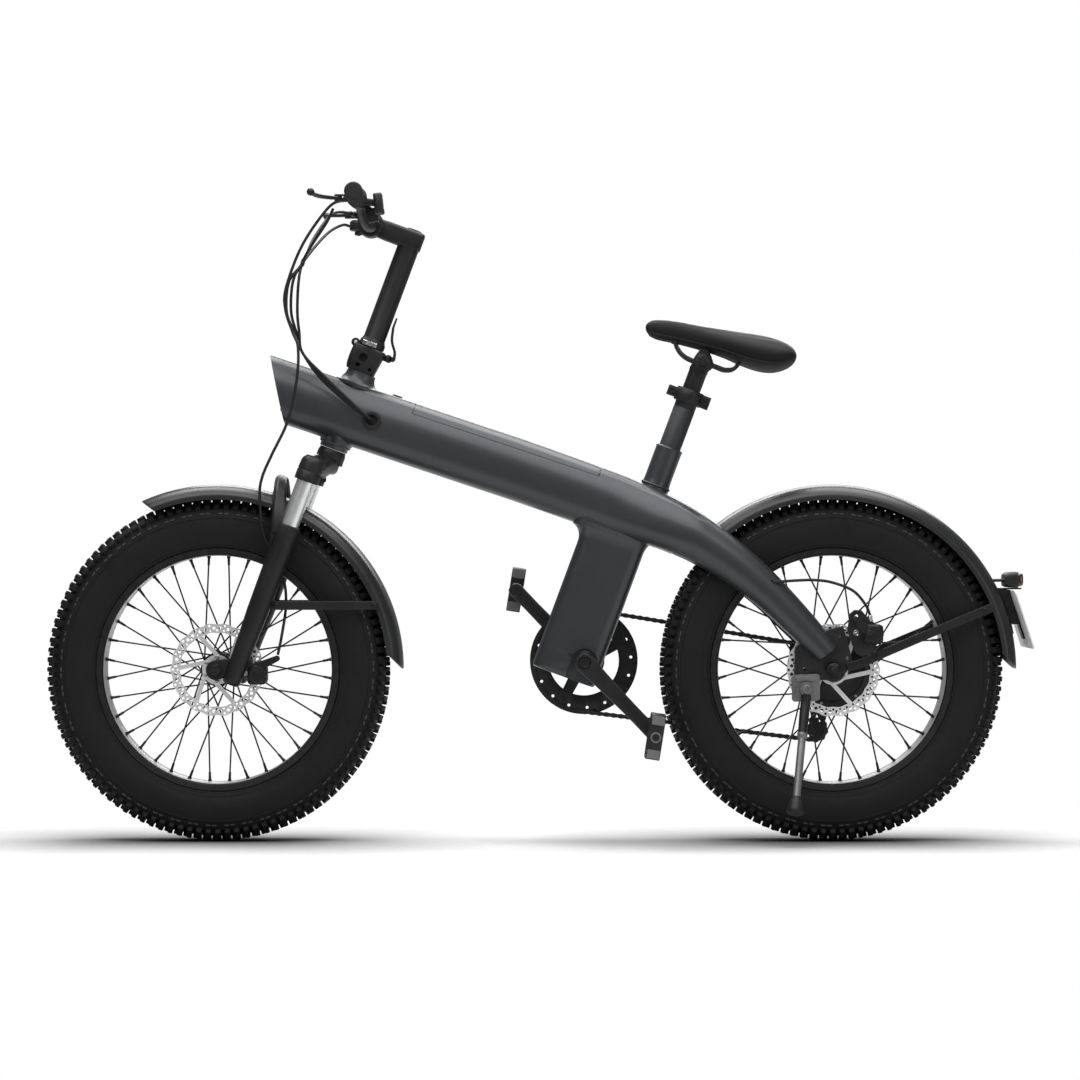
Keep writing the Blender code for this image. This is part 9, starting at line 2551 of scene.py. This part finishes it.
    def build(self) -> None:
        """Places the fenders, their stays and feet, the plate and the lamp."""
        front, rear = self.arch(FRONT_AXLE, 114.5, "front_arch"), self.arch(REAR_AXLE, 141.0, "rear_arch")
        place("front_guard", front, GUARD, "lowers", ["front_fender"])
        place("rear_guard", rear, GUARD, "frame", ["rear_fender"])
        feet = self.feet()
        for end, carrier, (stays, bolts), foot in (("front", "lowers", self.front_stays(), feet[0]),
                                                   ("rear", "frame", self.rear_stays(), feet[1])):
            place(f"{end}_guard_stays", stays, BLACK, carrier)
            place(f"{end}_guard_bolts", bolts, BLACK, carrier)
            place(f"{end}_guard_foot", foot, BLACK, carrier)
        place("plate_bracket", self.bracket(), BLACK, "frame")
        place("bare_plate", self.plate(), PLATE, "frame", ["number_plate"])
        top, down, out = self.plate_axes()
        spots = [top + down * 0.020 + SIDE * side * 0.012 + out * 0.0018 for side in (-1.0, 1.0)]
        place("plate_bolts", self.bolts(spots, out, 0.0036), BLACK, "frame")
        case, lens = self.lamp()
        place("lamp_case", case, PLASTIC, "frame", ["tail_light"])
        place("tail_lens", lens, RED_LENS, "frame")


# Side stand

@dataclass
class SideStand:
    """The stand: a cast bracket on the stay and a leg with its sleeve, rod and foot."""

    pivot: tuple[float, float] = (0.4580, 0.2640)

    def bracket(self) -> bpy.types.Mesh:
        """The bracket: a slanting plate with a raised boss, a pad along its top and a slot."""
        shape = rounded(0.0480, 0.0460, 0.0055, 6)
        shape[:, 1] += 0.04 * shape[:, 0]
        plate = Skin().slab(shape + np.array([0.4580, 0.2660]), -0.0860, -0.0788, 0.0010).mesh("plate")
        boss = Skin().lathe([(0.0010, 0.0850), (0.0128, 0.0850), (0.0120, 0.0890), (0.0112, 0.0900),
                             (0.0010, 0.0900)], vec(self.pivot[0], 0, self.pivot[1]), -SIDE, 40).mesh("boss")
        pad = Skin().sweep(np.array([(0.440, -0.0868, 0.2810), (0.459, -0.0868, 0.2815),
                                     (0.478, -0.0868, 0.2810)]),
                           rounded(0.0030, 0.0090, 0.0012, 3)).mesh("pad")
        slot = Skin().slab(capsule((0.4420, 0.2560), (0.4420, 0.2680), 0.0026, 0.0026, 10), -0.0900, -0.0850,
                           0.0002).mesh("slot")
        return combined(plate, [(boss, Cut.PLUS), (pad, Cut.PLUS), (slot, Cut.LESS)], 0.0006, 35.0)

    def bolts(self) -> bpy.types.Mesh:
        """The pivot's round bolt head with its socket."""
        skin = Skin()
        spot = vec(self.pivot[0], -0.1045, self.pivot[1])
        skin.rods(spot, spot - SIDE * 0.01, ((0, -0.002, 0.0050), (0, 0.0, 0.0080), (0, 0.0008, 0.0082),
                                             (0, 0.0024, 0.0078), (0, 0.0032, 0.0066), (0, 0.0032, 0.0040),
                                             (0, 0.0016, 0.0036)), 36)
        return skin.mesh("stand_bolts", 25.0)

    def line(self) -> Array:
        """The leg's middle line, from its eye to its foot."""
        start = vec(self.pivot[0], -0.0970, self.pivot[1])
        knee = start + vec(-0.004, -0.008, -0.040)
        return smooth([start, start + vec(-0.001, -0.0015, -0.018), knee, (0.4430, -0.1400, 0.1330),
                       (0.4340, -0.1700, 0.0570)], 0.003)

    def leg(self) -> bpy.types.Mesh:
        """The leg: a round bar along a bent line whose radius steps at the sleeve and flares at the foot."""
        line = self.line()
        length = run_lengths(line)
        total = length[-1]
        radius = np.interp(length, [0, 0.020, 0.045, total * 0.38, total * 0.385, total - 0.030,
                                    total - 0.018, total - 0.004, total],
                           [0.0085, 0.0085, 0.0086, 0.0078, 0.0058, 0.0060, 0.0120, 0.0150, 0.0140])
        return Skin().sweep(line, circle(radius, 24)).mesh("stand_leg", 30.0)

    def rod(self) -> bpy.types.Mesh:
        """The leg's bare light rod under its black sleeve: a thin skin over the leg."""
        line = self.line()
        length = run_lengths(line)
        total = length[-1]
        kept = (length > total * 0.34) & (length < total - 0.027)
        run = line[kept]
        radius = np.interp(length[kept], [total * 0.34, total * 0.384, total * 0.395, total - 0.030],
                           [0.0090, 0.0088, 0.0068, 0.0066])
        return Skin().sweep(run, circle(radius, 24)).mesh("stand_rod", 30.0)

    def eye(self) -> bpy.types.Mesh:
        """The leg's eye round the pivot, with the spring's seven coils below it."""
        centre = vec(self.pivot[0], 0, self.pivot[1])
        skin = Skin().lathe([(0.0046, 0.0903), (0.0108, 0.0903), (0.0115, 0.0912), (0.0115, 0.1030),
                             (0.0108, 0.1040), (0.0046, 0.1040)], centre, -SIDE, 40, ring=True)
        turn = np.linspace(0, 2 * np.pi * 7, 300)
        start, end = vec(0.4660, -0.0935, 0.2720), vec(0.4560, -0.1060, 0.2230)
        run = unit(end - start)
        first = unit(np.cross(run, SIDE))
        second = np.cross(run, first)
        share = np.linspace(0, 1, 300)[:, None]
        coil = np.cos(turn)[:, None] * first + np.sin(turn)[:, None] * second
        path = start + (end - start) * share + 0.0036 * coil
        return skin.sweep(path, circle(0.0008, 8)).mesh("stand_eye", 45.0)

    def build(self) -> None:
        """Places the bracket, the leg and the spring."""
        place("stand_bracket", self.bracket(), GREY, "frame", ["kickstand_bracket"])
        place("stand_bolts", self.bolts(), GREY, "frame")
        place("stand_leg", self.leg(), BLACK, "kickstand", ["kickstand_leg"])
        place("stand_rod", self.rod(), ALLOY, "kickstand")
        place("stand_eye", self.eye(), GREY, "kickstand")


# Brakes

@dataclass
class Caliper:
    """One disc brake's caliper: a body over the disc, drum, screws and arm, and the rear one's bracket."""

    name: str
    body: str
    arm_body: str
    centre: Array
    plane: float
    arm_root: tuple[float, float]
    arm_tip: tuple[float, float]
    arm_side: float

    def housing(self) -> bpy.types.Mesh:
        """The cast body: a rounded block with cut corners over the disc, a slot for it and a round drum."""
        x, y, z = self.centre
        rows = [(-0.0235, 0.026, 0.026), (-0.0222, 0.030, 0.031), (-0.0195, 0.033, 0.034),
                (0.0, 0.034, 0.034), (0.0195, 0.033, 0.034), (0.0222, 0.030, 0.031), (0.0235, 0.026, 0.026)]
        table = eased(rows, 28)
        rings = []
        for shift, wide, high in table:
            shape = rounded(wide, high, 0.0080, 6)
            rings.append(np.stack([x + shape[:, 0], np.full(len(shape), y + shift), z + shape[:, 1]], -1))
        block = Skin().grid(np.array(rings)).mesh("block")
        drum = Skin().lathe([(0.0010, 0.0), (0.0150, 0.0), (0.0150, 0.0245), (0.0140, 0.0262),
                             (0.0118, 0.0268), (0.0112, 0.0256), (0.0060, 0.0254), (0.0054, 0.0268),
                             (0.0010, 0.0268)], self.centre, -SIDE, 48).mesh("drum")
        room = (FRONT_AXLE if self.name == "front" else REAR_AXLE) + SIDE * self.plane
        slot = Skin().lathe([(0.0300, -0.0022), (0.0820, -0.0022), (0.0820, 0.0022), (0.0300, 0.0022)], room,
                            SIDE, 96, ring=True).mesh("slot")
        return combined(block, [(drum, Cut.PLUS), (slot, Cut.LESS)], 0.0008, 35.0)

    def screws(self) -> bpy.types.Mesh:
        """Two socket screws through the body and the adjuster in the drum."""
        x, y, z = self.centre
        skin = Skin()
        for dx, dz in ((-0.0125, -0.0120), (0.0125, 0.0120)):
            spot = vec(x + dx, y - 0.0232, z + dz)
            skin.rods(spot, spot - SIDE * 0.01, ((0, -0.001, 0.0030), (0, 0.0, 0.0034), (0, 0.0022, 0.0034),
                                                 (0, 0.0026, 0.0030), (0, 0.0026, 0.0017),
                                                 (0, 0.0012, 0.0016)), 16)
        spot = vec(x, y - 0.0252, z)
        skin.rods(spot, spot - SIDE * 0.01, ((0, -0.001, 0.0040), (0, 0.0016, 0.0048), (0, 0.0024, 0.0042),
                                             (0, 0.0024, 0.0024), (0, 0.0010, 0.0020)), 6)
        return skin.mesh(f"{self.name}_caliper_screws")

    def mount(self) -> bpy.types.Mesh:
        """The rear caliper's bracket: a flat plate with eased edges and three holes."""
        outline = np.array([(0.5290, 0.3640), (0.5325, 0.3920), (0.5405, 0.3990), (0.5530, 0.3985),
                            (0.5610, 0.3890), (0.5740, 0.3780), (0.5905, 0.3640), (0.5915, 0.3560),
                            (0.5850, 0.3370), (0.5720, 0.3250), (0.5540, 0.3190), (0.5420, 0.3260)])
        holes = [round_plate((0.5440, 0.3880), 0.0034, 24), round_plate((0.5440, 0.3600), 0.0052, 28),
                 round_plate((0.5800, 0.3400), 0.0030, 24)]
        return combined(perforated(outline, holes, -0.0815, -0.0765, "caliper_bracket"), [], 0.0006, 40.0)

    def arm(self) -> bpy.types.Mesh:
        """The arm that the cable pulls: a tapering lever with an eye and a cable clamp bolt."""
        side = self.arm_side
        skin = Skin().slab(capsule(self.arm_root, self.arm_tip, 0.0085, 0.0050, 14), side - 0.0046,
                           side - 0.0005, 0.0007)
        root, tip = (vec(x, side, z) for x, z in (self.arm_root, self.arm_tip))
        skin.rods(root - SIDE * 0.0046, root - SIDE * 0.0085, ((0, 0, 0.0052), (0, 0.0004, 0.0056),
                                                               (1, -0.0006, 0.0056), (1, 0, 0.0048)), 20)
        skin.rods(tip - SIDE * 0.0046, tip - SIDE * 0.0084,
                  ((0, 0, 0.0038), (1, -0.0004, 0.0040), (1, 0, 0.0034)), 6)
        return skin.mesh(f"{self.name}_brake_lever")

    def build(self) -> None:
        """Places the caliper's pieces."""
        place(f"{self.name}_brake_body", self.housing(), BLACK, self.body, [f"{self.name}_caliper"])
        place(f"{self.name}_caliper_screws", self.screws(), BLACK, self.body)
        if self.name == "rear":
            place("rear_caliper_bracket", self.mount(), BLACK, self.body)
        place(f"{self.name}_brake_arm_lever", self.arm(), BLACK, self.arm_body, [f"{self.name}_caliper_arm"])


# Cables

@dataclass
class Cables:
    """The brake and control cables, split where they cross a joint, with their ferrules and ties."""

    radius: float = 0.0025

    def tube(self, route: Sequence, name: str, radius: float = 0.0) -> bpy.types.Mesh:
        """A cable's jacket: a round section along a smooth line, with a faint twist's ripple."""
        line = smooth(route, 0.004)
        wave = 1.0 + 0.012 * np.sin(np.arange(len(line)) * 2.1)
        return Skin().sweep(line, circle((radius or self.radius) * wave, 14)).mesh(name, 60.0)

    def sheath(self, start: Array, end: Array, grip: float = 0.0042) -> bpy.types.Mesh:
        """A barrel adjuster or ferrule: a collar, a neck and a lip."""
        stations = [(along, level, grip * share) for along, level, share in (
            (0, 0, 0.72), (0, 0.0012, 1.0), (0.45, 0, 1.0), (0.47, 0, 0.8), (0.60, 0, 0.8), (0.62, 0, 0.95),
            (1, -0.0012, 0.95), (1, 0, 0.7))]
        return Skin().rods(start, end, stations, 14).mesh("ferrule")

    def bar_point(self, side: float, dx: float, dy: float) -> Array:
        """A cable's start on a brake lever's clamp."""
        return Controls().end(side, Controls.perch) + vec(dx, dy, 0.0)

    def front_route(self) -> Array:
        """The front brake cable's line, from its lever to the caliper's arm."""
        start = self.bar_point(-1.0, -0.0224, 0.0270)
        return np.array([start, start + vec(-0.004, 0.020, 0.0), (-0.356, -0.118, 1.083),
                         (-0.400, -0.116, 1.020), (-0.428, -0.115, 0.947), (-0.429, -0.111, 0.909),
                         (-0.417, -0.112, 0.872), (-0.407, -0.124, 0.845), (-0.409, -0.129, 0.790),
                         (-0.4256, -0.110, 0.7206), (-0.454, -0.089, 0.6636), (-0.471, -0.080, 0.6255),
                         (-0.4755, -0.076, 0.5927), (-0.470, -0.066, 0.534), (-0.452, -0.0562, 0.492),
                         (-0.435, -0.056, 0.4476), (-0.4317, -0.060, 0.404), (-0.4386, -0.070, 0.352),
                         (-0.4444, -0.0769, 0.3222)])

    def control_routes(self) -> list[Array]:
        """The three cables into the beam: their own starts, then one shared line shifted sideways."""
        shared = np.array([(-0.425, -0.086, 0.960), (-0.429, -0.088, 0.909), (-0.416, -0.080, 0.8726),
                           (-0.402, -0.073, 0.838), (-0.373, -0.066, 0.7966), (-0.326, -0.062, 0.753),
                           (-0.296, -0.056, 0.7305), (-0.285, -0.044, 0.724)])
        right = self.bar_point(1.0, -0.0224, -0.0270)
        knot = vec(-0.402, -0.071, 0.993)
        starts = ([right, right + vec(-0.005, -0.020, 0), (-0.360, 0.085, 1.088), (-0.388, 0.010, 1.040),
                   knot + SIDE * 0.0058],
                  [(-0.330, 0.121, 1.070), (-0.344, 0.098, 1.0700), (-0.369, 0.030, 1.0470), knot],
                  [(-0.346, -0.149, 1.079), (-0.358, -0.138, 1.056), (-0.385, -0.104, 1.020),
                   knot - SIDE * 0.0058])
        step = np.arange(len(shared))
        gap = 0.0058 * np.maximum(0.4, 1.0 - 0.09 * step)
        spread = np.array([0.90, 1.0, 0.46, 0.0, 0.40, 0.35, 0.10, 0.0])
        rise = np.where(step > 3, 0.3, 0.0)
        routes = []
        for k, (start, fan) in enumerate(zip(starts, (0.0, 0.0080, 0.0190))):
            apart = np.stack([fan * spread, (1 - k) * gap, fan * spread * rise], -1)
            routes.append(np.concatenate([np.array(start, float), shared + apart]))
        return routes

    def parts(self, route: Array, cuts: Sequence[int]) -> list[Array]:
        """A smooth line cut at some of its route's points, each piece reaching a little into the next."""
        line = smooth(route, 0.004)
        marks = [int(np.argmin(np.linalg.norm(line - route[cut], axis=1))) for cut in cuts]
        edges = [0, *marks, len(line) - 1]
        return [line[first: last + 1] for first, last in zip(edges, edges[1:])]

    def tie(self, start: Array, end: Array) -> bpy.types.Mesh:
        """A wrapped tie round the bundle: a soft band with its lock."""
        path = np.linspace(start, end, 7)
        swell = np.array([0.88, 0.97, 1.0, 1.0, 1.0, 0.97, 0.88])[:, None, None]
        skin = Skin().sweep(path, rounded(0.0180, 0.0070, 0.0032, 6)[None] * swell)
        run = unit(end - start)
        spot = (start + end) / 2.0 - SIDE * 0.0065
        return skin.sweep(np.linspace(spot - run * 0.0022, spot + run * 0.0022, 4),
                          rounded(0.0052, 0.0060, 0.0012, 3)).mesh("cable_tie")

    def build(self) -> None:
        """Places the cables' pieces."""
        high, low = vec(-0.330, 0, 1.060), vec(-0.4290, -0.0880, 0.9120)
        across = ("handlepost", "steering", high, low)
        inward = ("steering", "frame", vec(-0.4160, -0.080, 0.8726), vec(-0.3000, -0.057, 0.7330))
        for number, route in enumerate(self.control_routes()):
            cut = len(route) - 7
            upper, lower = self.parts(route, [cut])
            nodes = ["control_cables"] if number == 0 else []
            place(f"control_cable_{number + 1}_upper", self.jacket(upper), RUBBER, across, nodes)
            place(f"control_cable_{number + 1}_lower", self.jacket(lower), RUBBER, inward)
        for side, dx, dy in ((-1.0, -0.0224, 0.0270), (1.0, -0.0224, -0.0270)):
            start = self.bar_point(side, dx, dy)
            word = "left" if side < 0 else "right"
            place(f"barrel_adjuster_{word}", self.sheath(start - vec(0, dy * 0.15, 0),
                                                         start + vec(-0.003, dy * 0.62, 0)), PLASTIC,
                  "handlepost")
        route = self.front_route()
        upper, middle, lower = self.parts(route, [5, 12])
        place("front_brake_line_upper", self.jacket(upper), RUBBER, across, ["front_brake_cable"])
        place("front_brake_line_middle", self.jacket(middle), RUBBER, "steering")
        place("front_brake_line_lower", self.jacket(lower), RUBBER,
              ("steering", "lowers", vec(-0.4755, -0.076, 0.5880), vec(-0.4386, -0.070, 0.3700)))
        place("upper_tie", self.tie(vec(-0.4008, -0.0695, 0.9966), vec(-0.4034, -0.0727, 0.9892)), RUBBER,
              across)
        place("lower_tie", self.tie(vec(-0.4110, -0.0778, 0.8600), vec(-0.4075, -0.0760, 0.8520)), RUBBER,
              inward)
        rear = [(0.401, -0.087, 0.447), (0.420, -0.087, 0.4478), (0.440, -0.087, 0.4492),
                (0.472, -0.087, 0.450), (0.503, -0.087, 0.4458), (0.5378, -0.087, 0.432),
                (0.5585, -0.085, 0.4095), (0.567, -0.080, 0.392), (0.569, -0.078, 0.3828)]
        place("rear_brake_line", self.tube(rear, "rear_line"), RUBBER, "frame", ["rear_brake_cable"])
        place("rear_line_ferrule", self.sheath(vec(0.5672, -0.0795, 0.3900), vec(0.5692, -0.0780, 0.3790)),
              STEEL, "frame")

    def jacket(self, line: Array) -> bpy.types.Mesh:
        """A jacket along a finished line."""
        return Skin().sweep(line, circle(self.radius, 14)).mesh("jacket", 60.0)


# Studio

@dataclass
class Studio:
    """The floor, the lights, the white surroundings and the camera."""

    reach: float = 14.0

    def floor(self) -> bpy.types.Object:
        """A pale floor with a painted contact shadow round the tyres, turning to plain white away from the
        bicycle and hiding the horizon.
        """
        span = np.linspace(-self.reach, self.reach, 9)
        x, y = np.meshgrid(span, span, indexing="ij")
        index = np.arange(81).reshape(9, 9)
        quads = np.stack([index[:-1, :-1], index[1:, :-1], index[1:, 1:], index[:-1, 1:]], -1).reshape(-1, 4)
        mesh = Skin().raw(np.stack([x, y, 0 * x], -1).reshape(-1, 3), quads).mesh("studio_floor")
        made, graph, shader = blank_material("studio_floor")
        output = made.node_tree.nodes["Material Output"]
        coords = graph.add("ShaderNodeTexCoord").outputs["Object"]
        noise = graph.noise(coords, 3.0, 4.0, 0.6)
        colour = graph.blend(noise, tint(0.62), tint(0.64))
        # Painted shadow: the colour darkens towards near black where ambient occlusion finds the tyres and
        # frame close above the floor.
        light = graph.add("ShaderNodeAmbientOcclusion", {"Distance": 0.32}, samples=16).outputs["AO"]
        shade = graph.math("POWER", light, 2.4)
        colour = graph.blend(shade, tint(0.02), colour)
        made.node_tree.links.new(colour, shader.inputs["Base Color"])
        shader.inputs["Roughness"].default_value = 0.85
        shader.inputs["Specular IOR Level"].default_value = 0.1
        parts = graph.add("ShaderNodeSeparateXYZ", {0: coords}).outputs
        share = graph.math("MAXIMUM", graph.spread(graph.math("ABSOLUTE", parts["X"]), 1.2, 2.6),
                           graph.spread(graph.math("ABSOLUTE", parts["Y"]), 0.30, 1.1))
        glow = graph.add("ShaderNodeEmission", {"Color": tint(1.0), "Strength": 1.0})
        seen = graph.add("ShaderNodeLightPath").outputs["Is Camera Ray"]
        mixed = graph.add("ShaderNodeMixShader", {0: graph.math("MULTIPLY", share, seen),
                                                  1: shader.outputs[0], 2: glow.outputs[0]})
        made.node_tree.links.new(mixed.outputs[0], output.inputs["Surface"])
        mesh.materials.append(made)
        floor = bpy.data.objects.new("studio_floor", mesh)
        bpy.context.scene.collection.objects.link(floor)
        return floor

    def lamp(self, name: str, spot: Sequence[float], target: Sequence[float], size: tuple[float, float],
             power: float) -> None:
        """A rectangular soft light that looks at a target."""
        data = bpy.data.lights.new(name, "AREA")
        data.shape = "RECTANGLE"
        data.size, data.size_y = size
        data.energy = power
        made = bpy.data.objects.new(name, data)
        made.location = spot
        toward = Vector(target) - Vector(spot)
        made.rotation_euler = toward.to_track_quat("-Z", "Y").to_euler()
        bpy.context.scene.collection.objects.link(made)

    def world(self) -> None:
        """White for the camera, a softer grey for the light that the object gets."""
        made = bpy.data.worlds.new("studio_white")
        made.use_nodes = True
        graph = Graph(made.node_tree)
        soft = made.node_tree.nodes["Background"]
        soft.inputs["Color"].default_value = tint(1.0)
        soft.inputs["Strength"].default_value = 0.22
        white = graph.add("ShaderNodeBackground", {"Color": tint(1.0), "Strength": 1.0})
        seen = graph.add("ShaderNodeLightPath").outputs["Is Camera Ray"]
        mixed = graph.add("ShaderNodeMixShader", {0: seen, 1: soft.outputs[0], 2: white.outputs[0]})
        output = made.node_tree.nodes["World Output"]
        made.node_tree.links.new(mixed.outputs[0], output.inputs["Surface"])
        bpy.context.scene.world = made

    def camera(self) -> None:
        """A long lens, far off and level, square to the bicycle's left side."""
        data = bpy.data.cameras.new("camera")
        data.lens = 135.0
        data.sensor_width = 36.0
        made = bpy.data.objects.new("camera", data)
        made.location = (0.0038, -7.0, 0.5184)
        made.rotation_euler = (math.radians(90.0), 0.0, 0.0)
        bpy.context.scene.collection.objects.link(made)
        bpy.context.scene.camera = made

    def build(self) -> None:
        """Sets up the studio."""
        self.floor()
        self.lamp("key", (-0.2, -1.5, 2.5), (0.0, 0.0, 0.55), (3.4, 2.0), 72.0)
        self.lamp("top", (0.1, 0.45, 2.8), (0.0, 0.0, 0.0), (3.4, 1.4), 110.0)
        self.lamp("fill", (2.8, -2.6, 0.9), (0.1, 0.0, 0.5), (1.2, 1.6), 12.0)
        self.lamp("back", (0.4, 3.0, 2.2), (0.0, 0.0, 0.5), (3.0, 1.2), 52.0)
        self.world()
        self.camera()
        bpy.context.scene.view_settings.view_transform = "Standard"


def main() -> None:
    """Builds the bicycle's classes in order, then the studio."""
    logging.basicConfig(level=logging.INFO, format="%(message)s")
    FrontWheel("front", FRONT_AXLE, "front_wheel", "front_hub", 0.0250, 0.0360, 62.0, -0.0500).build()
    RearWheel("rear", REAR_AXLE, "rear_wheel", "motor_hub", 0.0700, 0.0280, 24.0, -0.0660,
              valve_angle=126.0).build()
    Fork().build()
    Handlepost().build()
    Controls().build()
    BeamFrame().build()
    Drive().build()
    Seat().build()
    Tail().build()
    SideStand().build()
    Caliper("front", "lowers", "front_arm", FRONT_AXLE + vec(0.0704, -0.0555, -0.0078), -0.0500,
            (-0.4835, 0.2990), (-0.4458, 0.3160), -0.0745).build()
    Caliper("rear", "frame", "rear_arm", REAR_AXLE + vec(0.0672, -0.0715, 0.0617), -0.0660,
            (0.5660, 0.3600), (0.5410, 0.3840), -0.0905).build()
    Cables().build()
    Studio().build()


if __name__ == "__main__":
    main()
